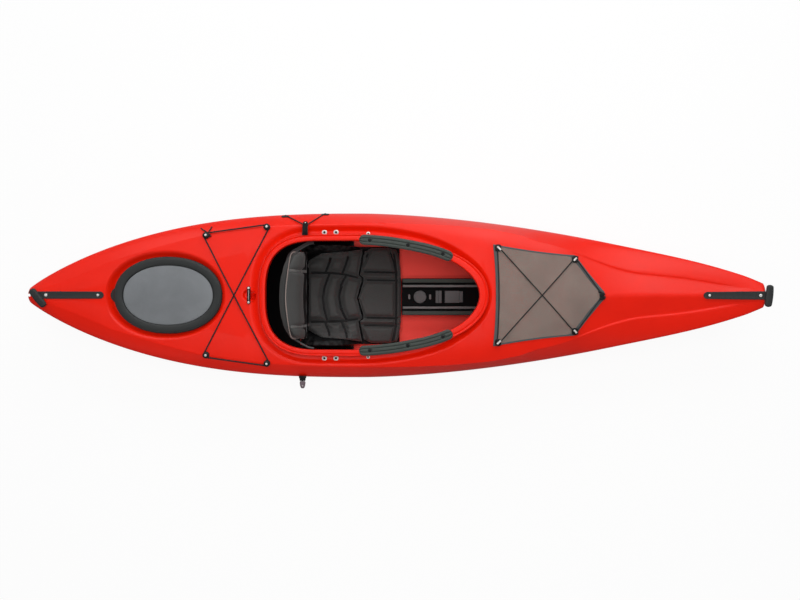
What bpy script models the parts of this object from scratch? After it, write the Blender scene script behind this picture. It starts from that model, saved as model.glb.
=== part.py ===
"""Crossover kayak with a drop-down skeg, as an assembly of separate pieces.

Metres. +X points to the bow, +Y to port, +Z up. The flat of the bottom lies at z = 0 and the
origin is on it, amidships.
"""
import math

import bmesh
import bpy
from mathutils import Matrix, Vector
from mathutils.bvhtree import BVHTree

# Fits
SEAT_GAP = 0.0004
RUNNING_GAP = 0.0006

# Hull lines
HULL_LENGTH = 3.194
BOW_X = HULL_LENGTH / 2
STERN_X = -HULL_LENGTH / 2
HALF_BEAM = 0.361
WIDEST_X = -0.143
BOW_HALF_WIDTH = 0.046
STERN_HALF_WIDTH = 0.030
BOW_POWER = 1.67
STERN_POWER = 2.6
END_POWER = 0.89
TIP_LENGTH = 0.035
TIP_SHARES = (0.45, 0.75, 0.93)
GUNWALE_HEIGHT = 0.215
GUNWALE_RISE_BOW = 0.110
GUNWALE_RISE_STERN = 0.060
ROCKER_BOW = 0.085
ROCKER_STERN = 0.070
STEM_BOW = 0.130
STEM_STERN = 0.055
STEM_LENGTH = 0.45
ROCKER_BOW_X = 0.70
ROCKER_STERN_X = -0.85
FLAT_SHARE = 0.58
BILGE_POWER = 2.5
WALL = 0.006

# Deck crown over the gunwale
CROWN_FRONT = 0.153
CROWN_AFT = 0.062
CROWN_TIP = 0.020
CROWN_RUN_AFT = 0.330
CROWN_RUN_FORE = 0.490
CROWN_PEAK = 0.030
STEP_DEPTH = 0.005
STEP_RUN = 0.010
STEP_START = 0.78

# Cockpit
OPENING_HALF_WIDTH = 0.2295
OPENING_REAR_CENTRE = -0.321
OPENING_REAR_LENGTH = 0.2375
OPENING_FRONT_CENTRE = -0.192
OPENING_FRONT_LENGTH = 0.546
OPENING_FRONT_X = OPENING_FRONT_CENTRE + OPENING_FRONT_LENGTH
RIM_HEIGHT_REAR = 0.310
RIM_RISE = 0.095
RIM_WIDTH = 0.0275
RIM_WIDTH_REAR = 0.033
RIM_WIDTH_FRONT = 0.041
RIM_STAND = 0.040
RIM_THICKNESS = 0.007
RIM_RETURN = 0.014
TROUGH_WIDTH = 0.068
OPENING_STEPS = 18

# Stern hatch
HATCH_X = -0.987
HATCH_FLOOR = 0.262
HATCH_HALF_LENGTH = 0.2315
HATCH_HALF_WIDTH = 0.1673
HATCH_POWER = 2.12
RECESS_MARGIN = 0.026
RECESS_SHIFT = -0.008
RING_WIDTH = 0.038
COLLAR_INSET = 0.0195
COLLAR_HEIGHT = 0.016
COLLAR_WALL = 0.005
PANEL_THICKNESS = 0.008
HATCH_STEPS = 24

# Security bar behind the cockpit
BAR_X = -0.635
BAR_HALF_SPAN = 0.031
BAR_ROD = 0.0035
BAR_RISE = 0.009
POCKET_RADIUS = 0.025
POCKET_DEPTH = 0.016

# Skeg
SKEG_SLOT = 0.012
SKEG_SLOT_LENGTH = 0.222
SKEG_ROOF = 0.236
SKEG_SPLIT = 0.016
SKEG_PIVOT_SETBACK = 0.026
SKEG_PIVOT_HEIGHT = 0.122
SKEG_LENGTH = 0.165
SKEG_THICKNESS = 0.008
SKEG_PIN_RADIUS = 0.003
SKEG_PIN_DEPTH = 0.0035
SLOT_WALL = 0.006
CONDUIT_GAP = 0.030
CONDUIT_HEIGHT = 0.165

# Deck fittings
CORD_RADIUS = 0.003
STERN_BUTTON_AFT_X = -0.822
STERN_BUTTON_AFT_INSET = 0.060
STERN_BUTTON_FORE_X = -0.557
STERN_BUTTON_FORE_INSET = 0.0537
BUTTON_NECK = 0.0055
BUTTON_CAP = 0.0105
BUTTON_BASE = 0.0064
BUTTON_FLANGE = 0.0025
STRAP_HALF_WIDTH = 0.0175
STRAP_THICKNESS = 0.0045
STRAP_LIFT = 0.0007
STERN_STRAP_LENGTH = 0.264
STERN_STRAP_SETBACK = 0.070
BOW_STRAP_LENGTH = 0.256
BOW_STRAP_SETBACK = 0.012
GRIP_HALF_LENGTH = 0.0475
GRIP_HALF_DEPTH = 0.013
GRIP_HALF_HEIGHT = 0.009
STERN_GRIP_TURN = -39.0
BOW_GRIP_TURN = -6.0
BOLT_HEAD = 0.0045
ARC_STEP = math.radians(40.0)

# Mesh panel on the bow deck
MESH_AFT_X = OPENING_FRONT_X + TROUGH_WIDTH - 0.001
MESH_FRONT_X = MESH_AFT_X + 0.3425
MESH_TIP_X = MESH_FRONT_X + 0.1275
MESH_AFT_HALF = 0.220
MESH_FRONT_HALF = 0.1735
MESH_THICKNESS = 0.0016
MESH_LIFT = 0.0030
MESH_HEM = 0.0012
BOW_CORD_LIFT = MESH_LIFT + MESH_THICKNESS + MESH_HEM + CORD_RADIUS + 0.0010
STERN_CORD_LIFT = BUTTON_FLANGE + CORD_RADIUS + 0.0012

# Seat
SEAT_FLOOR = 0.034
PAN_THICKNESS = 0.005
PAN_REAR_X = -0.430
PAN_FRONT_X = 0.020
PAN_HALF_WIDTH = 0.222
HIP_HEIGHT = 0.120
HIP_INNER = 0.150
HIP_REAR_X = -0.360
HIP_FRONT_X = -0.250
SEAT_DISH = 0.010
PAN_REAR_RISE = 0.016
LUG_INNER_Y = 0.128
LUG_THICKNESS = 0.012
CUSHION_REAR_X = -0.385
LIFTER_X = -0.150
CUSHION_SEAM_Y = 0.102
CUSHION_THICKNESS = 0.036
CUSHION_LIFT = 0.0012
CUSHION_REAR_HALF = 0.150
CUSHION_FRONT_HALF = 0.196
CUSHION_SEAM_AFT_X = -0.303
CUSHION_SEAM_FORE_X = -0.2285
SEAM_HALF_WIDTH = 0.009
SEAM_POINT = 0.018
PAD_EDGE = 0.007
LIFTER_HALF_WIDTH = 0.217
LIFTER_THICKNESS = 0.032
BOARD_HALF_WIDTH = 0.185
BOARD_THICKNESS = 0.006
BACK_HINGE_X = -0.405
BACK_HINGE_Z = 0.088
BACK_TOP = 0.338
BACK_LEAN = 0.092
BACK_HALF_WIDTH = 0.192
BACK_WRAP = 0.034
SHELL_THICKNESS = 0.005
BACK_PAD_GAP = 0.0018

# Console between the legs
CONSOLE_REAR_X = 0.030
CONSOLE_FRONT_X = 0.520
CONSOLE_HALF_WIDTH = 0.084
CONSOLE_TOP = 0.095
CONSOLE_SHELF = 0.074
CONSOLE_CHANNEL = 0.060

# Foot braces
BRACE_REAR_X = 0.440
BRACE_LENGTH = 0.400
BRACE_HEIGHT = 0.130
BRACE_DEPTH = 0.012
BRACE_TALL = 0.024

# Bulkhead and pillar
BULKHEAD_X = -0.692
BULKHEAD_THICKNESS = 0.026
PILLAR_REAR_X = 0.540
PILLAR_LENGTH = 0.560
PILLAR_HALF_WIDTH = 0.034

# Side fittings
PADDLE_X = -0.383
PADDLE_TAB_WIDTH = 0.029
PADEYE_AFT_X = -0.481
PADEYE_FORE_X = -0.3065
HANDLE_X = -0.4035


def clamp(value, low=0.0, high=1.0):
    return max(low, min(high, value))


def mix(first, second, share):
    return first + (second - first) * share


def smoothstep(low, high, value):
    share = clamp((value - low) / (high - low))
    return share * share * (3.0 - 2.0 * share)


def linear(channel):
    value = channel / 255.0
    return value / 12.92 if value <= 0.04045 else ((value + 0.055) / 1.055) ** 2.4


def paint(name, rgb, roughness, metallic=0.0):
    """A plain Principled material, its colour given in 8-bit sRGB."""
    material = bpy.data.materials.new(name)
    material.use_nodes = True
    shader = material.node_tree.nodes["Principled BSDF"]
    colour = [linear(channel) for channel in rgb] + [1.0]
    shader.inputs["Base Color"].default_value = colour
    shader.inputs["Roughness"].default_value = roughness
    shader.inputs["Metallic"].default_value = metallic
    material.diffuse_color = colour
    return material


# Lines of the hull, as functions of the station x

def tip_share(x):
    inside = abs(x) - (HULL_LENGTH / 2 - TIP_LENGTH)
    return math.sqrt(1.0 - (0.97 * clamp(inside / TIP_LENGTH)) ** 2)


def half_beam(x):
    if x < WIDEST_X:
        along = clamp((WIDEST_X - x) / (WIDEST_X - STERN_X))
        power, end = STERN_POWER, STERN_HALF_WIDTH
    else:
        along = clamp((x - WIDEST_X) / (BOW_X - WIDEST_X))
        power, end = BOW_POWER, BOW_HALF_WIDTH
    full = end + (HALF_BEAM - end) * (1.0 - along ** power) ** END_POWER
    return full * tip_share(x)


def gunwale_height(x):
    rise = GUNWALE_RISE_BOW if x > 0 else GUNWALE_RISE_STERN
    return GUNWALE_HEIGHT + rise * (x / BOW_X) ** 2


def keel_height(x):
    """The keel line: flat amidships, with rocker towards the ends and a curved stem at each."""
    bow = ROCKER_BOW * clamp((x - ROCKER_BOW_X) / (BOW_X - ROCKER_BOW_X)) ** 2.0
    stern = ROCKER_STERN * clamp((ROCKER_STERN_X - x) / (ROCKER_STERN_X - STERN_X)) ** 2.0
    stem = STEM_BOW * clamp((x - BOW_X + STEM_LENGTH) / STEM_LENGTH) ** 2.4
    heel = STEM_STERN * clamp((STERN_X + STEM_LENGTH - x) / STEM_LENGTH) ** 2.4
    return bow + stern + stem + heel


def crown_height(x):
    rear, front = OPENING_REAR_CENTRE - CROWN_RUN_AFT, OPENING_FRONT_CENTRE + CROWN_RUN_FORE
    peak = OPENING_FRONT_X + CROWN_PEAK
    if x > peak:
        return CROWN_TIP + (CROWN_FRONT - CROWN_TIP) * ((BOW_X - x) / (BOW_X - peak)) ** 1.1
    if x < rear:
        return CROWN_TIP + (CROWN_AFT - CROWN_TIP) * ((x - STERN_X) / (rear - STERN_X)) ** 0.6
    return mix(CROWN_AFT, CROWN_FRONT, smoothstep(rear, front, x))


def deck_powers(x):
    boxy = smoothstep(-1.0, -0.60, x) * (1.0 - smoothstep(0.25, 0.85, x))
    ends = 4.0 if x < 0 else 2.5
    return mix(ends, 8.0, boxy), mix(0.55, 0.40, boxy)


def crease_share(x):
    near = mix(0.80, 0.47, smoothstep(0.62, 1.08, x))
    return mix(near, 0.36, smoothstep(1.22, BOW_X, x))


def deck_height(x, y):
    """Height of the bare deck, with the bow's sunken middle panel."""
    share = clamp(abs(y) / half_beam(x))
    power, shoulder = deck_powers(x)
    crown = crown_height(x) * (0.5 + 0.5 * tip_share(x))
    edge = crease_share(x)
    run = STEP_RUN / half_beam(x)
    sunken = smoothstep(edge + run / 2, edge - run / 2, share)
    depth = STEP_DEPTH * smoothstep(STEP_START, STEP_START + 0.15, x) * (1.0 - smoothstep(1.38, 1.50, x))
    return gunwale_height(x) + crown * (1.0 - share ** power) ** shoulder - depth * sunken


def bottom_height(x, share):
    keel = mix(gunwale_height(x), keel_height(x), 0.6 + 0.4 * tip_share(x))
    bilge = clamp((share - FLAT_SHARE) / (1.0 - FLAT_SHARE))
    rise = 1.0 - (1.0 - bilge ** BILGE_POWER) ** (1.0 / BILGE_POWER)
    return keel + (gunwale_height(x) - keel) * rise


def section(x, inset=0.0):
    """One closed ring round the hull at x, moved in by inset along its own normals."""
    beam = half_beam(x)
    edge, run = crease_share(x), STEP_RUN / beam
    inner = max(edge - run / 2, edge * 0.6)
    outer = min(edge + run / 2, mix(edge, 1.0, 0.3))
    deck_shares = [0.0, inner * 0.5, inner, outer] + [mix(outer, 1.0, t) for t in (0.45, 0.75, 0.93)]
    bilge_shares = [mix(FLAT_SHARE, 1.0, t) for t in (0.975, 0.88, 0.70, 0.42, 0.0)]
    port = [(share * beam, deck_height(x, share * beam)) for share in deck_shares]
    port.append((beam, gunwale_height(x)))
    port += [(share * beam, bottom_height(x, share)) for share in bilge_shares]
    keel = (0.0, bottom_height(x, 0.0))
    starboard = [(-y, z) for y, z in reversed(port[1:])]
    ring = port + [keel] + starboard
    if inset:
        ring = inset_ring(ring, inset)
    return [Vector((x, y, z)) for y, z in ring]


def inset_ring(ring, inset):
    """Moves each corner of a clockwise outline inwards, so that its edges move by inset."""
    moved = []
    for index, (y, z) in enumerate(ring):
        before, after = ring[index - 1], ring[(index + 1) % len(ring)]
        first = Vector((y - before[0], z - before[1])).normalized()
        second = Vector((after[0] - y, after[1] - z)).normalized()
        normal = Vector((-(first.y + second.y), first.x + second.x)).normalized()
        stretch = max(normal.dot(Vector((-first.y, first.x))), 0.6)
        moved.append((y - normal.x * inset / stretch, z - normal.y * inset / stretch))
    return moved


def station_list(count, margin=0.0):
    """Stations from stern to bow, with the closest ones round the two tips."""
    half = HULL_LENGTH / 2 - TIP_LENGTH
    spread = [2.0 * index / (count - 1) - 1.0 for index in range(count)]
    stations = [half * (0.66 * t + 0.34 * math.sin(math.pi / 2 * t)) for t in spread]
    ends = [half + TIP_LENGTH * share for share in TIP_SHARES]
    ends = [end for end in ends if end < HULL_LENGTH / 2 - margin] + [HULL_LENGTH / 2 - margin]
    return [-end for end in reversed(ends)] + stations + ends


def rim_top(x):
    return RIM_HEIGHT_REAR + RIM_RISE * smoothstep(-0.5, 0.5, x)


def rim_width(x):
    rear = smoothstep(OPENING_REAR_CENTRE, OPENING_REAR_CENTRE - OPENING_REAR_LENGTH, x)
    front = smoothstep(0.10, OPENING_FRONT_X, x)
    return RIM_WIDTH + (RIM_WIDTH_REAR - RIM_WIDTH) * rear + (RIM_WIDTH_FRONT - RIM_WIDTH) * front


def opening_point(turn):
    """A point of the cockpit opening's edge; turn runs from -90 to 270 degrees, bow first."""
    cosine, sine = math.cos(turn), math.sin(turn)
    if cosine >= 0:
        return Vector((OPENING_FRONT_CENTRE + OPENING_FRONT_LENGTH * cosine, OPENING_HALF_WIDTH * sine))
    power = 2.0 / 2.5
    along = -OPENING_REAR_LENGTH * (-cosine) ** power
    return Vector((OPENING_REAR_CENTRE + along, math.copysign(OPENING_HALF_WIDTH * abs(sine) ** power, sine)))


def opening_outline():
    front = [opening_point(math.radians(-90 + 180 * i / OPENING_STEPS)) for i in range(OPENING_STEPS + 1)]
    rear_steps = OPENING_STEPS - 3
    rear = [opening_point(math.radians(90.01 + 179.98 * i / rear_steps)) for i in range(rear_steps + 1)]
    return with_normals(front + rear)


def oval_outline(centre, half_length, half_width, steps, power=2.0):
    points = []
    for index in range(steps):
        turn = 2.0 * math.pi * index / steps
        cosine, sine = math.cos(turn), math.sin(turn)
        x = math.copysign(abs(cosine) ** (2.0 / power), cosine) * half_length
        y = math.copysign(abs(sine) ** (2.0 / power), sine) * half_width
        points.append(Vector((centre[0] + x, centre[1] + y)))
    return with_normals(points)


def with_normals(points):
    """Pairs each point of a counter-clockwise outline with its outward normal."""
    pairs = []
    for index, point in enumerate(points):
        along = points[(index + 1) % len(points)] - points[index - 1]
        pairs.append((point, Vector((along.y, -along.x)).normalized()))
    return pairs


# Mesh builders

def add_mesh(name, vertices, faces, material=None, smooth=35.0):
    mesh = bpy.data.meshes.new(name)
    mesh.from_pydata([tuple(v) for v in vertices], [], faces)
    work = bmesh.new()
    work.from_mesh(mesh)
    bmesh.ops.recalc_face_normals(work, faces=work.faces)
    work.to_mesh(mesh)
    work.free()
    return add_object(name, mesh, material, smooth)


def add_object(name, mesh, material=None, smooth=35.0):
    part = bpy.data.objects.new(name, mesh)
    bpy.context.scene.collection.objects.link(part)
    if material:
        mesh.materials.clear()
        mesh.materials.append(material)
    if smooth:
        mesh.shade_smooth()
        mesh.set_sharp_from_angle(angle=math.radians(smooth))
    return part


def loft(name, rings, material=None, smooth=35.0, split=False):
    """Skins a row of rings of equal length and caps both ends; split makes its sides of triangles."""
    count = len(rings[0])
    vertices = [vertex for ring in rings for vertex in ring]
    faces = []
    for row in range(len(rings) - 1):
        for i in range(count):
            j = (i + 1) % count
            a, b, c, d = row * count + i, row * count + j, (row + 1) * count + j, (row + 1) * count + i
            faces += [(a, b, c), (a, c, d)] if split else [(a, b, c, d)]
    faces.append(tuple(range(count)))
    faces.append(tuple(range((len(rings) - 1) * count, len(rings) * count)))
    return add_mesh(name, vertices, faces, material, smooth)


def sweep_round(name, outline, profile, material=None, smooth=35.0):
    """Sweeps a closed profile of (outward, height) pairs round a closed outline."""
    rows = [[Vector((p.x + n.x * d, p.y + n.y * d, z)) for d, z in profile(p.x)] for p, n in outline]
    count = len(rows[0])
    faces = []
    for row in range(len(rows)):
        after = (row + 1) % len(rows)
        for i in range(count):
            j = (i + 1) % count
            faces.append((row * count + i, row * count + j, after * count + j, after * count + i))
    return add_mesh(name, [v for row in rows for v in row], faces, material, smooth)


def prism(name, outline, low, high, draft=0.0, material=None, smooth=35.0):
    """A vertical prism on an outline with normals, wider by draft at the top."""
    bottom = [Vector((p.x, p.y, low)) for p, n in outline]
    top = [Vector((p.x + n.x * draft, p.y + n.y * draft, high)) for p, n in outline]
    return loft(name, [bottom, top], material, smooth)


def lathe(name, profile, material=None, segments=16, smooth=35.0):
    """Turns a profile of (radius, height) pairs round Z; its two ends lie on the axis."""
    vertices = [Vector((0, 0, profile[0][1]))]
    for radius, height in profile[1:-1]:
        for index in range(segments):
            turn = 2.0 * math.pi * index / segments
            vertices.append(Vector((radius * math.cos(turn), radius * math.sin(turn), height)))
    vertices.append(Vector((0, 0, profile[-1][1])))
    last = len(vertices) - 1
    rings = len(profile) - 2
    faces = []
    for i in range(segments):
        j = (i + 1) % segments
        faces.append((0, 1 + j, 1 + i))
        faces.append((last, last - segments + i, last - segments + j))
        for ring in range(rings - 1):
            low, high = 1 + ring * segments, 1 + (ring + 1) * segments
            faces.append((low + i, low + j, high + j, high + i))
    return add_mesh(name, vertices, faces, material, smooth)


def block(name, low, high, material=None, bevel=0.0):
    """A box between two corners, its edges bevelled."""
    corners = [Vector((x, y, z)) for x in (low[0], high[0]) for y in (low[1], high[1]) for z in (low[2], high[2])]
    faces = [(0, 1, 3, 2), (4, 6, 7, 5), (0, 4, 5, 1), (2, 3, 7, 6), (0, 2, 6, 4), (1, 5, 7, 3)]
    part = add_mesh(name, corners, faces, material, 35.0)
    if bevel:
        round_edges(part, bevel)
    return part


def round_edges(part, width, segments=1):
    modifier = part.modifiers.new("bevel", "BEVEL")
    modifier.width = width
    modifier.segments = segments
    modifier.limit_method = "ANGLE"
    apply_modifiers(part)


def extrude_x(name, outline, start, end, material=None, smooth=35.0):
    """Extrudes an outline of (y, z) pairs along X."""
    rings = [[Vector((x, y, z)) for y, z in outline] for x in (start, end)]
    return loft(name, rings, material, smooth)


def cord(name, points, radius, material, closed=False):
    """A round cord along points, as a bevelled curve with filled caps."""
    curve = bpy.data.curves.new(name, "CURVE")
    curve.dimensions = "3D"
    curve.bevel_depth = radius
    curve.bevel_resolution = 2
    curve.use_fill_caps = True
    spline = curve.splines.new("POLY")
    spline.points.add(len(points) - 1)
    for target, point in zip(spline.points, points):
        target.co = (*point, 1.0)
    spline.use_cyclic_u = closed
    if material:
        curve.materials.append(material)
    part = bpy.data.objects.new(name, curve)
    bpy.context.scene.collection.objects.link(part)
    return part


def cord_solid(name, points, radius, material=None):
    """A round rod along points, as a mesh."""
    curve = cord(name, points, radius, None)
    bpy.context.view_layer.update()
    mesh = bpy.data.meshes.new_from_object(curve.evaluated_get(bpy.context.evaluated_depsgraph_get()))
    bpy.data.objects.remove(curve)
    return add_object(name, mesh, material)


def apply_modifiers(part):
    material = part.data.materials[0] if part.data.materials else None
    bpy.context.view_layer.update()
    evaluated = part.evaluated_get(bpy.context.evaluated_depsgraph_get())
    mesh = bpy.data.meshes.new_from_object(evaluated)
    part.modifiers.clear()
    part.data = mesh
    mesh.materials.clear()
    if material:
        mesh.materials.append(material)


def combine(part, tool, operation, solver="EXACT"):
    """Joins, cuts or crosses part with tool, and removes the tool."""
    modifier = part.modifiers.new(operation.lower(), "BOOLEAN")
    modifier.object = tool
    modifier.operation = operation
    modifier.solver = solver
    apply_modifiers(part)
    bpy.data.objects.remove(tool)
    part.data.shade_smooth()
    part.data.set_sharp_from_angle(angle=math.radians(35.0))


def cut(part, *tools, solver="EXACT"):
    for tool in tools:
        combine(part, tool, "DIFFERENCE", solver)


def join(part, *tools):
    for tool in tools:
        combine(part, tool, "UNION")


def move(part, matrix):
    part.data.transform(matrix)
    if matrix.determinant() < 0:
        part.data.flip_normals()
    return part


def set_origin(point, *parts):
    """Puts the parts' origins on a point of their joint's axis."""
    for part in parts:
        part.data.transform(Matrix.Translation(-Vector(point)))
        part.location = point


def standing_on(point, normal, turn=0.0):
    """A frame at point with its Z along normal."""
    rotation = Vector(normal).to_track_quat("Z", "Y").to_matrix().to_4x4()
    return Matrix.Translation(point) @ rotation @ Matrix.Rotation(turn, 4, "Z")


def smooth_route(route, count):
    """Reads count points from a Catmull-Rom curve through a route's own points."""
    points = [Vector(p) for p in route]
    padded = [points[0] * 2 - points[1]] + points + [points[-1] * 2 - points[-2]]
    spans = len(points) - 1
    result = []
    for index in range(count):
        place = spans * index / (count - 1)
        span = min(int(place), spans - 1)
        t = place - span
        a, b, c, d = padded[span:span + 4]
        result.append(0.5 * (2 * b + (c - a) * t + (2 * a - 5 * b + 4 * c - d) * t ** 2
                             + (3 * b - a - 3 * c + d) * t ** 3))
    return result


class Surface:
    """Finds where pieces seat on a finished solid."""

    def __init__(self, part):
        work = bmesh.new()
        work.from_mesh(part.data)
        bmesh.ops.triangulate(work, faces=work.faces)
        self.tree = BVHTree.FromBMesh(work)
        work.free()

    def hit(self, start, direction):
        point, normal, _, _ = self.tree.ray_cast(Vector(start), Vector(direction))
        return point, normal

    def deck(self, x, y):
        return self.hit((x, y, 1.0), (0, 0, -1))

    def clear_deck(self, x, y, radius):
        """A seat for a round foot: the deck's point and normal, raised over what lies under the foot."""
        point, normal = self.deck(x, y)
        rise = 0.0
        for index in range(12):
            turn = math.pi / 6 * index
            for share in (0.5, 1.0):
                reach = radius * share
                near, _ = self.deck(x + reach * math.cos(turn), y + reach * math.sin(turn))
                rise = max(rise, (near - point).dot(normal) if near else 0.0)
        return point + normal * rise, normal

    def held_off(self, point, distance):
        """The point itself, or pushed out so that it keeps its distance from the solid."""
        near, normal, _, _ = self.tree.find_nearest(point)
        return point + normal * max(0.0, distance - (point - near).dot(normal))

    def side(self, x, z, side):
        return self.hit((x, side, z), (0, -side, 0))

    def inside(self, x, z, side):
        return self.hit((x, side * 0.02, z), (0, side, 0))


# Pieces of the hull

def trough_profile(grow):
    def profile(x):
        floor = rim_top(x) - RIM_STAND
        high = rim_top(x) + 0.06
        inner = -0.025 - grow
        return [(inner, floor - grow), (TROUGH_WIDTH - 0.012 + grow * 0.5, floor - grow),
                (TROUGH_WIDTH + grow, floor + 0.016 - grow * 0.4), (TROUGH_WIDTH + grow, high), (inner, high)]
    return profile


def recess_outline(grow):
    half_length = HATCH_HALF_LENGTH + RECESS_MARGIN + grow
    half_width = HATCH_HALF_WIDTH + RECESS_MARGIN + grow
    return oval_outline((HATCH_X + RECESS_SHIFT, 0), half_length, half_width, HATCH_STEPS, HATCH_POWER)


def pocket_tool(grow):
    deck = deck_height(BAR_X, 0.0)
    ring = oval_outline((BAR_X, 0), POCKET_RADIUS + grow, POCKET_RADIUS + grow, 20)
    return prism("pocket", ring, deck - POCKET_DEPTH - grow, deck + 0.03, 0.004)


def slot_tool(grow):
    half = SKEG_SLOT / 2 + grow
    front = STERN_X + SKEG_SLOT_LENGTH + grow
    return block("slot", (STERN_X - 0.02, -half, -0.05), (front, half, SKEG_ROOF + grow))


def cavity(gap):
    """The space inside the hull's wall, held back from it by gap."""
    grow = WALL + gap
    stations = station_list(17, WALL + 0.006)
    space = loft("cavity", [section(x, grow) for x in stations], split=True)
    cut(space, sweep_round("trough", opening_outline(), trough_profile(grow)))
    cut(space, prism("recess", recess_outline(grow), HATCH_FLOOR - grow, HATCH_FLOOR + 0.08, 0.010))
    cut(space, pocket_tool(grow), slot_tool(SLOT_WALL + gap))
    return space


def coaming_profile(x):
    top, width = rim_top(x), rim_width(x)
    foot = top - RIM_STAND - WALL / 2
    return [(-0.001, foot), (-0.001, top - 0.003), (0.003, top), (width - 0.005, top), (width, top - 0.004),
            (width, top - RIM_RETURN), (width - 0.004, top - RIM_RETURN), (width - 0.005, top - RIM_THICKNESS),
            (0.0065, top - RIM_THICKNESS), (0.0065, foot)]


def collar_outline():
    half_length = HATCH_HALF_LENGTH - COLLAR_INSET
    half_width = HATCH_HALF_WIDTH - COLLAR_INSET
    return oval_outline((HATCH_X, 0), half_length, half_width, HATCH_STEPS, HATCH_POWER)


def collar_profile(x):
    low, high = HATCH_FLOOR - WALL / 2, HATCH_FLOOR + COLLAR_HEIGHT
    return [(-0.001, low), (-0.001, high), (COLLAR_WALL, high), (COLLAR_WALL, low)]


def skeg_pivot():
    return Vector((STERN_X + SKEG_SLOT_LENGTH - SKEG_PIVOT_SETBACK, 0.0, SKEG_PIVOT_HEIGHT))


def cross_pin(name, centre, radius, half_length, segments=16, material=None):
    pin = lathe(name, [(0, -half_length), (radius, -half_length), (radius, half_length), (0, half_length)],
                material, segments)
    return move(pin, Matrix.Translation(centre) @ Matrix.Rotation(math.pi / 2, 4, "X"))


def build_hull(material):
    hull = loft("hull_shell", [section(x) for x in station_list(25)], material, split=True)
    cut(hull, sweep_round("trough", opening_outline(), trough_profile(0.0)))
    cut(hull, prism("recess", recess_outline(0.0), HATCH_FLOOR, HATCH_FLOOR + 0.08, 0.010))
    cut(hull, pocket_tool(0.0), cavity(0.0))
    join(hull, sweep_round("collar", collar_outline(), collar_profile))
    join(hull, sweep_round("coaming", opening_outline(), coaming_profile))
    # The hull is now one wall with a hollow inside, which the exact solver leaves with open edges
    openings = [prism("hatchway", collar_outline(), HATCH_FLOOR - 0.05, HATCH_FLOOR + 0.05),
                prism("cockpit", opening_outline(), RIM_HEIGHT_REAR - RIM_STAND - 0.03, 0.6), slot_tool(0.0)]
    half = SKEG_SLOT / 2
    openings.append(block("split", (STERN_X - 0.02, -half, 0.1), (STERN_X + SKEG_SPLIT, half, 0.5)))
    bore = half + SKEG_PIN_DEPTH + SEAT_GAP
    openings.append(cross_pin("bore", skeg_pivot(), SKEG_PIN_RADIUS + SEAT_GAP, bore))
    cut(hull, *openings, solver="MANIFOLD")
    return hull


# Hatch cover

def build_hatch(rubber, plastic):
    floor = HATCH_FLOOR
    crest = floor + COLLAR_HEIGHT
    outer = COLLAR_INSET
    inner = COLLAR_INSET - RING_WIDTH
    ledge = inner - 0.007
    seat = floor + COLLAR_HEIGHT - 0.001

    def profile(x):
        groove_in, groove_out = -0.0010, COLLAR_WALL + 0.0010
        return [(groove_out, floor + SEAT_GAP), (outer - 0.003, floor + SEAT_GAP), (outer, floor + 0.006),
                (outer - 0.002, crest + 0.007), (outer - 0.010, crest + 0.013), (inner + 0.008, crest + 0.012),
                (inner, crest + 0.007), (inner, seat), (ledge, seat - SEAT_GAP), (ledge, seat - 0.005),
                (groove_in - 0.006, seat - 0.007), (groove_in - 0.005, floor + 0.002), (groove_in, floor + 0.002),
                (groove_in, crest + SEAT_GAP), (groove_out, crest + SEAT_GAP)]

    ring = sweep_round("hatch_cover_ring", collar_outline(), profile, rubber)
    edge = HATCH_X - HATCH_HALF_LENGTH
    tab = with_normals([Vector(p) for p in ((edge + 0.012, 0.030), (edge - 0.006, 0.016), (edge - 0.020, 0.004),
                                            (edge - 0.020, -0.004), (edge - 0.006, -0.016), (edge + 0.012, -0.030))])
    join(ring, prism("tab", tab, floor + 0.004, floor + 0.011))

    half_length = HATCH_HALF_LENGTH - RING_WIDTH - SEAT_GAP
    half_width = HATCH_HALF_WIDTH - RING_WIDTH - SEAT_GAP
    rim = oval_outline((HATCH_X, 0), half_length, half_width, HATCH_STEPS, HATCH_POWER)
    base = seat + SEAT_GAP
    rings = []
    for inset, height in ((0.0, 0.0), (0.0, PANEL_THICKNESS - 0.002), (0.003, PANEL_THICKNESS),
                          (0.045, PANEL_THICKNESS + 0.002)):
        rings.append([Vector((p.x - n.x * inset, p.y - n.y * inset, base + height)) for p, n in rim])
    panel = loft("hatch_cover_panel", rings, plastic)
    set_origin((HATCH_X, 0, floor), ring, panel)


# Carrying handles

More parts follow.
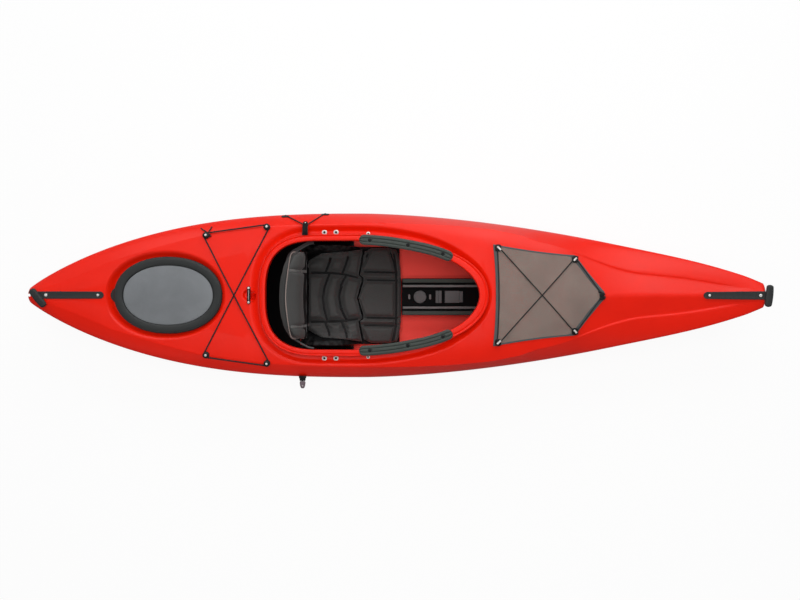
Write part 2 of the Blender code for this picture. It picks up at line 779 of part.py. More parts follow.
def build_handle(name, deck, bow, rubber, steel):
    """A strap on two bolts and, hinged at its outer end, a T-shaped grip."""
    toward = 1.0 if bow else -1.0
    length = BOW_STRAP_LENGTH if bow else STERN_STRAP_LENGTH
    outer = BOW_X - BOW_STRAP_SETBACK if bow else STERN_X + STERN_STRAP_SETBACK
    inner = outer - toward * length
    turn = math.radians(BOW_GRIP_TURN if bow else STERN_GRIP_TURN)
    along = Vector((math.sin(turn) * toward, -math.cos(turn), 0.0))
    mitre = along.x / along.y
    count = 14
    rings = []
    for index in range(count + 1):
        x = mix(inner, outer, index / count)
        low = deck.deck(x, 0.0)[0].z + STRAP_LIFT
        half = STRAP_HALF_WIDTH * (0.62 if index == 0 else 1.0)
        top = low + STRAP_THICKNESS
        shape = [(-half, low), (half, low), (half, top - 0.001), (half - 0.002, top), (0.002 - half, top),
                 (-half, top - 0.001)]
        skew = mitre if index == count else 0.0
        rings.append([Vector((x + skew * y, y, z)) for y, z in shape])
    loft(name + "_strap", rings, rubber)
    head = [(0, 0), (BOLT_HEAD, 0), (BOLT_HEAD, 0.0012), (BOLT_HEAD * 0.7, 0.0028), (0, 0.0034)]
    for place, x in (("outer_bolt", outer - toward * 0.015), ("inner_bolt", inner + toward * 0.025)):
        bolt = lathe(name + "_" + place, head, steel, 10)
        top = deck.deck(x, 0.0)[0].z + STRAP_LIFT + SEAT_GAP + STRAP_THICKNESS
        rise = deck.deck(x + 0.01, 0.0)[0].z - deck.deck(x - 0.01, 0.0)[0].z
        move(bolt, standing_on((x, 0, top + 0.0003), (-rise, 0, 0.02)))

    # The grip turns about its own length, at the strap's mitred end
    across = Vector((along.y, -along.x, 0.0)) * (-1.0 if bow else 1.0)
    reach = (STRAP_THICKNESS / 2 + SEAT_GAP) / math.cos(turn)
    axis = Vector((outer + toward * reach, 0.0, 0.0))
    axis.z = deck.deck(outer, 0.0)[0].z + STRAP_LIFT + STRAP_THICKNESS / 2
    centre = axis + across * (GRIP_HALF_DEPTH + 0.006)
    heights = [deck.deck(centre.x + dx, dy)[0] for dx in (-0.02, 0.0, 0.02) for dy in (-0.02, 0.0, 0.02)]
    centre.z = max(point.z for point in heights if point) + GRIP_HALF_HEIGHT + 0.0006
    steps, sides = 8, 10
    rings = []
    for index in range(steps + 1):
        t = 2.0 * index / steps - 1.0
        full = (1.0 - 0.88 * abs(t) ** 5) ** 0.5
        middle = centre + along * (t * GRIP_HALF_LENGTH) + across * (0.004 * (1.0 - t * t))
        ring = []
        for side in range(sides):
            angle = 2.0 * math.pi * side / sides
            out = math.copysign(abs(math.cos(angle)) ** 0.8, math.cos(angle)) * GRIP_HALF_DEPTH * full
            up = math.copysign(abs(math.sin(angle)) ** 0.8, math.sin(angle)) * GRIP_HALF_HEIGHT * full
            ring.append(middle + across * out + Vector((0, 0, up)))
        rings.append(ring)
    grip = loft(name + "_grip", rings, rubber)
    half = STRAP_THICKNESS / 2
    neck = []
    for sign in (-0.8, 0.8):
        start = axis + along * (STRAP_HALF_WIDTH * sign)
        outline = [(half * math.cos(a), half * math.sin(a)) for a in
                   (math.radians(90 + 30 * k) for k in range(7))]
        ring = [start + across * out + Vector((0, 0, up)) for out, up in outline]
        end = centre.z - axis.z
        ring += [start + across * 0.014 + Vector((0, 0, end - half)), start + across * 0.014 + Vector((0, 0, end + half))]
        neck.append(ring)
    join(grip, loft("neck", neck))
    set_origin(axis, grip)


# Bungees and their buttons

def button(name, deck, x, y, lift, material):
    """A deck button; the cord runs round its neck at lift over the deck."""
    point, normal = deck.clear_deck(x, y, BUTTON_BASE)
    low, high = BUTTON_FLANGE, lift + CORD_RADIUS + 0.0012
    profile = [(0, 0), (BUTTON_BASE, 0), (BUTTON_BASE, low - 0.0005), (BUTTON_NECK, low), (BUTTON_NECK, high),
               (BUTTON_CAP, high + 0.0005), (BUTTON_CAP * 0.8, high + 0.0035), (0, high + 0.0045)]
    part = lathe(name, profile, material, 9)
    return move(part, standing_on(point + normal * SEAT_GAP, normal))


def tangent_points(first, first_way, second, second_way, radius):
    """Where a line leaves one circle and meets the next; way is 1 for a left turn, -1 for a right."""
    between = second - first
    distance = between.length
    lean = math.asin(clamp((first_way - second_way) * radius / distance, -1.0, 1.0))
    heading = math.atan2(between.y, between.x) + lean
    left = Vector((-math.sin(heading), math.cos(heading)))
    return first - left * (first_way * radius), second - left * (second_way * radius)


def arc_points(centre, start, end, way, radius):
    first = math.atan2(start.y - centre.y, start.x - centre.x)
    last = math.atan2(end.y - centre.y, end.x - centre.x)
    sweep = (last - first) * way % (2.0 * math.pi) * way
    steps = max(1, math.ceil(abs(sweep) / ARC_STEP - 0.01))
    turns = [first + sweep * index / steps for index in range(steps + 1)]
    return [Vector((centre.x + radius * math.cos(t), centre.y + radius * math.sin(t))) for t in turns]


def taut_run(points, floor_of, start_z, end_z):
    """The bends of a taut cord over the floor: the upper hull of what it has to clear."""
    distances = [0.0]
    for before, after in zip(points, points[1:]):
        distances.append(distances[-1] + (after - before).length)
    needed = [start_z] + [floor_of(p) for p in points[1:-1]] + [end_z]
    hull = [0]
    for index in range(1, len(points)):
        while len(hull) > 1:
            a, b = hull[-2], hull[-1]
            before = (needed[b] - needed[a]) * (distances[index] - distances[a])
            after = (needed[index] - needed[a]) * (distances[b] - distances[a])
            if before > after:
                break
            hull.pop()
        hull.append(index)
    return [Vector((points[index].x, points[index].y, needed[index])) for index in hull]


class Lacing:
    """A taut cord round a list of buttons, lying on the deck between them."""

    def __init__(self, deck, lift, step):
        self.deck = deck
        self.lift = lift
        self.step = step
        self.radius = (BUTTON_NECK + CORD_RADIUS + 0.0006) / math.cos(ARC_STEP / 2)
        self.crossings = []

    def clear_height(self, spot):
        point, normal = self.deck.deck(spot.x, spot.y)
        if not point:
            return 0.0
        height = point.z + self.lift / max(normal.z, 0.35)
        for other, top in self.crossings:
            if (other - spot).length < 0.016:
                height = max(height, top)
        return height

    def hub(self, centre):
        """Where the cord's plane cuts a button's axis, and the button's lean."""
        point, normal = self.deck.clear_deck(centre.x, centre.y, BUTTON_BASE)
        return point + normal * (self.lift + SEAT_GAP), normal

    def route(self, stops, over):
        """Points of the closed cord; stops are (centre, way), and over names the run that passes on top."""
        count = len(stops)
        hubs = [self.hub(centre) for centre, _ in stops]
        centres = [middle.xy for middle, _ in hubs]

        def neck_height(index, spot):
            middle, normal = hubs[index]
            return middle.z - (spot - middle.xy).dot(normal.xy) / normal.z

        leaves, meets = [None] * count, [None] * count
        for index, (_, way) in enumerate(stops):
            after = (index + 1) % count
            leaves[index], meets[after] = tangent_points(centres[index], way, centres[after], stops[after][1],
                                                         self.radius)
        points = []
        for index, (_, way) in enumerate(stops):
            arc = arc_points(centres[index], meets[index], leaves[index], way, self.radius)
            points += [Vector((p.x, p.y, neck_height(index, p))) for p in arc]
            after = (index + 1) % count
            end = meets[after]
            steps = max(2, round((end - leaves[index]).length / self.step))
            run = [leaves[index].lerp(end, k / steps) for k in range(steps + 1)]
            self.crossings = over.get(index, [])
            bends = taut_run(run, self.clear_height, neck_height(index, run[0]), neck_height(after, run[-1]))
            points += bends[1:-1]
        return points


def crossing(points_a, points_b):
    """Where two straight runs cross, seen from above."""
    a, b = points_a
    c, d = points_b
    first, second = b - a, d - c
    share = ((c.x - a.x) * second.y - (c.y - a.y) * second.x) / (first.x * second.y - first.y * second.x)
    return a + first * share


def build_stern_bungee(deck, black, cord_black):
    aft_x, fore_x = STERN_BUTTON_AFT_X, STERN_BUTTON_FORE_X
    aft_y = half_beam(aft_x) - STERN_BUTTON_AFT_INSET
    fore_y = half_beam(fore_x) - STERN_BUTTON_FORE_INSET
    places = {"port_aft": (aft_x, aft_y), "port_fore": (fore_x, fore_y),
              "starboard_fore": (fore_x, -fore_y), "starboard_aft": (aft_x, -aft_y)}
    for name, (x, y) in places.items():
        button("stern_button_" + name, deck, x, y, STERN_CORD_LIFT, black)
    spots = {name: Vector(place) for name, place in places.items()}
    stops = [(spots["port_aft"], 1), (spots["starboard_fore"], -1), (spots["starboard_aft"], -1),
             (spots["port_fore"], 1)]
    lacing = Lacing(deck, STERN_CORD_LIFT, 0.055)
    middle = crossing((stops[0][0], stops[1][0]), (stops[2][0], stops[3][0]))
    top = lacing.clear_height(middle) + 2 * CORD_RADIUS + 0.0012
    points = lacing.route(stops, {2: [(middle, top)]})
    cord("stern_bungee", points, CORD_RADIUS, cord_black, closed=True)


def mesh_outline(v):
    """Half-width of the mesh panel at a share v of its length, its front pointed."""
    x = mix(MESH_AFT_X, MESH_TIP_X, v)
    if x < MESH_FRONT_X:
        share = (x - MESH_AFT_X) / (MESH_FRONT_X - MESH_AFT_X)
        return x, mix(MESH_AFT_HALF, MESH_FRONT_HALF, share) - 0.004 * math.sin(math.pi * share)
    share = (x - MESH_FRONT_X) / (MESH_TIP_X - MESH_FRONT_X)
    return x, mix(MESH_FRONT_HALF, 0.012, share)


def bow_button_places():
    aft_x, aft_y = MESH_AFT_X + 0.019, MESH_AFT_HALF - 0.019
    front_x, front_y = MESH_FRONT_X + 0.0125, MESH_FRONT_HALF - 0.018
    return {"port_aft": (aft_x, aft_y), "port_fore": (front_x, front_y), "tip": (MESH_TIP_X - 0.006, 0.0),
            "starboard_fore": (front_x, -front_y), "starboard_aft": (aft_x, -aft_y)}


def build_mesh_panel(deck, mesh_grey):
    rows, columns = 11, 8
    front = (MESH_FRONT_X - MESH_AFT_X) / (MESH_TIP_X - MESH_AFT_X)
    shares = [front * i / 7 for i in range(8)] + [mix(front, 1.0, i / 4) for i in range(1, 5)]
    vertices, faces = [], []
    for layer in (0, 1):
        for v in shares:
            x, half = mesh_outline(v)
            for column in range(columns + 1):
                across = 2.0 * column / columns - 1.0
                y = half * across
                bow_in = 0.012 * (1.0 - across * across) * clamp(1.0 - v / 0.25)
                point, normal = deck.deck(x + bow_in, y)
                hem = MESH_HEM if layer and (abs(across) > 0.99 or v in (shares[0], shares[-1])) else 0.0
                vertices.append(point + normal * (MESH_LIFT + layer * MESH_THICKNESS + hem))
    count = len(shares) * (columns + 1)
    width = columns + 1
    for row in range(len(shares) - 1):
        for column in range(columns):
            a = row * width + column
            faces.append((a, a + width, a + width + 1, a + 1))
            faces.append((count + a, count + a + 1, count + a + width + 1, count + a + width))
    border = [i for i in range(width)] + [row * width + columns for row in range(1, rows + 1)]
    border += [rows * width + i for i in range(columns - 1, -1, -1)]
    border += [row * width for row in range(rows - 1, 0, -1)]
    for first, second in zip(border, border[1:] + border[:1]):
        faces.append((first, second, count + second, count + first))
    panel = add_mesh("bow_mesh_panel", vertices, faces, mesh_grey)
    for x, y in bow_button_places().values():
        ring = oval_outline((x, y), BUTTON_BASE + 0.0015, BUTTON_BASE + 0.0015, 8)
        cut(panel, prism("eyelet", ring, 0.2, 0.6), solver="MANIFOLD")


def build_bow_bungee(deck, black, cord_black):
    places = bow_button_places()
    for name, (x, y) in places.items():
        button("bow_button_" + name, deck, x, y, BOW_CORD_LIFT, black)
    spots = {name: Vector(place) for name, place in places.items()}
    stops = [(spots["port_aft"], 1), (spots["starboard_fore"], 1), (spots["tip"], 1), (spots["port_fore"], 1),
             (spots["starboard_aft"], -1)]
    lacing = Lacing(deck, BOW_CORD_LIFT, 0.055)
    middle = crossing((stops[0][0], stops[1][0]), (stops[3][0], stops[4][0]))
    top = lacing.clear_height(middle) + 2 * CORD_RADIUS + 0.0012
    points = lacing.route(stops, {3: [(middle, top)]})
    cord("bow_bungee", points, CORD_RADIUS, cord_black, closed=True)


def build_security_bar(deck, steel):
    """A bent rod across the pocket, on two bolted feet."""
    base = deck.deck(BAR_X, BAR_HALF_SPAN)[0].z + SEAT_GAP + 0.0004
    flat = BAR_HALF_SPAN
    path = []
    for index in range(8):
        turn = math.pi * index / 7
        path.append(Vector((BAR_X, -flat * math.cos(turn), base + 0.003 + BAR_RISE * math.sin(turn) ** 0.6)))
    bar = cord_solid("security_bar", path, BAR_ROD, steel)
    for side in (-1, 1):
        foot = lathe("foot", [(0, 0), (0.0075, 0), (0.0075, 0.0035), (0.005, 0.0062), (0, 0.0068)], None, 10)
        join(bar, move(foot, Matrix.Translation((BAR_X, side * flat, base))))


# Rim pieces

def rim_outline_part(start_x, end_x, side, steps):
    """Evenly spaced points with normals along one side of the opening's edge."""
    points = []
    for index in range(steps + 1):
        x = mix(start_x, end_x, index / steps)
        share = clamp((x - OPENING_FRONT_CENTRE) / OPENING_FRONT_LENGTH)
        y = OPENING_HALF_WIDTH * math.sqrt(1.0 - share * share)
        slope = -OPENING_HALF_WIDTH * share / (OPENING_FRONT_LENGTH * math.sqrt(1.0 - share * share))
        normal = Vector((-slope, 1.0)).normalized()
        points.append((Vector((x, side * y)), Vector((normal.x, side * normal.y))))
    return points


def build_thigh_pad(name, side, rubber):
    """A ribbed strip on the rim, its inner edge over the opening."""
    half, thick, groove = 0.0205, 0.0065, 0.0025
    rows = rim_outline_part(-0.155, 0.239, side, 11)
    rings = []
    for index, (point, normal) in enumerate(rows):
        share = index / (len(rows) - 1)
        end = 1.0 - 0.30 * (abs(2 * share - 1.0) ** 16)
        middle = mix(0.003, 0.011, smoothstep(0.45, 1.0, share))
        low = rim_top(point.x) + SEAT_GAP
        shape = [(-half, 0), (half, 0), (half, thick - 0.002), (half - 0.002, thick), (0.0085, thick),
                 (0.0075, thick - groove), (0.0055, thick - groove), (0.0045, thick), (-0.0045, thick),
                 (-0.0055, thick - groove), (-0.0075, thick - groove), (-0.0085, thick), (0.002 - half, thick),
                 (-half, thick - 0.002)]
        rings.append([Vector((point.x + normal.x * (middle + d * end), point.y + normal.y * (middle + d * end),
                              low + z)) for d, z in shape])
    loft(name, rings, rubber)


def build_rim_washers(deck, steel):
    profile = [(0, 0), (0.0115, 0), (0.0115, 0.0016), (0.0070, 0.0022), (0.0050, 0.0042), (0, 0.0046)]
    for side, word in ((1, "port"), (-1, "starboard")):
        for place, x in (("aft", -0.3065), ("fore", -0.256)):
            point, normal = rim_outline_part(x, x + 0.001, side, 1)[0]
            spot = point + normal * (RIM_WIDTH + 0.0150)
            seat, up = deck.clear_deck(spot.x, spot.y, 0.0115)
            part = lathe("rim_washer_%s_%s" % (word, place), profile, steel, 12)
            move(part, standing_on(seat + up * SEAT_GAP, up))


# Seat

def pan_height(x, y):
    """Top face of the seat pan: a shallow dish with raised hips."""
    hips = smoothstep(PAN_REAR_X - 0.005, HIP_REAR_X, x) * (1.0 - smoothstep(HIP_FRONT_X, LIFTER_X - 0.012, x))
    wing = smoothstep(HIP_INNER, PAN_HALF_WIDTH, abs(y))
    dish = SEAT_DISH * smoothstep(0.0, HIP_INNER, abs(y))
    rear = PAN_REAR_RISE * smoothstep(HIP_REAR_X, PAN_REAR_X, x)
    return SEAT_FLOOR + dish * hips + rear + HIP_HEIGHT * hips * wing


def grid(rows, columns, place):
    """Vertices and faces of an open grid; place gives a vertex for shares 0 to 1."""
    vertices = [place(r / rows, c / columns) for r in range(rows + 1) for c in range(columns + 1)]
    width = columns + 1
    faces = [(r * width + c, (r + 1) * width + c, (r + 1) * width + c + 1, r * width + c + 1)
             for r in range(rows) for c in range(columns)]
    return vertices, faces


def padded_solid(name, rows, columns, low, high, material):
    """A closed soft solid between two grids that meet along their edges."""
    bottom, _ = grid(rows, columns, low)
    top, _ = grid(rows, columns, high)
    width = columns + 1
    count = len(bottom)
    faces = []
    for r in range(rows):
        for c in range(columns):
            a = r * width + c
            faces.append((a, a + 1, a + width + 1, a + width))
            faces.append((count + a, count + a + width, count + a + width + 1, count + a + 1))
    border = list(range(width)) + [r * width + columns for r in range(1, rows + 1)]
    border += [rows * width + i for i in range(columns - 1, -1, -1)] + [r * width for r in range(rows - 1, 0, -1)]
    for first, second in zip(border, border[1:] + border[:1]):
        faces.append((first, second, count + second, count + first))
    return add_mesh(name, bottom + top, faces, material, 60.0)


def pan_point(xs, ys, u, v):
    x, y = xs[round(u * (len(xs) - 1))], ys[round(v * (len(ys) - 1))]
    return Vector((x, y, pan_height(x, y)))


def build_seat_pan(plastic):
    flat = LIFTER_X - 0.012
    xs = [mix(PAN_REAR_X, HIP_REAR_X, k / 2) for k in range(3)] + [mix(HIP_REAR_X, flat, k / 5) for k in range(1, 6)]
    xs.append(PAN_FRONT_X)
    half = [HIP_INNER / 2] + [mix(HIP_INNER, PAN_HALF_WIDTH, k / 4) for k in range(5)]
    ys = [-y for y in reversed(half)] + [0.0] + half
    vertices, faces = grid(len(xs) - 1, len(ys) - 1, lambda u, v: pan_point(xs, ys, u, v))
    pan = add_mesh("seat_pan", vertices, faces, plastic)
    if pan.data.polygons[0].normal.z < 0:
        pan.data.flip_normals()
    modifier = pan.modifiers.new("thickness", "SOLIDIFY")
    modifier.thickness = PAN_THICKNESS
    modifier.offset = -1.0
    modifier.use_even_offset = True
    apply_modifiers(pan)
    for side in (-1, 1):
        low = (PAN_REAR_X + 0.03, side * 0.10 - 0.012, WALL + SEAT_GAP)
        high = (PAN_FRONT_X - 0.01, side * 0.10 + 0.012, SEAT_FLOOR - 0.002)
        join(pan, block("runner", low, high))
        ear = [(BACK_HINGE_X + 0.010 * math.cos(t), BACK_HINGE_Z + 0.010 * math.sin(t))
               for t in (math.radians(30 * k) for k in range(7))]
        ear += [(BACK_HINGE_X - 0.014, SEAT_FLOOR + 0.004), (BACK_HINGE_X + 0.014, SEAT_FLOOR + 0.001)]
        lug = [[Vector((x, side * y, z)) for x, z in ear] for y in (LUG_INNER_Y, LUG_INNER_Y + LUG_THICKNESS)]
        join(pan, loft("lug", lug))
        centre = (BACK_HINGE_X, side * (LUG_INNER_Y - 0.008), BACK_HINGE_Z)
        join(pan, cross_pin("pin", centre, 0.0030, 0.012))
    return pan


def cushion_half_width(x):
    return mix(CUSHION_REAR_HALF, CUSHION_FRONT_HALF, smoothstep(PAN_REAR_X + 0.010, LIFTER_X - 0.020, x))


def quilt(x, y, cross_seams):
    """Share of full thickness over the sewn panels: 1 on a panel, less along its seams."""
    dip = 0.0
    for seam in (-CUSHION_SEAM_Y, CUSHION_SEAM_Y):
        dip = max(dip, math.exp(-((y - seam) / SEAM_HALF_WIDTH) ** 2))
    for seam in cross_seams:
        bent = seam - SEAM_POINT * (1.0 - clamp(abs(y) / CUSHION_SEAM_Y))
        dip = max(dip, math.exp(-((x - bent) / SEAM_HALF_WIDTH) ** 2))
    return 1.0 - 0.42 * dip


def edge_share(u, v, round_u, round_v):
    """Falls to 0 along the edge of a pad, with a full crown inside."""
    along = 1.0 - abs(2.0 * u - 1.0) ** round_u
    across = 1.0 - abs(2.0 * v - 1.0) ** round_v
    return max(along, 0.0) ** 0.5 * max(across, 0.0) ** 0.5


def build_seat_cushion(pan, fabric):
    dish = Surface(pan)
    rear, front = CUSHION_REAR_X, LIFTER_X - 0.004
    seams = (CUSHION_SEAM_AFT_X, CUSHION_SEAM_FORE_X)

    def low(u, v):
        x = mix(rear, front, u)
        y = cushion_half_width(x) * (2.0 * v - 1.0)
        point, normal = dish.clear_deck(x, y, 0.012)
        return point + Vector((0, 0, CUSHION_LIFT / max(normal.z, 0.4)))

    def high(u, v):
        point = low(u, v)
        point.z += PAD_EDGE + CUSHION_THICKNESS * edge_share(u, v, 14, 10) * quilt(point.x, point.y, seams)
        return point

    padded_solid("seat_cushion", 18, 20, low, high, fabric)


def lifter_half_width(x):
    taper = 0.006 * smoothstep(PAN_FRONT_X - 0.05, PAN_FRONT_X, x)
    return mix(CUSHION_FRONT_HALF, LIFTER_HALF_WIDTH, smoothstep(LIFTER_X, LIFTER_X + 0.05, x)) - taper


def build_leg_lifter(board_black, fabric):
    front = PAN_FRONT_X + 0.006
    base = SEAT_FLOOR + SEAT_GAP
    half, thick = BOARD_HALF_WIDTH, BOARD_THICKNESS
    board = block("leg_lifter_board", (LIFTER_X + 0.001, -half, base), (front - 0.010, half, base + thick),
                  board_black, 0.002)
    axis = (LIFTER_X + 0.004, 0.0, base + thick / 2)

    def low(u, v):
        x = mix(LIFTER_X + 0.006, front, u)
        return Vector((x, lifter_half_width(x) * (2.0 * v - 1.0), base + thick + SEAT_GAP))

    def high(u, v):
        point = low(u, v)
        point.z += PAD_EDGE + LIFTER_THICKNESS * edge_share(u, v, 8, 12) * quilt(point.x, point.y, ())
        return point

    pad = padded_solid("leg_lifter_pad", 8, 20, low, high, fabric)
    set_origin(axis, board, pad)


def back_curve(z, y):
    """The rear face of the backrest: leaning aft, its sides wrapping forward."""
    share = (z - BACK_HINGE_Z) / (BACK_TOP - BACK_HINGE_Z)
    lean = BACK_LEAN * (0.35 * share + 0.65 * share * share)
    return BACK_HINGE_X - lean + BACK_WRAP * (y / BACK_HALF_WIDTH) ** 2 * smoothstep(-0.1, 0.7, share)


def build_backrest(board_black, fabric):
    bottom = BACK_HINGE_Z + 0.020

    def top_of(y):
        return BACK_TOP - 0.035 * (abs(y) / BACK_HALF_WIDTH) ** 4

    def shell_ring(y):
        zs = [mix(bottom, top_of(y) - 0.02, k / 5) for k in range(6)]
        rear = [Vector((back_curve(z, y) - SHELL_THICKNESS, y, z)) for z in zs]
        front = [Vector((back_curve(z, y), y, z)) for z in reversed(zs)]
        return rear + front

    ys = [BACK_HALF_WIDTH * (2.0 * k / 8 - 1.0) * 0.97 for k in range(9)]
    shell = loft("backrest_shell", [shell_ring(y) for y in ys], board_black)
    barrel = cross_pin("barrel", (BACK_HINGE_X, 0, BACK_HINGE_Z), 0.0075, LUG_INNER_Y - 0.0015, 14)
    join(shell, barrel)
    web = [(BACK_HINGE_X - 0.006, BACK_HINGE_Z), (BACK_HINGE_X + 0.002, BACK_HINGE_Z),
           (back_curve(bottom + 0.01, 0) - 0.0005, bottom + 0.012),
           (back_curve(bottom + 0.01, 0) - 0.0045, bottom + 0.012)]
    join(shell, loft("web", [[Vector((x, y, z)) for x, z in web] for y in (-0.09, 0.09)]))
    for side in (-1, 1):
        eye_at = (BACK_HINGE_X, side * (LUG_INNER_Y - 0.0075), BACK_HINGE_Z)
        cut(shell, cross_pin("eye", eye_at, 0.0034, 0.013))

    def thickness(share):
        roll = 0.020 * math.exp(-((share - 0.86) / 0.13) ** 2)
        return 0.026 + roll - 0.006 * math.exp(-((share - 0.62) / 0.05) ** 2)

    low_z = bottom + 0.014

    def rear(u, v):
        y = BACK_HALF_WIDTH * (2.0 * v - 1.0)
        z = mix(low_z, top_of(y), u)
        return Vector((back_curve(z, y) + BACK_PAD_GAP, y, z))

    def front(u, v):
        point = rear(u, v)
        point.x += 0.006 + thickness(u) * edge_share(u, v, 7, 9)
        return point

    pad = padded_solid("backrest_cushion", 14, 16, front, rear, fabric)
    set_origin((BACK_HINGE_X, 0, BACK_HINGE_Z), shell, pad)


# Console between the legs

def build_console(black, grey):
    base = WALL + SEAT_GAP
    outer, top = CONSOLE_HALF_WIDTH, CONSOLE_TOP
    half = [(outer, base), (outer, top - 0.003), (outer - 0.003, top), (outer - 0.016, top),
            (outer - 0.018, CONSOLE_CHANNEL), (outer - 0.023, CONSOLE_CHANNEL), (outer - 0.024, CONSOLE_SHELF),
            (outer - 0.041, CONSOLE_SHELF), (outer - 0.043, CONSOLE_CHANNEL)]
    outline = half + [(-y, z) for y, z in reversed(half)]
    extrude_x("centre_console", outline, CONSOLE_REAR_X, CONSOLE_FRONT_X, black)
    for side, word in ((1, "port"), (-1, "starboard")):
        low = CONSOLE_SHELF + SEAT_GAP
        inner, wide = outer - 0.0400, 0.0150
        shape = [(inner, low), (inner + wide, low), (inner + wide, low + 0.008), (inner + wide - 0.002, low + 0.010),
                 (inner + 0.010, low + 0.010), (inner + 0.009, low + 0.007), (inner + 0.006, low + 0.007),
                 (inner + 0.005, low + 0.010), (inner + 0.002, low + 0.010), (inner, low + 0.008)]
        extrude_x("console_rail_" + word, [(side * y, z) for y, z in shape], CONSOLE_REAR_X + 0.004,
                  CONSOLE_FRONT_X - 0.010, grey)
    floor = CONSOLE_CHANNEL + SEAT_GAP
    cap = lathe("console_cap", [(0, 0), (0.029, 0), (0.029, 0.007), (0.026, 0.010), (0.016, 0.010), (0.013, 0.0085),
                                (0, 0.0085)], grey, 18)
    move(cap, Matrix.Translation((0.113, 0, floor)))
    block("console_plate_aft", (0.184, -0.0285, floor), (0.213, 0.0285, floor + 0.009), grey, 0.0025)
    block("console_plate_fore", (0.226, -0.0270, floor), (0.307, 0.0270, floor + 0.012), grey, 0.003)


# Foot braces

def build_foot_brace(deck, side, word, grey, black):
    """A rail on the hull's side and a pedal that slides along it."""
    ends = []
    for x in (BRACE_REAR_X, BRACE_REAR_X + BRACE_LENGTH):
        spread = [abs(deck.inside(x, BRACE_HEIGHT + dz, side)[0].y) for dz in (-BRACE_TALL / 2, BRACE_TALL / 2)]
        ends.append(Vector((x, side * (min(spread) - SEAT_GAP - BRACE_DEPTH / 2), BRACE_HEIGHT)))
    along = (ends[1] - ends[0]).normalized()
    inward = Vector((0, 0, 1)).cross(along) * side * -1.0
    if inward.y * side > 0:
        inward = -inward
    frame = Matrix((along, inward, Vector((0, 0, 1)))).transposed().to_4x4()
    length = (ends[1] - ends[0]).length
    place = Matrix.Translation((ends[0] + ends[1]) / 2) @ frame
    half, tall = BRACE_DEPTH / 2, BRACE_TALL / 2
    rail = block("foot_rail_" + word, (-length / 2, -half, -tall), (length / 2, half, tall), grey, 0.002)
    for index in range(7):
        x = length * (index / 7 - 0.43)
        cut(rail, block("notch", (x, half - 0.003, -0.004), (x + 0.012, half + 0.01, 0.004)))
    move(rail, place)
    gap = RUNNING_GAP
    pedal = block("foot_pedal_" + word, (-0.030, half + gap, -tall - 0.010), (0.030, half + gap + 0.010, tall + 0.010),
                  black, 0.002)
    for way in (-1, 1):
        low, high = sorted((way * (tall + gap), way * (tall + 0.010)))
        join(pedal, block("lip", (-0.030, 0.0, low), (0.030, half + gap + 0.002, high)))
    plate = block("plate", (-0.012, half + gap + 0.006, -0.060), (-0.004, half + gap + 0.095, 0.060), None, 0.003)
    join(pedal, plate)
    join(pedal, block("brace", (-0.006, half + gap + 0.004, -0.004), (0.024, half + gap + 0.050, 0.004)))
    middle = (ends[0] + ends[1]) / 2
    move(pedal, place)
    set_origin(middle, pedal)


# Skeg and its control

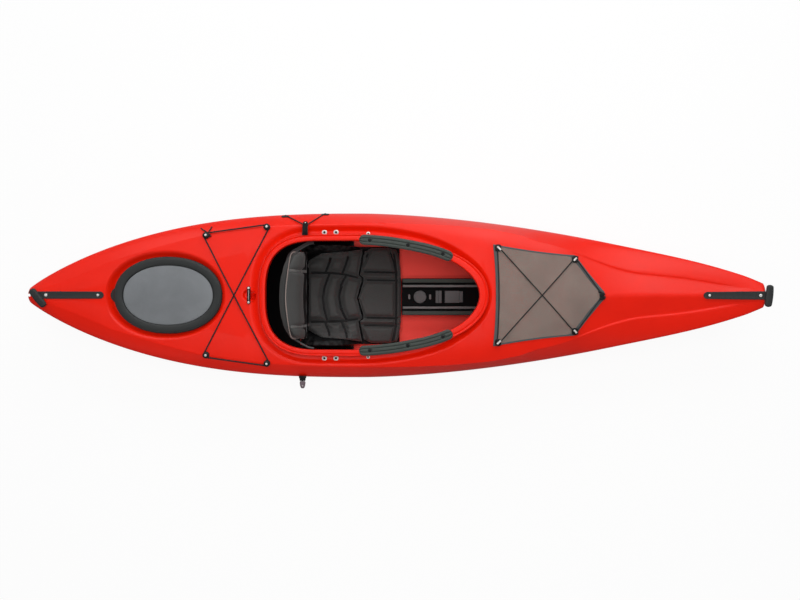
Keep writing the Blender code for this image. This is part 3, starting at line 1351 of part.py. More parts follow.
def build_skeg(deck, black, grey, steel, cord_black):
    pivot = skeg_pivot()
    half = SKEG_THICKNESS / 2
    blade = [(0.016, 0.002), (0.010, 0.015), (-0.020, 0.040), (-0.090, 0.062), (-SKEG_LENGTH, 0.052),
             (-SKEG_LENGTH + 0.006, 0.020), (-SKEG_LENGTH + 0.030, -0.012), (-0.080, -0.028), (-0.020, -0.024),
             (0.006, -0.015)]
    rings = []
    for y, inset in ((-half, 0.86), (-half * 0.55, 1.0), (half * 0.55, 1.0), (half, 0.86)):
        rings.append([pivot + Vector((mix(-0.06, x, inset), y, mix(0.012, z, inset))) for x, z in blade])
    skeg = loft("skeg_blade", rings, black)
    cut(skeg, cross_pin("bore", pivot, SKEG_PIN_RADIUS + SEAT_GAP, SKEG_SLOT))
    set_origin(pivot, skeg)
    cross_pin("skeg_pin", pivot, SKEG_PIN_RADIUS, SKEG_SLOT / 2 + SKEG_PIN_DEPTH, 16, steel)

    side_z = gunwale_height(HANDLE_X) + 0.018
    seat, normal = deck.side(HANDLE_X, side_z, -1.0)
    out = Vector((0, -1, 0))
    frame = Matrix((Vector((1, 0, 0)), Vector((0, 0, 1)), out)).transposed().to_4x4()
    place = Matrix.Translation(seat) @ frame
    stem, eye = 0.0030, 0.0030 + 0.0005
    outline = oval_outline((0, 0), 0.017, 0.011, 20, 2.6)
    rings = []
    for grow, height in ((0.0, -0.003), (0.0, 0.009), (-0.003, 0.012), (-0.007, 0.019)):
        rings.append([Vector((p.x + n.x * grow, p.y + n.y * grow, height)) for p, n in outline])
    cleat = loft("skeg_cleat", rings, black)
    cut(cleat, lathe("eye", [(0, 0.004), (eye, 0.004), (eye, 0.03), (0, 0.03)], None, 14))
    move(cleat, place)
    cut(cleat, hull_copy(Vector((0, -SEAT_GAP, 0))))
    shape = [(0.0085, 0.020), (0.0100, 0.027), (0.0125, 0.038), (0.0132, 0.045), (0.0105, 0.0510), (0.0045, 0.0545)]
    rings = []
    for width, height in shape:
        thick = 0.0045 + 0.0012 * smoothstep(0.020, 0.040, height)
        thick *= 1.0 if height < 0.050 else 0.7
        rings.append([Vector((width * math.cos(t), thick * math.sin(t), height))
                      for t in (2 * math.pi * k / 16 for k in range(16))])
    handle = loft("skeg_handle", rings, grey)
    join(handle, lathe("stem", [(0, 0.006), (stem, 0.006), (stem, 0.022), (0, 0.022)], None, 12))
    move(handle, place)
    set_origin(seat + out * 0.02, handle)

    inner = deck.inside(HANDLE_X, side_z, -1.0)[0]
    start = STERN_X + SKEG_SLOT_LENGTH + SLOT_WALL
    route = [(start + 0.0012, 0.0, CONDUIT_HEIGHT), (start + 0.04, -0.010, CONDUIT_HEIGHT)]
    # Along the hull's side: a share of the way, a number of gaps from the beam, a share of the rise
    for along, gaps, rise in ((0.118, 3.31, 0.0), (0.216, 1.99, 0.0), (0.382, 1.34, 0.0), (0.569, 1.01, 0.14),
                              (0.755, 0.96, 0.35), (0.879, 1.14, 0.60)):
        at = mix(start, HANDLE_X, along)
        route.append((at, gaps * CONDUIT_GAP - half_beam(at), mix(CONDUIT_HEIGHT, side_z, rise)))
    route += [(HANDLE_X - 0.040, inner.y + 0.034, side_z - 0.006), (HANDLE_X - 0.008, inner.y + 0.018, side_z)]
    points = smooth_route(route, 21) + [Vector((HANDLE_X, inner.y + 0.009, side_z)),
                                        Vector((HANDLE_X, inner.y + 2 * SEAT_GAP, side_z))]
    cord("skeg_conduit", points, 0.0025, cord_black)
    return points


def hull_copy(shift):
    """A copy of the hull moved off it by a gap, to trim what seats on its side."""
    copy = add_object("wall", bpy.data.objects["hull_shell"].data.copy(), None, 0)
    return move(copy, Matrix.Translation(shift))


# Paddle park on the port side

def build_paddle_park(deck, black, cord_black, rubber):
    x = PADDLE_X
    top = rim_top(x)
    lip = OPENING_HALF_WIDTH + RIM_WIDTH
    half = PADDLE_TAB_WIDTH / 2
    gap = SEAT_GAP + 0.0004
    under = top - RIM_RETURN - gap
    under_tab = [deck.deck(x + dx, lip + 0.003 * k)[0].z for k in range(5, 21) for dx in (-half, 0, half)]
    outer_z = max(under_tab) + 0.0048
    shape = [(lip - 0.004, top + gap + 0.003), (lip - 0.004, top + gap), (lip + 0.001, top + gap),
             (lip + gap, top - 0.002), (lip + gap, under), (lip - 0.003, under), (lip - 0.003, under - 0.004),
             (lip + 0.006, under - 0.004), (lip + 0.028, outer_z - 0.004), (lip + 0.057, outer_z - 0.004),
             (lip + 0.057, outer_z), (lip + 0.030, outer_z + 0.0004), (lip + 0.006, top + 0.002)]
    rings = [[Vector((x + dx, y, z)) for y, z in shape] for dx in (-half, half)]
    tab = loft("paddle_tab", rings, black)
    stud_at = Vector((x, lip + 0.047, outer_z))
    stud = lathe("stud", [(0, -0.004), (0.0055, -0.004), (0.0055, 0.0095), (0.0080, 0.0100), (0.0080, 0.0120),
                          (0.0040, 0.0138), (0, 0.0140)], None, 14)
    join(tab, move(stud, Matrix.Translation(stud_at)))

    eyes, ends = [], []
    for name, eye_x in (("paddle_eye_aft", PADEYE_AFT_X), ("paddle_eye_fore", PADEYE_FORE_X)):
        spot, normal = deck.side(eye_x, gunwale_height(eye_x) + 0.016, 1.0)
        outline = oval_outline((0, 0), 0.017, 0.0085, 16, 2.4)
        rings = []
        for grow, height in ((0.0, -0.003), (0.0, 0.007), (-0.002, 0.0105), (-0.005, 0.0120)):
            rings.append([Vector((p.x + n.x * grow, p.y + n.y * grow, height)) for p, n in outline])
        eye = loft(name, rings, rubber)
        frame = Matrix((Vector((1, 0, 0)), normal.cross(Vector((1, 0, 0))).normalized(), normal)).transposed()
        move(eye, Matrix.Translation(spot) @ frame.to_4x4())
        cut(eye, hull_copy(Vector((0, SEAT_GAP, 0))))
        eyes.append(eye)
        toward = Vector((x - eye_x, 0, 0)).normalized()
        ends.append(spot + normal * 0.0062 + toward * 0.012)

    def clear_height(spot):
        height = lacing.clear_height(spot)
        if abs(spot.x - x) < half + 0.005 and spot.y < lip + 0.062:
            height = max(height, outer_z + CORD_RADIUS + 0.0014)
        return height

    neck = (0.0055 + CORD_RADIUS + 0.0006) / math.cos(ARC_STEP / 2)
    height = stud_at.z + 0.0052
    centre = Vector((stud_at.x, stud_at.y))
    lacing = Lacing(deck, CORD_RADIUS + 0.0024, 0.02)
    legs = []
    for end, way in ((ends[0], 1), (ends[1], -1)):
        start = tangent_from(Vector((end.x, end.y)), centre, neck, way)
        run = [start.lerp(Vector((end.x, end.y)), k / 18) for k in range(19)]
        leg = taut_run(run, clear_height, height, end.z)
        bend = leg[-2].lerp(leg[-1], 0.5)
        legs.append([deck.held_off(p, CORD_RADIUS + 0.0020) for p in leg[:-1] + [bend, leg[-1]]])
    for eye, leg in zip(eyes, legs):
        inward = (leg[-1] - leg[-2]).normalized()
        cut(eye, cord_solid("tunnel", leg[-3:-1] + [leg[-1] + inward * SEAT_GAP], CORD_RADIUS + SEAT_GAP))
    arc = arc_points(centre, legs[0][0], legs[1][0], 1, neck)
    points = legs[0][::-1] + [Vector((p.x, p.y, height)) for p in arc[1:-1]] + legs[1]
    cord("paddle_bungee", points, CORD_RADIUS, cord_black)


def tangent_from(point, centre, radius, side):
    """The point of a circle where a line from point touches it."""
    away = point - centre
    angle = math.atan2(away.y, away.x) + side * math.acos(radius / away.length)
    return centre + Vector((math.cos(angle), math.sin(angle))) * radius


# Bulkhead and pillar

def build_inner_walls(foam, conduit_points):
    space = cavity(2 * SEAT_GAP)
    twin = add_object("space", space.data.copy(), None, 0)
    bulkhead = block("rear_bulkhead", (BULKHEAD_X, -0.5, -0.1), (BULKHEAD_X + BULKHEAD_THICKNESS, 0.5, 0.6), foam)
    combine(bulkhead, space, "INTERSECT")
    cut(bulkhead, cord_solid("drill", conduit_points, 0.0040))
    pillar = block("bow_pillar", (PILLAR_REAR_X, -PILLAR_HALF_WIDTH, -0.1),
                   (PILLAR_REAR_X + PILLAR_LENGTH, PILLAR_HALF_WIDTH, 0.6), foam)
    combine(pillar, twin, "INTERSECT")


def main():
    for part in list(bpy.data.objects):
        bpy.data.objects.remove(part)
    red = paint("hull_red", (225, 28, 14), 0.35)
    rubber = paint("black_rubber", (52, 54, 54), 0.75)
    hatch_grey = paint("hatch_grey", (118, 121, 123), 0.5)
    black = paint("black_plastic", (30, 30, 31), 0.55)
    grey = paint("grey_plastic", (92, 90, 90), 0.5)
    cord_black = paint("cord_black", (24, 24, 25), 0.8)
    steel = paint("stainless_steel", (205, 203, 198), 0.3, 1.0)
    fabric = paint("seat_fabric", (60, 60, 58), 0.9)
    pad_grey = paint("thigh_pad_grey", (70, 78, 77), 0.7)
    mesh_grey = paint("mesh_grey", (132, 119, 110), 0.8)
    foam = paint("grey_foam", (62, 63, 66), 0.95)

    hull = build_hull(red)
    deck = Surface(hull)
    build_hatch(rubber, hatch_grey)
    build_handle("stern_handle", deck, False, rubber, steel)
    build_handle("bow_handle", deck, True, rubber, steel)
    build_security_bar(deck, steel)
    build_stern_bungee(deck, black, cord_black)
    build_mesh_panel(deck, mesh_grey)
    build_bow_bungee(deck, black, cord_black)
    build_thigh_pad("thigh_pad_port", 1, pad_grey)
    build_thigh_pad("thigh_pad_starboard", -1, pad_grey)
    build_rim_washers(deck, steel)
    pan = build_seat_pan(black)
    build_seat_cushion(pan, fabric)
    build_leg_lifter(black, fabric)
    build_backrest(black, fabric)
    build_console(black, grey)
    for side, word in ((1, "port"), (-1, "starboard")):
        build_foot_brace(deck, side, word, grey, black)
    conduit_points = build_skeg(deck, black, grey, steel, cord_black)
    build_paddle_park(deck, black, cord_black, rubber)
    build_inner_walls(foam, conduit_points)


main()
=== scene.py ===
"""Crossover kayak: fine hull, deck fittings, seat and studio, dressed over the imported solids.

Metres. +X points to the bow, +Y to port, +Z up, as in the frame.
"""
import logging
import math
from dataclasses import dataclass, field
from enum import Enum
from typing import Callable, Sequence

import bmesh
import bpy
import numpy as np
from mathutils import Matrix, Vector
from mathutils.bvhtree import BVHTree
from mathutils.geometry import delaunay_2d_cdt


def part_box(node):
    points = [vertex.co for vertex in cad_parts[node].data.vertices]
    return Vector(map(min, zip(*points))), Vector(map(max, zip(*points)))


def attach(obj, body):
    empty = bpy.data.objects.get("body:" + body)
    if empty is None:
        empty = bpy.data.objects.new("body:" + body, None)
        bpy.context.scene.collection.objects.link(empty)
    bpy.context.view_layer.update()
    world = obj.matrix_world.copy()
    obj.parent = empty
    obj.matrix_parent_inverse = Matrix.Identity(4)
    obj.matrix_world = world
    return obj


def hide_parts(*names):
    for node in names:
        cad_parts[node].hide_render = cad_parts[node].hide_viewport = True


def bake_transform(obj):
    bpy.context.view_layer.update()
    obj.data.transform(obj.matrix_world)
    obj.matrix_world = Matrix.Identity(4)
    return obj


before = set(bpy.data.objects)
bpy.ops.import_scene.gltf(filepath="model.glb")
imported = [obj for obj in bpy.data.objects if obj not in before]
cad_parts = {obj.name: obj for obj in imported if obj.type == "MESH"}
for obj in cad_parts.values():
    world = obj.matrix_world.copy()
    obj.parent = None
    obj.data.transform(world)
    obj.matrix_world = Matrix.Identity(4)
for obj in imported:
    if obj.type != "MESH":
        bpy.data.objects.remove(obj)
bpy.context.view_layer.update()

log = logging.getLogger("kayak")

Point = tuple[float, float, float]
Ring = Sequence[Sequence[float]]
Form = tuple[list, list]
Socket = bpy.types.NodeSocket
Values = float | np.ndarray
Given = float | Sequence[float] | Socket
SIDES = (("port", 1), ("starboard", -1))


def smoothstep(low: float, high: float, value: Values) -> Values:
    """Smooth step from 0 at low to 1 at high, for numbers or arrays."""
    share = np.clip((value - low) / (high - low), 0.0, 1.0)
    return share * share * (3.0 - 2.0 * share)


def mix(first: Values, second: Values, share: Values) -> Values:
    """Blend of two values, for numbers or arrays."""
    return first + (second - first) * share


def linear(rgb: Sequence[float], share: float = 1.0) -> list[float]:
    """Turns an 8-bit sRGB colour, made lighter or darker by a share, into linear RGBA."""
    values = [channel / 255.0 for channel in rgb]
    plain = [v / 12.92 if v <= 0.04045 else ((v + 0.055) / 1.055) ** 2.4 for v in values]
    return [min(1.0, v * share) for v in plain] + [1.0]


# Node trees

class Bench:
    """Lays out the nodes of one tree and joins them."""

    def __init__(self, tree: bpy.types.NodeTree) -> None:
        """Starts on an empty tree."""
        self.tree = tree
        tree.nodes.clear()

    def node(self, kind: str, settings: dict | None = None, **inputs: Given) -> bpy.types.Node:
        """Adds a node.

        Args:
            kind: node type, without the ShaderNode prefix.
            settings: values of the node's own properties.
            inputs: what goes to its inputs, named as in feed.

        Returns:
            The new node.
        """
        made = self.tree.nodes.new(kind if kind.startswith("Node") else "ShaderNode" + kind)
        place = len(self.tree.nodes)
        made.location = (200 * (place % 8), -220 * (place // 8))
        for key, value in (settings or {}).items():
            setattr(made, key, value)
        self.feed(made, **inputs)
        return made

    def feed(self, made: bpy.types.Node, **inputs: Given) -> None:
        """Links a node's inputs to sockets, or sets their values.

        Args:
            made: the node.
            inputs: values or sockets; a name's underscores stand for spaces, and a name such as i0
                picks an input by its place.
        """
        for key, value in inputs.items():
            place = int(key[1:]) if key[0] == "i" and key[1:].isdigit() else key.replace("_", " ")
            if isinstance(value, Socket):
                self.tree.links.new(value, made.inputs[place])
            else:
                made.inputs[place].default_value = value

    def math(self, operation: str, first: Given, second: Given = 0.5, third: Given = 0.5) -> Socket:
        """A math node's output."""
        return self.node("Math", {"operation": operation}, i0=first, i1=second, i2=third).outputs[0]

    def rise(self, value: Socket, low: float, high: float, kind: str = "SMOOTHSTEP") -> Socket:
        """A step of the value from 0 at low to 1 at high, smooth or LINEAR."""
        return self.node("MapRange", {"interpolation_type": kind}, i0=value, i1=low, i2=high).outputs[0]

    def blend(self, factor: Socket, first: Given, second: Given) -> Socket:
        """Mix of two colours."""
        return self.node("Mix", {"data_type": "RGBA"}, i0=factor, i6=first, i7=second).outputs[2]

    def noise(self, vector: Socket, **inputs: Given) -> Socket:
        """A noise texture's value."""
        return self.node("TexNoise", Vector=vector, **inputs).outputs[0]

    def parts(self, vector: Socket) -> Sequence[Socket]:
        """The three numbers of a vector."""
        return self.node("SeparateXYZ", Vector=vector).outputs

    def bump(self, height: Socket, depth: float, strength: float = 1.0) -> Socket:
        """The normal that a height gives; the depth is in metres."""
        return self.node("Bump", Height=height, Distance=depth, Strength=strength).outputs[0]

    def group(self, tree: bpy.types.NodeTree, vector: Socket, **values: Given) -> Socket:
        """Places a shared group and gives its output."""
        return self.node("Group", {"node_tree": tree}, Vector=vector, **values).outputs[0]


def node_group(name: str, number: str, default: float, result: str, fill: Callable) -> bpy.types.NodeTree:
    """Makes a shader group that reads a vector and one number.

    Args:
        name: the group's name.
        number: the number's name.
        default: the number where none is given.
        result: the output's name.
        fill: called with the bench, the vector and the number; returns the output's socket.

    Returns:
        The group.
    """
    tree = bpy.data.node_groups.new(name, "ShaderNodeTree")
    tree.interface.new_socket("Vector", in_out="INPUT", socket_type="NodeSocketVector")
    tree.interface.new_socket(number, in_out="INPUT", socket_type="NodeSocketFloat").default_value = default
    tree.interface.new_socket(result, in_out="OUTPUT", socket_type="NodeSocketFloat")
    bench = Bench(tree)
    given = bench.node("NodeGroupInput").outputs
    bench.node("NodeGroupOutput", i0=fill(bench, given[0], given[1]))
    return tree


class Effects:
    """The shader groups that the finishes share."""

    def __init__(self) -> None:
        """Builds each group once."""
        self.grain = node_group("moulded_grain", "Scale", 200.0, "Height", self.fill_grain)
        self.mottle = node_group("mottling", "Scale", 6.0, "Mask", self.fill_mottle)
        self.wear = node_group("edge_wear", "Amount", 0.3, "Mask", self.fill_wear)
        self.weave = node_group("plain_weave", "Threads", 1500.0, "Height", self.fill_weave)
        self.braid = node_group("cord_braid", "Pitch", 400.0, "Height", self.fill_braid)

    @staticmethod
    def fill_grain(bench: Bench, vector: Socket, scale: Socket) -> Socket:
        """Fine pebbled grain of a rotomoulded or injection-moulded skin."""
        fine = bench.noise(vector, Scale=scale, Detail=3.0, Roughness=0.55)
        broad = bench.noise(vector, Scale=bench.math("MULTIPLY", scale, 0.22), Detail=1.0)
        return bench.math("MULTIPLY_ADD", broad, 0.6, fine)

    @staticmethod
    def fill_mottle(bench: Bench, vector: Socket, scale: Socket) -> Socket:
        """Broad uneven patches, from 0 to 1."""
        cloud = bench.noise(vector, Scale=scale, Detail=4.0, Roughness=0.6, Distortion=0.3)
        return bench.rise(cloud, 0.32, 0.68, "LINEAR")

    @staticmethod
    def fill_wear(bench: Bench, vector: Socket, amount: Socket) -> Socket:
        """Rubbed edges, broken up by noise."""
        sharp = bench.rise(bench.node("NewGeometry").outputs["Pointiness"], 0.52, 0.62, "LINEAR")
        broken = bench.rise(bench.noise(vector, Scale=55.0, Detail=4.0), 0.38, 0.62, "LINEAR")
        return bench.math("MULTIPLY", bench.math("MULTIPLY", sharp, broken), amount)

    @staticmethod
    def fill_weave(bench: Bench, vector: Socket, threads: Socket) -> Socket:
        """Over-and-under threads in two directions."""
        waves = [bench.math("SINE", bench.math("MULTIPLY", part, threads)) for part in bench.parts(vector)]
        crossed = bench.math("MULTIPLY", waves[0], bench.math("ADD", waves[1], waves[2]))
        return bench.math("MULTIPLY_ADD", crossed, 0.5, 0.5)

    @staticmethod
    def fill_braid(bench: Bench, vector: Socket, pitch: Socket) -> Socket:
        """Diagonal strands of a braided sheath; the vector holds metres along and round the cord."""
        along, around = [bench.math("MULTIPLY", part, pitch) for part in bench.parts(vector)[:2]]
        strands = [bench.math("SINE", bench.math("MULTIPLY", bench.math(way, along, around), math.tau))
                   for way in ("ADD", "SUBTRACT")]
        return bench.math("MULTIPLY_ADD", bench.math("MAXIMUM", *strands), 0.5, 0.5)


class Dress:
    """Makes and keeps the materials, and builds each piece in its finish on its body."""

    def __init__(self) -> None:
        """Builds the shared groups."""
        self.effects = Effects()
        self.made: dict[str, bpy.types.Material] = {}

    def start(self, name: str) -> tuple[Bench, bpy.types.Node, Socket]:
        """Opens a material, and gives its bench, its shader and the object's coordinates."""
        self.made[name] = bpy.data.materials.new(name)
        self.made[name].use_nodes = True
        bench = Bench(self.made[name].node_tree)
        shader = bench.node("BsdfPrincipled")
        bench.node("OutputMaterial", Surface=shader.outputs[0])
        return bench, shader, bench.node("TexCoord").outputs["Object"]

    def piece(self, name: str, form: Form, finish: str, *nodes: str, sharp: float = 40.0, body: str = "hull",
              slot: str = "") -> bpy.types.Object:
        """Builds a piece.

        Args:
            name: the piece's name.
            form: its vertices and faces.
            finish: the name of its material.
            nodes: the CAD nodes it stands for.
            sharp: angle in degrees above which an edge stays sharp.
            body: the body it rides on.
            slot: its material slot, unless that has the finish's name; not used, as settle ignores it.

        Returns:
            The new object.
        """
        return settle(build(name, form, self.made[finish], sharp), body, slot or finish, *nodes)

    def cord(self, name: str, points: Sequence[Vector], radius: float, finish: str = "cord_black", *nodes: str,
             sides: int = 14, closed: bool = False, body: str = "hull", slot: str = "") -> bpy.types.Object:
        """Builds a round cord or rod, with the options of piece and rope."""
        return settle(rope(name, points, radius, self.made[finish], sides, closed), body, slot or finish, *nodes)


@dataclass(frozen=True)
class Moulded:
    """A moulded plastic or rubber skin: grain, patches of tone and rubbed edges."""

    name: str
    colour: tuple[int, int, int]
    roughness: float = 0.5
    spread: float = 0.06
    grain: float = 260.0
    depth: float = 0.00006
    tone: float = 0.10
    wear: float = 0.25
    specular: float = 0.5
    patches: float = 7.0
    rubbed_grey: float = 0.5
    rubbed_share: float = 0.35
    rubbed_rough: float = 0.15

    def make(self, dress: Dress) -> None:
        """Builds the material."""
        bench, shader, where = dress.start(self.name)
        patch = bench.group(dress.effects.mottle, where, Scale=self.patches)
        worn = bench.group(dress.effects.wear, where, Amount=self.wear)
        toned = bench.blend(patch, linear(self.colour, 1.0 - self.tone), linear(self.colour, 1.0 + self.tone))
        rubbed = [mix(c, self.rubbed_grey, self.rubbed_share) for c in linear(self.colour)[:3]] + [1.0]
        rough = bench.math("MULTIPLY_ADD", patch, self.spread, self.roughness - self.spread / 2)
        grain = bench.group(dress.effects.grain, where, Scale=self.grain)
        bench.feed(shader, Base_Color=bench.blend(worn, toned, rubbed), Specular_IOR_Level=self.specular,
                   Roughness=bench.math("ADD", rough, bench.math("MULTIPLY", worn, self.rubbed_rough)),
                   Normal=bench.bump(grain, self.depth))


@dataclass(frozen=True)
class Steel:
    """Brushed stainless steel."""

    name: str
    colour: tuple[int, int, int] = (234, 232, 228)
    roughness: float = 0.28
    spread: float = 0.10
    dark: float = 0.82
    metallic: float = 0.4
    patches: float = 60.0
    brushing: Point = (60.0, 900.0, 900.0)
    depth: float = 0.00002

    def make(self, dress: Dress) -> None:
        """Builds the material."""
        bench, shader, where = dress.start(self.name)
        patch = bench.group(dress.effects.mottle, where, Scale=self.patches)
        stretched = bench.node("Mapping", Vector=where, Scale=self.brushing).outputs[0]
        bench.feed(shader, Base_Color=bench.blend(patch, linear(self.colour, self.dark), linear(self.colour)),
                   Metallic=self.metallic, Roughness=bench.math("MULTIPLY_ADD", patch, self.spread, self.roughness),
                   Normal=bench.bump(bench.noise(stretched, Scale=1.0, Detail=2.0), self.depth))


@dataclass(frozen=True)
class Woven:
    """Coated seat cloth: a fine weave, soft patches and a little sheen."""

    name: str
    colour: tuple[int, int, int]
    threads: float = 2600.0
    roughness: float = 0.62
    spread: float = 0.10
    tone: float = 0.14
    sheen: float = 0.25
    patches: float = 14.0
    creases: float = 38.0
    depth: float = 0.00016

    def make(self, dress: Dress) -> None:
        """Builds the material."""
        bench, shader, where = dress.start(self.name)
        weave = bench.group(dress.effects.weave, where, Threads=self.threads)
        patch = bench.group(dress.effects.mottle, where, Scale=self.patches)
        tone = bench.math("MULTIPLY_ADD", weave, 0.45, bench.math("MULTIPLY", patch, 0.55))
        height = bench.math("MULTIPLY_ADD", bench.noise(where, Scale=self.creases, Detail=3.0), 2.0, weave)
        colour = bench.blend(tone, linear(self.colour, 1.0 - self.tone), linear(self.colour, 1.0 + self.tone))
        bench.feed(shader, Base_Color=colour, Sheen_Weight=self.sheen, Sheen_Roughness=0.5,
                   Roughness=bench.math("MULTIPLY_ADD", patch, self.spread, self.roughness),
                   Normal=bench.bump(height, self.depth, 0.6))


@dataclass(frozen=True)
class Braided:
    """A braided cord's sheath."""

    name: str
    colour: tuple[int, int, int]
    fleck: tuple[int, int, int]
    pitch: float = 340.0
    roughness: float = 0.72
    depth: float = 0.0003

    def make(self, dress: Dress) -> None:
        """Builds the material."""
        bench, shader, _ = dress.start(self.name)
        strands = bench.group(dress.effects.braid, bench.node("UVMap").outputs[0], Pitch=self.pitch)
        bench.feed(shader, Base_Color=bench.blend(strands, linear(self.colour), linear(self.fleck)),
                   Roughness=self.roughness, Normal=bench.bump(strands, self.depth))


@dataclass(frozen=True)
class Netting:
    """See-through net: round holes in staggered rows."""

    name: str
    colour: tuple[int, int, int]
    pitch: float = 0.0032
    dark: float = 0.80
    patches: float = 9.0
    roughness: float = 0.75
    sheen: float = 0.3
    depth: float = 0.0004

    def make(self, dress: Dress) -> None:
        """Builds the material."""
        bench, shader, where = dress.start(self.name)
        waves = [bench.math("COSINE", bench.math("MULTIPLY", part, math.tau / self.pitch))
                 for part in bench.parts(where)[:2]]
        thread = bench.rise(bench.math("ADD", *waves), 0.95, 0.55, "LINEAR")
        patch = bench.group(dress.effects.mottle, where, Scale=self.patches)
        bench.feed(shader, Base_Color=bench.blend(patch, linear(self.colour, self.dark), linear(self.colour)),
                   Alpha=thread, Roughness=self.roughness, Normal=bench.bump(thread, self.depth),
                   Sheen_Weight=self.sheen)


@dataclass(frozen=True)
class Foam:
    """Closed-cell foam."""

    name: str
    colour: tuple[int, int, int]
    cells: float = 420.0
    dark: float = 0.6
    roughness: float = 0.9
    depth: float = 0.0006

    def make(self, dress: Dress) -> None:
        """Builds the material."""
        bench, shader, where = dress.start(self.name)
        cells = bench.node("TexVoronoi", Vector=where, Scale=self.cells).outputs[0]
        bench.feed(shader, Base_Color=bench.blend(cells, linear(self.colour, self.dark), linear(self.colour)),
                   Roughness=self.roughness, Normal=bench.bump(cells, self.depth))


FINISHES = (
    Moulded("hull_red", (233, 27, 4), roughness=0.34, spread=0.05, grain=150.0, depth=0.00008, tone=0.03,
            wear=0.0, specular=0.30),
    Moulded("black_rubber", (33, 35, 35), roughness=0.62, grain=700.0, depth=0.00010),
    Moulded("hatch_grey", (110, 113, 116), roughness=0.42, grain=500.0),
    Moulded("black_plastic", (18, 18, 19), roughness=0.45, grain=500.0, specular=0.25),
    Moulded("grey_plastic", (82, 79, 80), roughness=0.45, grain=450.0),
    Moulded("thigh_pad_grey", (57, 63, 59), roughness=0.66, grain=650.0, depth=0.00012),
    Steel("stainless_steel"),
    Woven("seat_fabric", (57, 57, 56), sheen=0.15),
    # Lighter, pinker copy of the hull's red for the inner skin: painted light, for the overhead light and its
    # reflection haze inside the cockpit.
    Moulded("hull_inside", (255, 80, 71), roughness=0.55, spread=0.05, grain=150.0, depth=0.00008, tone=0.04,
            wear=0.0, specular=0.35),
    Moulded("pan_black", (9, 9, 10), roughness=0.6, specular=0.15),
    Moulded("rail_grey", (106, 102, 102), roughness=0.45),
    Moulded("pull_grey", (98, 84, 91)),
    Woven("webbing_grey", (74, 77, 78), threads=1800.0, roughness=0.7),
    Woven("webbing_black", (44, 44, 45), threads=1900.0, roughness=0.6),
    # Near-black cloth for the strips in the seat's seam grooves and for the backrest's lower front: painted shade.
    Woven("painted_shade_black", (13, 13, 14), threads=2000.0, sheen=0.0),
    Woven("strap_grey", (92, 92, 90), threads=1900.0, roughness=0.6),
    Woven("cover_black", (40, 40, 39), threads=2300.0, roughness=0.65),
    Woven("piping_grey", (140, 124, 118), threads=3000.0, roughness=0.6),
    Braided("cord_black", (8, 8, 9), (26, 26, 28)),
    Netting("mesh_grey", (139, 130, 121)),
    Foam("grey_foam", (62, 63, 66)),
)


# Meshes

def link_mesh(name: str, mesh: bpy.types.Mesh, material: bpy.types.Material, sharp: float) -> bpy.types.Object:
    """Puts a mesh in the scene, smooth-shaded but for edges sharper than sharp degrees."""
    piece = bpy.data.objects.new(name, mesh)
    bpy.context.scene.collection.objects.link(piece)
    mesh.materials.append(material)
    mesh.shade_smooth()
    mesh.set_sharp_from_angle(angle=math.radians(sharp))
    return piece


def build(name: str, form: Form, material: bpy.types.Material, sharp: float = 35.0) -> bpy.types.Object:
    """Makes an object from vertices in metres and faces, which are turned outwards."""
    mesh = bpy.data.meshes.new(name)
    mesh.from_pydata([tuple(v) for v in form[0]], [], form[1])
    work = bmesh.new()
    work.from_mesh(mesh)
    bmesh.ops.recalc_face_normals(work, faces=work.faces)
    work.to_mesh(mesh)
    work.free()
    return link_mesh(name, mesh, material, sharp)


def skin(rings: Sequence[Ring], closed_rows: bool = False, caps: bool = True) -> Form:
    """Vertices and faces of a loft through rings of equal length."""
    count = len(rings[0])
    vertices = [tuple(point) for ring in rings for point in ring]
    faces = []
    for row in range(len(rings) if closed_rows else len(rings) - 1):
        after = (row + 1) % len(rings)
        for i in range(count):
            j = (i + 1) % count
            faces.append((row * count + i, row * count + j, after * count + j, after * count + i))
    if caps and not closed_rows:
        faces += [tuple(range(count)), tuple(range((len(rings) - 1) * count, len(rings) * count))]
    return vertices, faces


def bent(value: float, power: float) -> float:
    """A power of a number with the number's sign."""
    return math.copysign(abs(value) ** power, value)


def section(count: int, across: float = 1.0, up: float = 1.0) -> list[tuple[float, float]]:
    """Points of a circle of radius 1, squared off by powers below 1."""
    turns = [math.tau * k / count for k in range(count)]
    return [(bent(math.cos(turn), across), bent(math.sin(turn), up)) for turn in turns]


def turned(profile: Sequence[tuple[float, float]], segments: int = 40) -> Form:
    """A solid of revolution about Z from (radius, height) pairs whose ends lie on the axis."""
    rings = [[(radius * a, radius * b, z) for a, b in section(segments)] for radius, z in profile[1:-1]]
    vertices, faces = skin(rings, caps=False)
    low, high = len(vertices), len(vertices) + 1
    vertices += [(0.0, 0.0, profile[0][1]), (0.0, 0.0, profile[-1][1])]
    last = (len(rings) - 1) * segments
    for i in range(segments):
        j = (i + 1) % segments
        faces += [(low, j, i), (high, last + i, last + j)]
    return vertices, faces


def placed(form: Form, matrix: Matrix) -> Form:
    """A form taken through a matrix."""
    return [tuple(matrix @ Vector(v)) for v in form[0]], form[1]


def joined(*forms: Form) -> Form:
    """Several forms as one."""
    vertices, faces = [], []
    for points, polygons in forms:
        start = len(vertices)
        vertices += [tuple(p) for p in points]
        faces += [tuple(start + i for i in polygon) for polygon in polygons]
    return vertices, faces


def spline(points: Sequence, step: float) -> list[Vector]:
    """A smooth curve through points, read about every step metres."""
    knots = [Vector(p) for p in points]
    knots = [knots[0] * 2 - knots[1]] + knots + [knots[-1] * 2 - knots[-2]]
    curve = []
    for a, b, c, d in zip(knots, knots[1:], knots[2:], knots[3:]):
        pieces = max(1, round((c - b).length / step))
        for k in range(pieces):
            t = k / pieces
            curve.append(0.5 * (2 * b + (c - a) * t + (2 * a - 5 * b + 4 * c - d) * t ** 2
                                + (3 * b - a - 3 * c + d) * t ** 3))
    return curve + [knots[-2]]


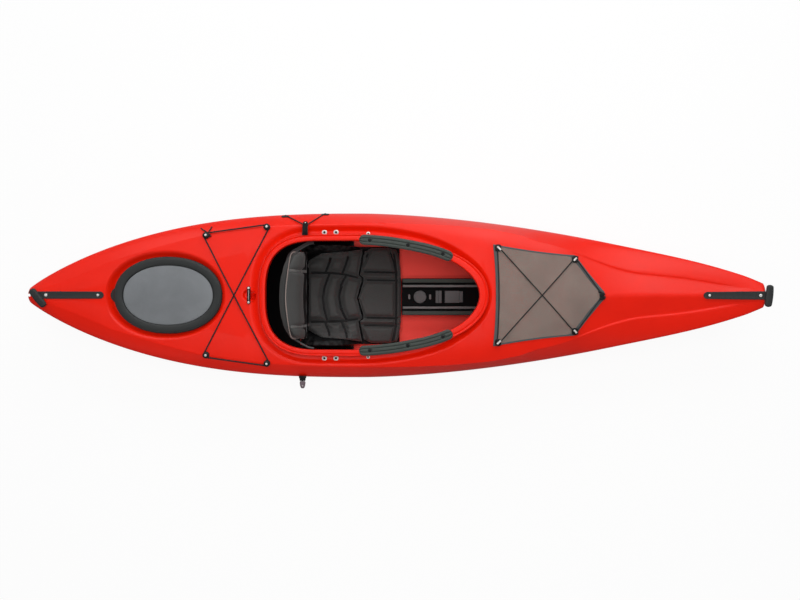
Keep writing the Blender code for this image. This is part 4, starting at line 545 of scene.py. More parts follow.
def ways(points: Sequence[Vector], closed: bool = False) -> list[Vector]:
    """How a line runs past each of its points."""
    last = len(points) - 1
    if closed:
        return [points[(i + 1) % (last + 1)] - points[i - 1] for i in range(last + 1)]
    return [points[min(i + 1, last)] - points[max(i - 1, 0)] for i in range(last + 1)]


def rope(name: str, points: Sequence[Vector], radius: float, material: bpy.types.Material, sides: int = 14,
         closed: bool = False) -> bpy.types.Object:
    """A round cord, its UV map in metres along and round it.

    Args:
        name: the piece's name.
        points: the centre line.
        radius: half its diameter.
        material: its finish.
        sides: corners of its section.
        closed: join the last point to the first.

    Returns:
        The new object.
    """
    points = [Vector(p) for p in points]
    along = [way.normalized() for way in ways(points, closed)]
    side = along[0].orthogonal().normalized()
    rings, lengths, total = [], [], 0.0
    for i, (point, way) in enumerate(zip(points, along)):
        side = (side - way * side.dot(way)).normalized()
        other = way.cross(side)
        total += (point - points[i - 1]).length if i else 0.0
        lengths.append(total)
        rings.append([point + (side * a + other * b) * radius for a, b in section(sides)])
    piece = build(name, skin(rings, closed_rows=closed), material, 60.0)
    uv = piece.data.uv_layers.new(name="UVMap")
    for polygon in piece.data.polygons:
        found = [divmod(piece.data.loops[k].vertex_index, sides) for k in polygon.loop_indices]
        rows, corners = zip(*found)
        wraps = max(rows) - min(rows) > len(points) // 2
        seam = max(corners) - min(corners) > sides // 2
        for k, (row, corner) in zip(polygon.loop_indices, found):
            turn = (corner + (sides if seam and corner == 0 else 0)) / sides
            uv.data[k].uv = (lengths[row] + (total if wraps and row == 0 else 0.0), math.tau * radius * turn)
    return piece


def sheet_form(points: Sequence, rows: int, width: int) -> Form:
    """Closes a grid of upper points and the same grid of lower points into one thin form."""
    shift = rows * width
    faces = []
    for r in range(rows - 1):
        for c in range(width - 1):
            a, b = r * width + c, (r + 1) * width + c
            faces += [(a, b, b + 1, a + 1), (shift + a, shift + a + 1, shift + b + 1, shift + b)]
    edge = list(range(width)) + [r * width + width - 1 for r in range(1, rows)]
    edge += [(rows - 1) * width + c for c in range(width - 2, -1, -1)] + [r * width for r in range(rows - 2, 0, -1)]
    return list(points), faces + [(a, b, shift + b, shift + a) for a, b in zip(edge, edge[1:] + edge[:1])]


def ribbon(points: Sequence[Vector], half: float, height: float) -> Form:
    """A flat round-edged strip that lies level along a line."""
    rings = []
    for point, way in zip(points, ways(points)):
        side = Vector((-way.y, way.x, 0.0)).normalized()
        rings.append([point + side * (half * a) + Vector((0, 0, height * b)) for a, b in section(10)])
    return skin(rings)


def settle(piece: bpy.types.Object, body: str, slot: str, *nodes: str) -> bpy.types.Object:
    """Rides a piece on its body, hides the CAD nodes it stands for, and logs it."""
    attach(piece, body)
    if nodes:
        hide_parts(*nodes)
    log.info("%s on %s", piece.name, body)
    return piece


# Hull

@dataclass(frozen=True)
class HullLines:
    """The lines of the hull as functions of the station x; arrays go in and out."""

    bow: float = 1.597
    half: float = 0.361
    widest: float = -0.143
    bow_half: float = 0.0415
    stern_half: float = 0.0235
    tip_length: float = 0.011
    bow_fill: float = 0.0092
    stem_pinch: float = 0.58
    opening_half: float = 0.2367
    rear_centre: float = -0.321
    rear_length: float = 0.2415
    front_centre: float = -0.192
    front_length: float = 0.5530
    rim_stand: float = 0.040
    crease: tuple = ((-1.597, 0.34), (-1.52, 0.40), (-1.24, 0.68), (-1.06, 0.75), (-0.85, 0.82), (-0.60, 0.85),
                     (-0.10, 0.86), (0.25, 0.885), (0.42, 0.89), (0.54, 0.86), (0.62, 0.80))
    crest: tuple = ((-1.597, 0.90), (-1.24, 0.86), (-0.85, 0.80), (-0.5, 0.86), (0.0, 0.87), (0.40, 0.82),
                    (0.62, 0.78), (0.765, 0.72), (1.00, 0.62), (1.30, 0.56), (1.50, 0.60), (1.597, 0.84))
    crown_power: tuple = ((-1.597, 2.2), (-0.85, 2.8), (-0.5, 5.0), (0.3, 5.0), (0.6, 2.6), (0.9, 1.15),
                          (1.3, 0.98), (1.597, 1.4))

    def tip(self, x: Values) -> Values:
        """Share of full width near the two ends, for their rounding."""
        inside = np.clip((np.abs(x) - (self.bow - self.tip_length)) / self.tip_length, 0.0, 1.0)
        return np.sqrt(1.0 - (0.97 * inside) ** 2)

    def beam(self, x: Values) -> Values:
        """Half of the width."""
        stern = x < self.widest
        along = np.where(stern, (self.widest - x) / (self.widest + self.bow),
                         (x - self.widest) / (self.bow - self.widest))
        power = np.where(stern, 2.6, 1.67)
        end = np.where(stern, self.stern_half, self.bow_half)
        share = (1.0 - np.clip(along, 0.0, 1.0) ** power) ** 0.89
        fill = self.bow_fill * smoothstep(0.95, 1.42, x) * (1.0 - 0.4 * smoothstep(1.50, self.bow, x))
        return (end + (self.half - end) * share + fill) * self.tip(x)

    def stem(self, x: Values, rise: Values) -> Values:
        """Share of its width that the hull keeps below the gunwale, where it narrows to the bow's stem."""
        return 1.0 - self.stem_pinch * smoothstep(1.18, self.bow, x) * (1.0 - rise) ** 0.8

    def gunwale(self, x: Values) -> Values:
        """Height of the widest line."""
        return 0.215 + np.where(x > 0, 0.110, 0.060) * (x / self.bow) ** 2

    def keel(self, x: Values) -> Values:
        """Height of the keel line."""
        bow = 0.085 * np.clip((x - 0.70) / (self.bow - 0.70), 0, 1) ** 2
        stern = 0.070 * np.clip((-0.85 - x) / (self.bow - 0.85), 0, 1) ** 2
        stem = 0.130 * np.clip((x - self.bow + 0.45) / 0.45, 0, 1) ** 2.4
        heel = 0.055 * np.clip((0.45 - self.bow - x) / 0.45, 0, 1) ** 2.4
        return bow + stern + stem + heel

    def crown(self, x: Values) -> Values:
        """Rise of the deck over the gunwale."""
        rear, front, peak = -0.651, 0.298, 0.384
        fore = 0.020 + 0.133 * (np.clip(self.bow - x, 0, None) / (self.bow - peak)) ** 1.1
        aft = 0.020 + 0.042 * (np.clip(x + self.bow, 0, None) / (rear + self.bow)) ** 0.6
        middle = mix(0.062, 0.153, smoothstep(rear, front, x))
        return np.where(x > peak, fore, np.where(x < rear, aft, middle))

    def crease_share(self, x: Values) -> Values:
        """Where the deck's shoulder crease lies, as a share of the half-beam."""
        places, shares = zip(*self.crease)
        fore = mix(mix(0.80, 0.47, smoothstep(0.62, 1.08, x)), 0.36, smoothstep(1.22, self.bow, x))
        return np.where(x > 0.62, fore, np.interp(x, places, shares))

    def deck(self, x: Values, y: Values) -> Values:
        """Height of the bare deck: a crowned middle, a crease and a sloping side."""
        beam = self.beam(x)
        share = np.clip(np.abs(y) / beam, 0.0, 1.0)
        edge = self.crease_share(x)
        crest = np.interp(x, *zip(*self.crest))
        power = np.interp(x, *zip(*self.crown_power))
        inside = 1.0 - (1.0 - crest) * np.clip(share / edge, 0, 1) ** power
        across = np.clip((share - edge) / (1.0 - edge), 0.0, 1.0)
        outside = crest * (1.0 - across) ** 0.64
        crown = self.crown(x) * (0.5 + 0.5 * self.tip(x))
        run = 0.010 / beam
        sunken = smoothstep(edge + run / 2, edge - run / 2, share)
        depth = 0.005 * smoothstep(0.70, 0.86, x) * (1.0 - smoothstep(1.40, 1.52, x))
        return self.gunwale(x) + crown * np.where(share < edge, inside, outside) - depth * sunken

    def bottom(self, x: Values, rise: Values) -> Values:
        """Height below the gunwale; rise runs from 0 on the flat to 1 at the gunwale."""
        gunwale = self.gunwale(x)
        keel = mix(gunwale, self.keel(x), 0.6 + 0.4 * self.tip(x))
        return keel + (gunwale - keel) * rise

    def rim_top(self, x: Values) -> Values:
        """Height of the coaming's lip."""
        return 0.310 + 0.095 * smoothstep(-0.5, 0.5, x)

    def rim_width(self, x: Values) -> Values:
        """Width of the coaming's lip, from the opening's edge outwards."""
        front = smoothstep(0.10, self.front_centre + self.front_length, x)
        return 0.0270 + 0.0118 * front

    def opening(self, count: int) -> tuple[np.ndarray, np.ndarray]:
        """Evenly spaced points of the cockpit opening's edge, and their outward normals."""
        turns = np.linspace(-math.pi / 2, math.pi / 2, 1200)
        front = np.stack([self.front_centre + self.front_length * np.cos(turns),
                          self.opening_half * np.sin(turns)], 1)
        turns = np.linspace(math.pi / 2, 1.5 * math.pi, 1200)
        cosine, sine = -np.cos(turns), np.sin(turns)
        rear = np.stack([self.rear_centre - self.rear_length * np.clip(cosine, 0, 1) ** 0.7,
                         self.opening_half * np.sign(sine) * np.abs(sine) ** 0.7], 1)
        return spaced(np.concatenate([front, rear]), count)


def spaced(points: np.ndarray, count: int) -> tuple[np.ndarray, np.ndarray]:
    """Reads a closed line at even steps, with outward normals; the line runs counter-clockwise."""
    loop = np.concatenate([points, points[:1]])
    steps = np.linalg.norm(np.diff(loop, axis=0), axis=1)
    keep = np.concatenate([[True], steps > 1e-9])
    loop = loop[keep]
    along = np.concatenate([[0.0], np.cumsum(np.linalg.norm(np.diff(loop, axis=0), axis=1))])
    places = np.linspace(0.0, along[-1], count, endpoint=False)
    spots = np.stack([np.interp(places, along, loop[:, k]) for k in (0, 1)], 1)
    tangent = np.roll(spots, -1, 0) - np.roll(spots, 1, 0)
    normal = np.stack([tangent[:, 1], -tangent[:, 0]], 1)
    return spots, normal / np.linalg.norm(normal, axis=1)[:, None]


def oval(centre: float, half_length: float, half_width: float, power: float, count: int) -> tuple:
    """Evenly spaced points of a superellipse on the centre line, and their outward normals."""
    turns = np.linspace(0.0, math.tau, 2400, endpoint=False)
    cosine, sine = np.cos(turns), np.sin(turns)
    line = np.stack([centre + np.sign(cosine) * np.abs(cosine) ** (2 / power) * half_length,
                     np.sign(sine) * np.abs(sine) ** (2 / power) * half_width], 1)
    return spaced(line, count)


def within(points: np.ndarray, loop: np.ndarray) -> np.ndarray:
    """Which points lie inside a closed line, by the even-odd rule."""
    x, y = points[:, :1], points[:, 1:2]
    ax, ay = loop[:, 0][None, :], loop[:, 1][None, :]
    bx, by = np.roll(loop[:, 0], -1)[None, :], np.roll(loop[:, 1], -1)[None, :]
    crosses = (ay > y) != (by > y)
    at = ax + (y - ay) * (bx - ax) / np.where(by == ay, 1e-12, by - ay)
    return (np.sum(crosses & (x < at), axis=1) % 2) == 1


def nearest(points: np.ndarray, loop: np.ndarray) -> np.ndarray:
    """Distance from each point to the nearest point of a line."""
    best = np.full(len(points), 1e9)
    for start in range(0, len(points), 4000):
        gap = points[start:start + 4000, None, :] - loop[None, :, :]
        best[start:start + 4000] = np.sqrt((gap ** 2).sum(2)).min(1)
    return best


def level(line: np.ndarray, height: Values) -> np.ndarray:
    """Points of a line in plan, all at one height or each at its own."""
    return np.column_stack([line, np.zeros(len(line)) + height])


@dataclass
class Hull:
    """The one-piece hull and deck: fine skin, trough, recesses, coaming, collar and skeg slot."""

    lines: HullLines = field(default_factory=HullLines)
    stations: int = 230
    wall: float = 0.006
    loop_points: int = 300
    hatch_points: int = 160
    hatch_floor: float = 0.262
    hatch_x: float = -0.987
    collar_inset: float = 0.0195
    recess: tuple = (-0.9975, 0.2445, 0.1780, 2.12)
    recess_foot: float = -0.0115
    recess_wall: float = 0.0275
    trough_reach: float = 0.0682
    trough_narrower: float = 0.0095
    trough_wall: float = 0.0265
    trough_wall_aft: float = 0.0080
    pocket_x: float = -0.638
    pocket_depth: float = 0.013
    pocket_radii: tuple = (0.006, 0.012, 0.0155, 0.0175, 0.0195, 0.0215, 0.0235, 0.0255, 0.030)
    pocket_clear: float = 0.0360
    grid_ends: tuple = (-1.588, 1.590)
    grid_step: float = 0.0095
    grid_width: float = 0.0105
    border_gap: float = 0.0045
    crease_gap: float = 0.0050
    loop_gap: float = 0.0040
    crease_shifts: tuple = (-0.0060, -0.0030, 0.0, 0.0030, 0.0060)
    flat_share: float = 0.58
    bilge_share: float = 0.42
    bilge_power: float = 0.8
    slot_half: float = 0.006
    slot_front: float = -1.375
    slot_roof: float = 0.236
    split_x: float = -1.581
    # Rows of the coaming: distance out from the opening, share of the lip's width added to it, height over the lip
    coaming: tuple = (
        (0.0082, 0, -0.0392), (0.0068, 0, -0.0370), (0.0062, 0, -0.0330), (0.0062, 0, -0.0180),
        (0.0066, 0, -0.0110), (0.0085, 0, -0.0080), (0.0120, 0, -0.0070), (-0.0090, 1, -0.0070),
        (-0.0058, 1, -0.0082), (-0.0044, 1, -0.0112), (-0.0034, 1, -0.0134), (-0.0018, 1, -0.0140),
        (-0.0005, 1, -0.0128), (0.0, 1, -0.0095), (-0.0001, 1, -0.0055), (-0.0010, 0.99, -0.0028),
        (-0.0020, 0.97, -0.0010), (-0.0010, 0.89, 0.0), (0.0, 0.82, -0.0004), (0.0014, 0.74, -0.0016),
        (0.0, 0.74, -0.0032), (-0.0012, 0.73, -0.0036), (-0.0026, 0.74, -0.0030), (-0.0030, 0.72, -0.0012),
        (-0.0035, 0.66, -0.0003), (0.0, 0.45, 0.0), (0.0035, 0.10, -0.0002), (0.0018, 0.02, -0.0006),
        (0.0002, 0.0, -0.0018), (-0.0007, 0.0, -0.0036), (-0.0010, 0.0, -0.0070), (-0.0010, 0.0, -0.0250),
        (-0.0010, 0.0, -0.0455))
    # Rows of the hatch collar: distance out from the hatchway's edge, height over the recess floor
    collar: tuple = ((0.0050, 0.004), (0.0050, 0.0145), (0.0042, 0.0160), (-0.0002, 0.0160), (-0.0010, 0.0150),
                     (-0.0010, -0.0058))

    def station_list(self) -> np.ndarray:
        """Stations from stern to bow, closest together at the tips."""
        half = self.lines.bow - self.lines.tip_length
        spread = np.linspace(-1.0, 1.0, self.stations)
        middle = half * (0.72 * spread + 0.28 * np.sin(math.pi / 2 * spread))
        ends = half + self.lines.tip_length * np.sin(np.linspace(0, math.pi / 2, 9))[1:]
        return np.concatenate([-ends[::-1], middle, ends])

    def seam_share(self, x: Values) -> Values:
        """Where the deck's mesh meets the side's, as a share of the half-beam."""
        return np.maximum(0.885, self.lines.crease_share(x) + 0.045)

    def on_deck(self, spots: np.ndarray) -> np.ndarray:
        """Places in plan, raised to the deck."""
        return level(spots, self.lines.deck(spots[:, 0], spots[:, 1]))

    def bank(self, line: np.ndarray, normal: np.ndarray, inner: Values, width: Values,
             floor: Values) -> list[np.ndarray]:
        """Rows of points up a trough's outer wall.

        Args:
            line: the line that the trough follows.
            normal: its outward normals.
            inner: distance of the wall's foot from the line.
            width: how far out the wall runs.
            floor: height of the foot.

        Returns:
            The rows, the last one on the deck.
        """
        rows = []
        for share in np.linspace(0.0, 1.0, 9):
            spot = line + normal * (np.zeros(len(line)) + inner + width * share)[:, None]
            rise = mix(share, smoothstep(0.0, 1.0, share), 0.55)
            rows.append(level(spot, mix(floor, self.on_deck(spot)[:, 2], rise)))
        return rows

    def trough_loops(self) -> list[np.ndarray]:
        """Rows of points across the trough, from the coaming's foot to the deck."""
        line, normal = self.lines.opening(self.loop_points)
        x = line[:, 0]
        outer = self.trough_reach - self.trough_narrower * smoothstep(0.12, 0.34, x)
        inner = outer - self.trough_wall - self.trough_wall_aft * smoothstep(-0.40, -0.52, x)
        floor = self.lines.rim_top(x) - self.lines.rim_stand
        loops = [level(line + normal * mix(0.010, inner, share)[:, None], floor)
                 for share in (0.0, 0.15, 0.38, 0.62, 0.85)]
        loops += self.bank(line, normal, inner, outer - inner, floor)
        return loops + [self.on_deck(line + normal * (outer + extra)[:, None]) for extra in (0.004, 0.009)]

    def collar_line(self) -> tuple[np.ndarray, np.ndarray]:
        """The hatchway's edge."""
        return oval(self.hatch_x, 0.2350 - self.collar_inset, 0.1673 - self.collar_inset, 2.12, self.hatch_points)

    def recess_loops(self) -> list[np.ndarray]:
        """Rows of points from the hatch collar's foot over the recess floor and up its wall."""
        collar, way = self.collar_line()
        foot = collar + way * 0.005
        base, out = oval(*self.recess, self.hatch_points)
        loops = [level(mix(foot, base + out * self.recess_foot, share), self.hatch_floor)
                 for share in (0.0, 0.3, 0.65)]
        loops += self.bank(base, out, self.recess_foot, self.recess_wall, self.hatch_floor)
        return loops + [self.on_deck(base + out * 0.021)]

    def pocket_loops(self) -> list[np.ndarray]:
        """Rows of points of the round pocket under the security bar."""
        loops = []
        turns = np.linspace(0, math.tau, 44, endpoint=False)
        for radius in self.pocket_radii:
            loop = self.on_deck(np.column_stack([self.pocket_x + radius * np.cos(turns), radius * np.sin(turns)]))
            loop[:, 2] -= self.pocket_depth * smoothstep(0.0250, 0.0160, radius)
            loops.append(loop)
        return loops

    def crease_rows(self) -> np.ndarray:
        """Points that follow the two shoulder creases."""
        x = np.arange(-1.55, 1.56, 0.007)
        beam = self.lines.beam(x)
        rows = []
        for shift in self.crease_shifts:
            y = self.lines.crease_share(x) * beam + shift
            rows += [np.column_stack([x, y]), np.column_stack([x, -y])]
        spots = np.concatenate(rows)
        edge = self.seam_share(spots[:, 0]) * self.lines.beam(spots[:, 0])
        return spots[np.abs(spots[:, 1]) < edge - 0.0035]

    def deck_mesh(self, stations: np.ndarray) -> tuple[np.ndarray, np.ndarray, list[int], list[int]]:
        """Triangulates the deck seen from above.

        Args:
            stations: the ring stations, whose seam points edge the deck.

        Returns:
            Vertices, triangles, and the vertex numbers of the coaming's foot and the hatchway's edge.
        """
        lines = self.lines
        seam = self.seam_share(stations) * lines.beam(stations)
        port = np.column_stack([stations, seam])
        border = np.concatenate([port[::-1], np.column_stack([stations, -seam])])
        trough, recess, creases = self.trough_loops(), self.recess_loops(), self.crease_rows()
        grid = []
        for x in np.arange(*self.grid_ends, self.grid_step):
            reach = float(self.seam_share(x) * lines.beam(x)) - 0.004
            count = max(1, round(reach / self.grid_width))
            stagger = 0.5 * (len(grid) % 2)
            grid.append(np.column_stack([np.full(2 * count + 1, x),
                                         reach * (np.arange(-count, count + 1) + stagger * 0.999) / count]))
        free = np.concatenate(grid)
        free = free[np.abs(free[:, 1]) < (self.seam_share(free[:, 0]) * lines.beam(free[:, 0]) - 0.003)]
        free = free[nearest(free, border) > self.border_gap]
        free = free[nearest(free, creases) > self.crease_gap]
        free = np.concatenate([creases, free])
        for loop in (trough[-1][:, :2], recess[-1][:, :2]):
            free = free[~within(free, loop) & (nearest(free, loop) > self.loop_gap)]
        free = free[np.hypot(free[:, 0] - self.pocket_x, free[:, 1]) > self.pocket_clear]
        rows = [self.on_deck(border)] + trough + recess + self.pocket_loops()
        points = np.concatenate(rows + [self.on_deck(free)])
        edges, start = [], 0
        for row in rows:
            count = len(row)
            edges += [(start + i, start + (i + 1) % count) for i in range(count)]
            start += count
        flat = [Vector((float(x), float(y))) for x, y in points[:, :2]]
        found = delaunay_2d_cdt(flat, edges, [], 0, 1e-7, True)
        spots = np.array([tuple(v) for v in found[0]])
        heights = np.zeros(len(spots))
        for index, sources in enumerate(found[3]):
            heights[index] = points[sources[0], 2] if sources else lines.deck(*spots[index])
        triangles = np.array([t for t in found[2] if len(t) == 3])
        middle = spots[triangles].mean(1)
        foot, hatchway = trough[0][:, :2], recess[0][:, :2]
        inside = np.abs(middle[:, 1]) <= self.seam_share(middle[:, 0]) * lines.beam(middle[:, 0]) + 1e-6
        inside &= ~within(middle, foot) & ~within(middle, hatchway)
        triangles = triangles[inside]
        place = {source: index for index, sources in enumerate(found[3]) for source in sources}
        first_foot = len(border)
        first_hatch = first_foot + len(trough) * self.loop_points
        foot_ids = [place[first_foot + i] for i in range(self.loop_points)]
        hatch_ids = [place[first_hatch + i] for i in range(self.hatch_points)]
        return np.column_stack([spots, heights]), triangles, foot_ids, hatch_ids

    def side_rings(self, stations: np.ndarray) -> list[list[Point]]:
        """Rings from the port seam round the bottom to the starboard seam."""
        lines = self.lines
        rings = []
        for x in stations:
            beam, seam = float(lines.beam(x)), float(self.seam_share(x))
            shares = 1.0 - (1.0 - seam) * (1.0 - np.linspace(0.0, 1.0, 12)) ** 2.2
            upper = [(s * beam, float(lines.deck(x, s * beam))) for s in shares]
            upper[-1] = (beam, float(lines.gunwale(x)))
            lower = []
            for turn in np.linspace(0.0, math.pi / 2, 17)[1:]:
                bilge, rise = math.cos(turn) ** self.bilge_power, 1.0 - math.sin(turn) ** self.bilge_power
                width = (self.flat_share + self.bilge_share * bilge) * beam * float(lines.stem(x, rise))
                lower.append((width, float(lines.bottom(x, rise))))
            flat = [(self.flat_share * beam * float(lines.stem(x, 0.0)) * (1 - k / 6), float(lines.bottom(x, 0.0)))
                    for k in range(1, 7)]
            half = upper + lower + flat
            rings.append([(x, y, z) for y, z in half] + [(x, -y, z) for y, z in reversed(half[:-1])])
        return rings

    def coaming_rows(self) -> list[np.ndarray]:
        """Rows of points over the coaming, from its outer foot to the bottom of its inner wall."""
        line, normal = self.lines.opening(self.loop_points)
        top, width = self.lines.rim_top(line[:, 0]), self.lines.rim_width(line[:, 0])
        return [level(line + normal * (shift + width * share)[:, None], top + height)
                for shift, share, height in self.coaming]

    def collar_rows(self) -> list[np.ndarray]:
        """Rows of points over the hatch collar, from its foot outside to its bottom inside."""
        line, normal = self.collar_line()
        return [level(line + normal * out, self.hatch_floor + up) for out, up in self.collar]

    def make_mesh(self) -> bpy.types.Mesh:
        """Joins the deck, sides, inner skin, coaming and collar into one closed mesh."""
        stations = self.station_list()
        deck, triangles, foot, hatchway = self.deck_mesh(stations)
        work = bmesh.new()
        made = [work.verts.new(p) for p in deck]
        for a, b, c in triangles:
            flip = np.cross(deck[b, :2] - deck[a, :2], deck[c, :2] - deck[a, :2]) < 0
            work.faces.new((made[a], made[c], made[b]) if flip else (made[a], made[b], made[c]))
        rows = [[work.verts.new(p) for p in ring] for ring in self.side_rings(stations)]
        for row, after in zip(rows, rows[1:]):
            for i in range(len(row) - 1):
                work.faces.new((row[i], after[i], after[i + 1], row[i + 1]))
        work.faces.new(rows[0])
        work.faces.new(list(reversed(rows[-1])))
        work.verts.index_update()
        foot_verts, hatch_verts = [made[i] for i in foot], [made[i] for i in hatchway]
        bmesh.ops.remove_doubles(work, verts=[v for v in work.verts if v.is_boundary], dist=2e-6)
        loose = [v for v in work.verts if not v.link_faces]
        bmesh.ops.delete(work, geom=loose, context="VERTS")
        work.normal_update()
        inner = {}
        for vert in list(work.verts):
            thin = min(self.wall, 0.30 * float(self.lines.beam(vert.co.x)))
            inner[vert] = work.verts.new(vert.co - vert.normal * thin)
        # The inner skin's faces take material 1, the lighter inside red, which is painted light.
        for face in list(work.faces):
            work.faces.new([inner[v] for v in reversed(face.verts)]).material_index = 1
        for loop, strips in ((foot_verts, self.coaming_rows()), (hatch_verts, self.collar_rows())):
            before = loop
            for strip in strips:
                row = [work.verts.new(p) for p in strip]
                self.bridge(work, before, row)
                before = row
            self.bridge(work, before, [inner[v] for v in loop])
        bmesh.ops.triangulate(work, faces=[f for f in work.faces if len(f.verts) > 4])
        bmesh.ops.recalc_face_normals(work, faces=work.faces)
        open_edges = sum(1 for e in work.edges if len(e.link_faces) != 2)
        log.info("hull skin: %d faces, %d open edges", len(work.faces), open_edges)
        mesh = bpy.data.meshes.new("hull")
        work.to_mesh(mesh)
        work.free()
        return mesh

    @staticmethod
    def bridge(work: bmesh.types.BMesh, before: list, after: list) -> None:
        """Joins two closed rows of vertices with quads."""
        count = len(before)
        for i in range(count):
            j = (i + 1) % count
            work.faces.new((before[i], before[j], after[j], after[i]))

    def slot_solids(self, material: bpy.types.Material) -> tuple[bpy.types.Object, list[bpy.types.Object]]:
        """The skeg slot's liner, and what is cut away through it."""
        lines, half = self.lines, self.slot_half
        xs = np.linspace(-1.560, self.slot_front + 0.006, 16)
        rings = []
        for x in xs:
            low = float(lines.bottom(x, 0.0)) + 0.0035
            rings.append([(x, half + 0.006, low), (x, half + 0.006, self.slot_roof + 0.006),
                          (x, -half - 0.006, self.slot_roof + 0.006), (x, -half - 0.006, low)])
        liner = build("slot_liner", skin(rings), material)
        tools = []
        for name, low, high in (("slot", (-1.65, -half, -0.05), (self.slot_front, half, self.slot_roof)),
                                ("split", (-1.65, -half, 0.10), (self.split_x, half, 0.50))):
            corners = [(x, y, z) for x in (low[0], high[0]) for y in (low[1], high[1]) for z in (low[2], high[2])]
            faces = [(0, 1, 3, 2), (4, 6, 7, 5), (0, 4, 5, 1), (2, 3, 7, 6), (0, 2, 6, 4), (1, 5, 7, 3)]
            tools.append(build(name, (corners, faces), material))
        return liner, tools

    def make(self, dress: Dress) -> bpy.types.Object:
        """Builds the hull piece, which stands for the CAD shell."""
        red = dress.made["hull_red"]
        mesh = self.make_mesh()
        piece = link_mesh("hull", mesh, red, 35.0)
        # Material 1, for the inner skin, is the lighter inside red: painted light.
        mesh.materials.append(dress.made["hull_inside"])
        liner, tools = self.slot_solids(red)
        for tool, operation in [(liner, "UNION")] + [(tool, "DIFFERENCE") for tool in tools]:
            carve(piece, tool, operation)
        settle(piece, "hull", "hull_red", "hull_shell")
        return piece


def carve(piece: bpy.types.Object, tool: bpy.types.Object, operation: str) -> None:
    """Joins or cuts a piece with a tool, and removes the tool."""
    modifier = piece.modifiers.new("carve", "BOOLEAN")
    modifier.object = tool
    modifier.operation = operation
    modifier.solver = "MANIFOLD"
    materials = list(piece.data.materials)
    bpy.context.view_layer.update()
    mesh = bpy.data.meshes.new_from_object(piece.evaluated_get(bpy.context.evaluated_depsgraph_get()))
    piece.modifiers.clear()
    piece.data = mesh
    faces = np.zeros(len(mesh.polygons), dtype=np.int32)
    mesh.polygons.foreach_get("material_index", faces)
    mesh.materials.clear()
    for material in materials:
        mesh.materials.append(material)
    mesh.polygons.foreach_set("material_index", np.minimum(faces, len(materials) - 1))
    mesh.shade_smooth()
    mesh.set_sharp_from_angle(angle=math.radians(35.0))
    bpy.data.objects.remove(tool)


def tree_of(mesh: bpy.types.Mesh) -> BVHTree:
    """A search tree of a mesh's faces."""
    work = bmesh.new()
    work.from_mesh(mesh)
    tree = BVHTree.FromBMesh(work)
    work.free()
    return tree


class DeckSurface:
    """Finds where fittings seat on the fine hull."""

    def __init__(self, hull: bpy.types.Object) -> None:
        """Reads the hull's mesh."""
        self.tree = tree_of(hull.data)

    def above(self, x: float, y: float) -> tuple[Vector, Vector]:
        """The highest point of the hull at a place, and its normal."""
        point, normal, _, _ = self.tree.ray_cast(Vector((x, y, 1.0)), Vector((0, 0, -1)))
        return point, normal

    def beside(self, x: float, z: float, side: float) -> tuple[Vector, Vector]:
        """The hull's outside at a station and a height, on one side."""
        point, normal, _, _ = self.tree.ray_cast(Vector((x, side, z)), Vector((0, -side, 0)))
        return point, normal


# Fittings

def rounded(half_x: float, half_y: float, radius: float) -> np.ndarray:
    """Points of a rectangle with round corners, counter-clockwise."""
    corner = np.linspace(0.0, math.pi / 2, 16)
    points = []
    for turn, side_x, side_y in ((0, 1, 1), (1, -1, 1), (2, -1, -1), (3, 1, -1)):
        angle = corner + turn * math.pi / 2
        points.append(np.column_stack([side_x * (half_x - radius) + radius * np.cos(angle),
                                       side_y * (half_y - radius) + radius * np.sin(angle)]))
    return np.concatenate(points)


def slab(line: np.ndarray, layers: Sequence[tuple[float, float]]) -> Form:
    """A plate from its outline; layers give pairs of inset and height, from the bottom up."""
    tangent = np.roll(line, -1, 0) - np.roll(line, 1, 0)
    normal = np.stack([tangent[:, 1], -tangent[:, 0]], 1)
    normal /= np.linalg.norm(normal, axis=1)[:, None]
    return skin([level(line - normal * inset, height) for inset, height in layers])


def round_edge(height: float, radius: float, base: float = 0.0) -> list[tuple[float, float]]:
    """Layers of a plate whose upper edge is rounded."""
    turns = np.linspace(0.0, math.pi / 2, 6)
    return [(0.0005, base), (0.0, base + 0.0006)] + [
        (radius * (1.0 - math.cos(t)), base + height - radius * (1.0 - math.sin(t))) for t in turns]


def block(half_x: float, half_y: float, corner: float, height: float, edge: float) -> Form:
    """A block with round corners and a rounded upper edge."""
    return slab(rounded(half_x, half_y, corner), round_edge(height, edge))


def seat_at(point: Vector, normal: Vector) -> Matrix:
    """A frame that stands on a surface: Z along its normal, X towards the bow."""
    up = Vector(normal).normalized()
    ahead = Vector((1.0, 0.0, 0.0))
    ahead = (ahead - up * ahead.dot(up)).normalized()
    return Matrix.Translation(point) @ Matrix((ahead, up.cross(ahead), up)).transposed().to_4x4()


def lifted(place: Matrix, height: float) -> Matrix:
    """A frame moved along its own Z."""
    return place @ Matrix.Translation((0, 0, height))


def socket_screw(radius: float, height: float, bore: float) -> Form:
    """A domed screw head with a round socket."""
    return turned([(0, 0), (radius, 0), (radius, 0.35 * height), (0.9 * radius, 0.72 * height),
                   (0.66 * radius, 0.95 * height), (bore * radius, height), (bore * 0.94 * radius, 0.4 * height),
                   (0, 0.38 * height)], 32)


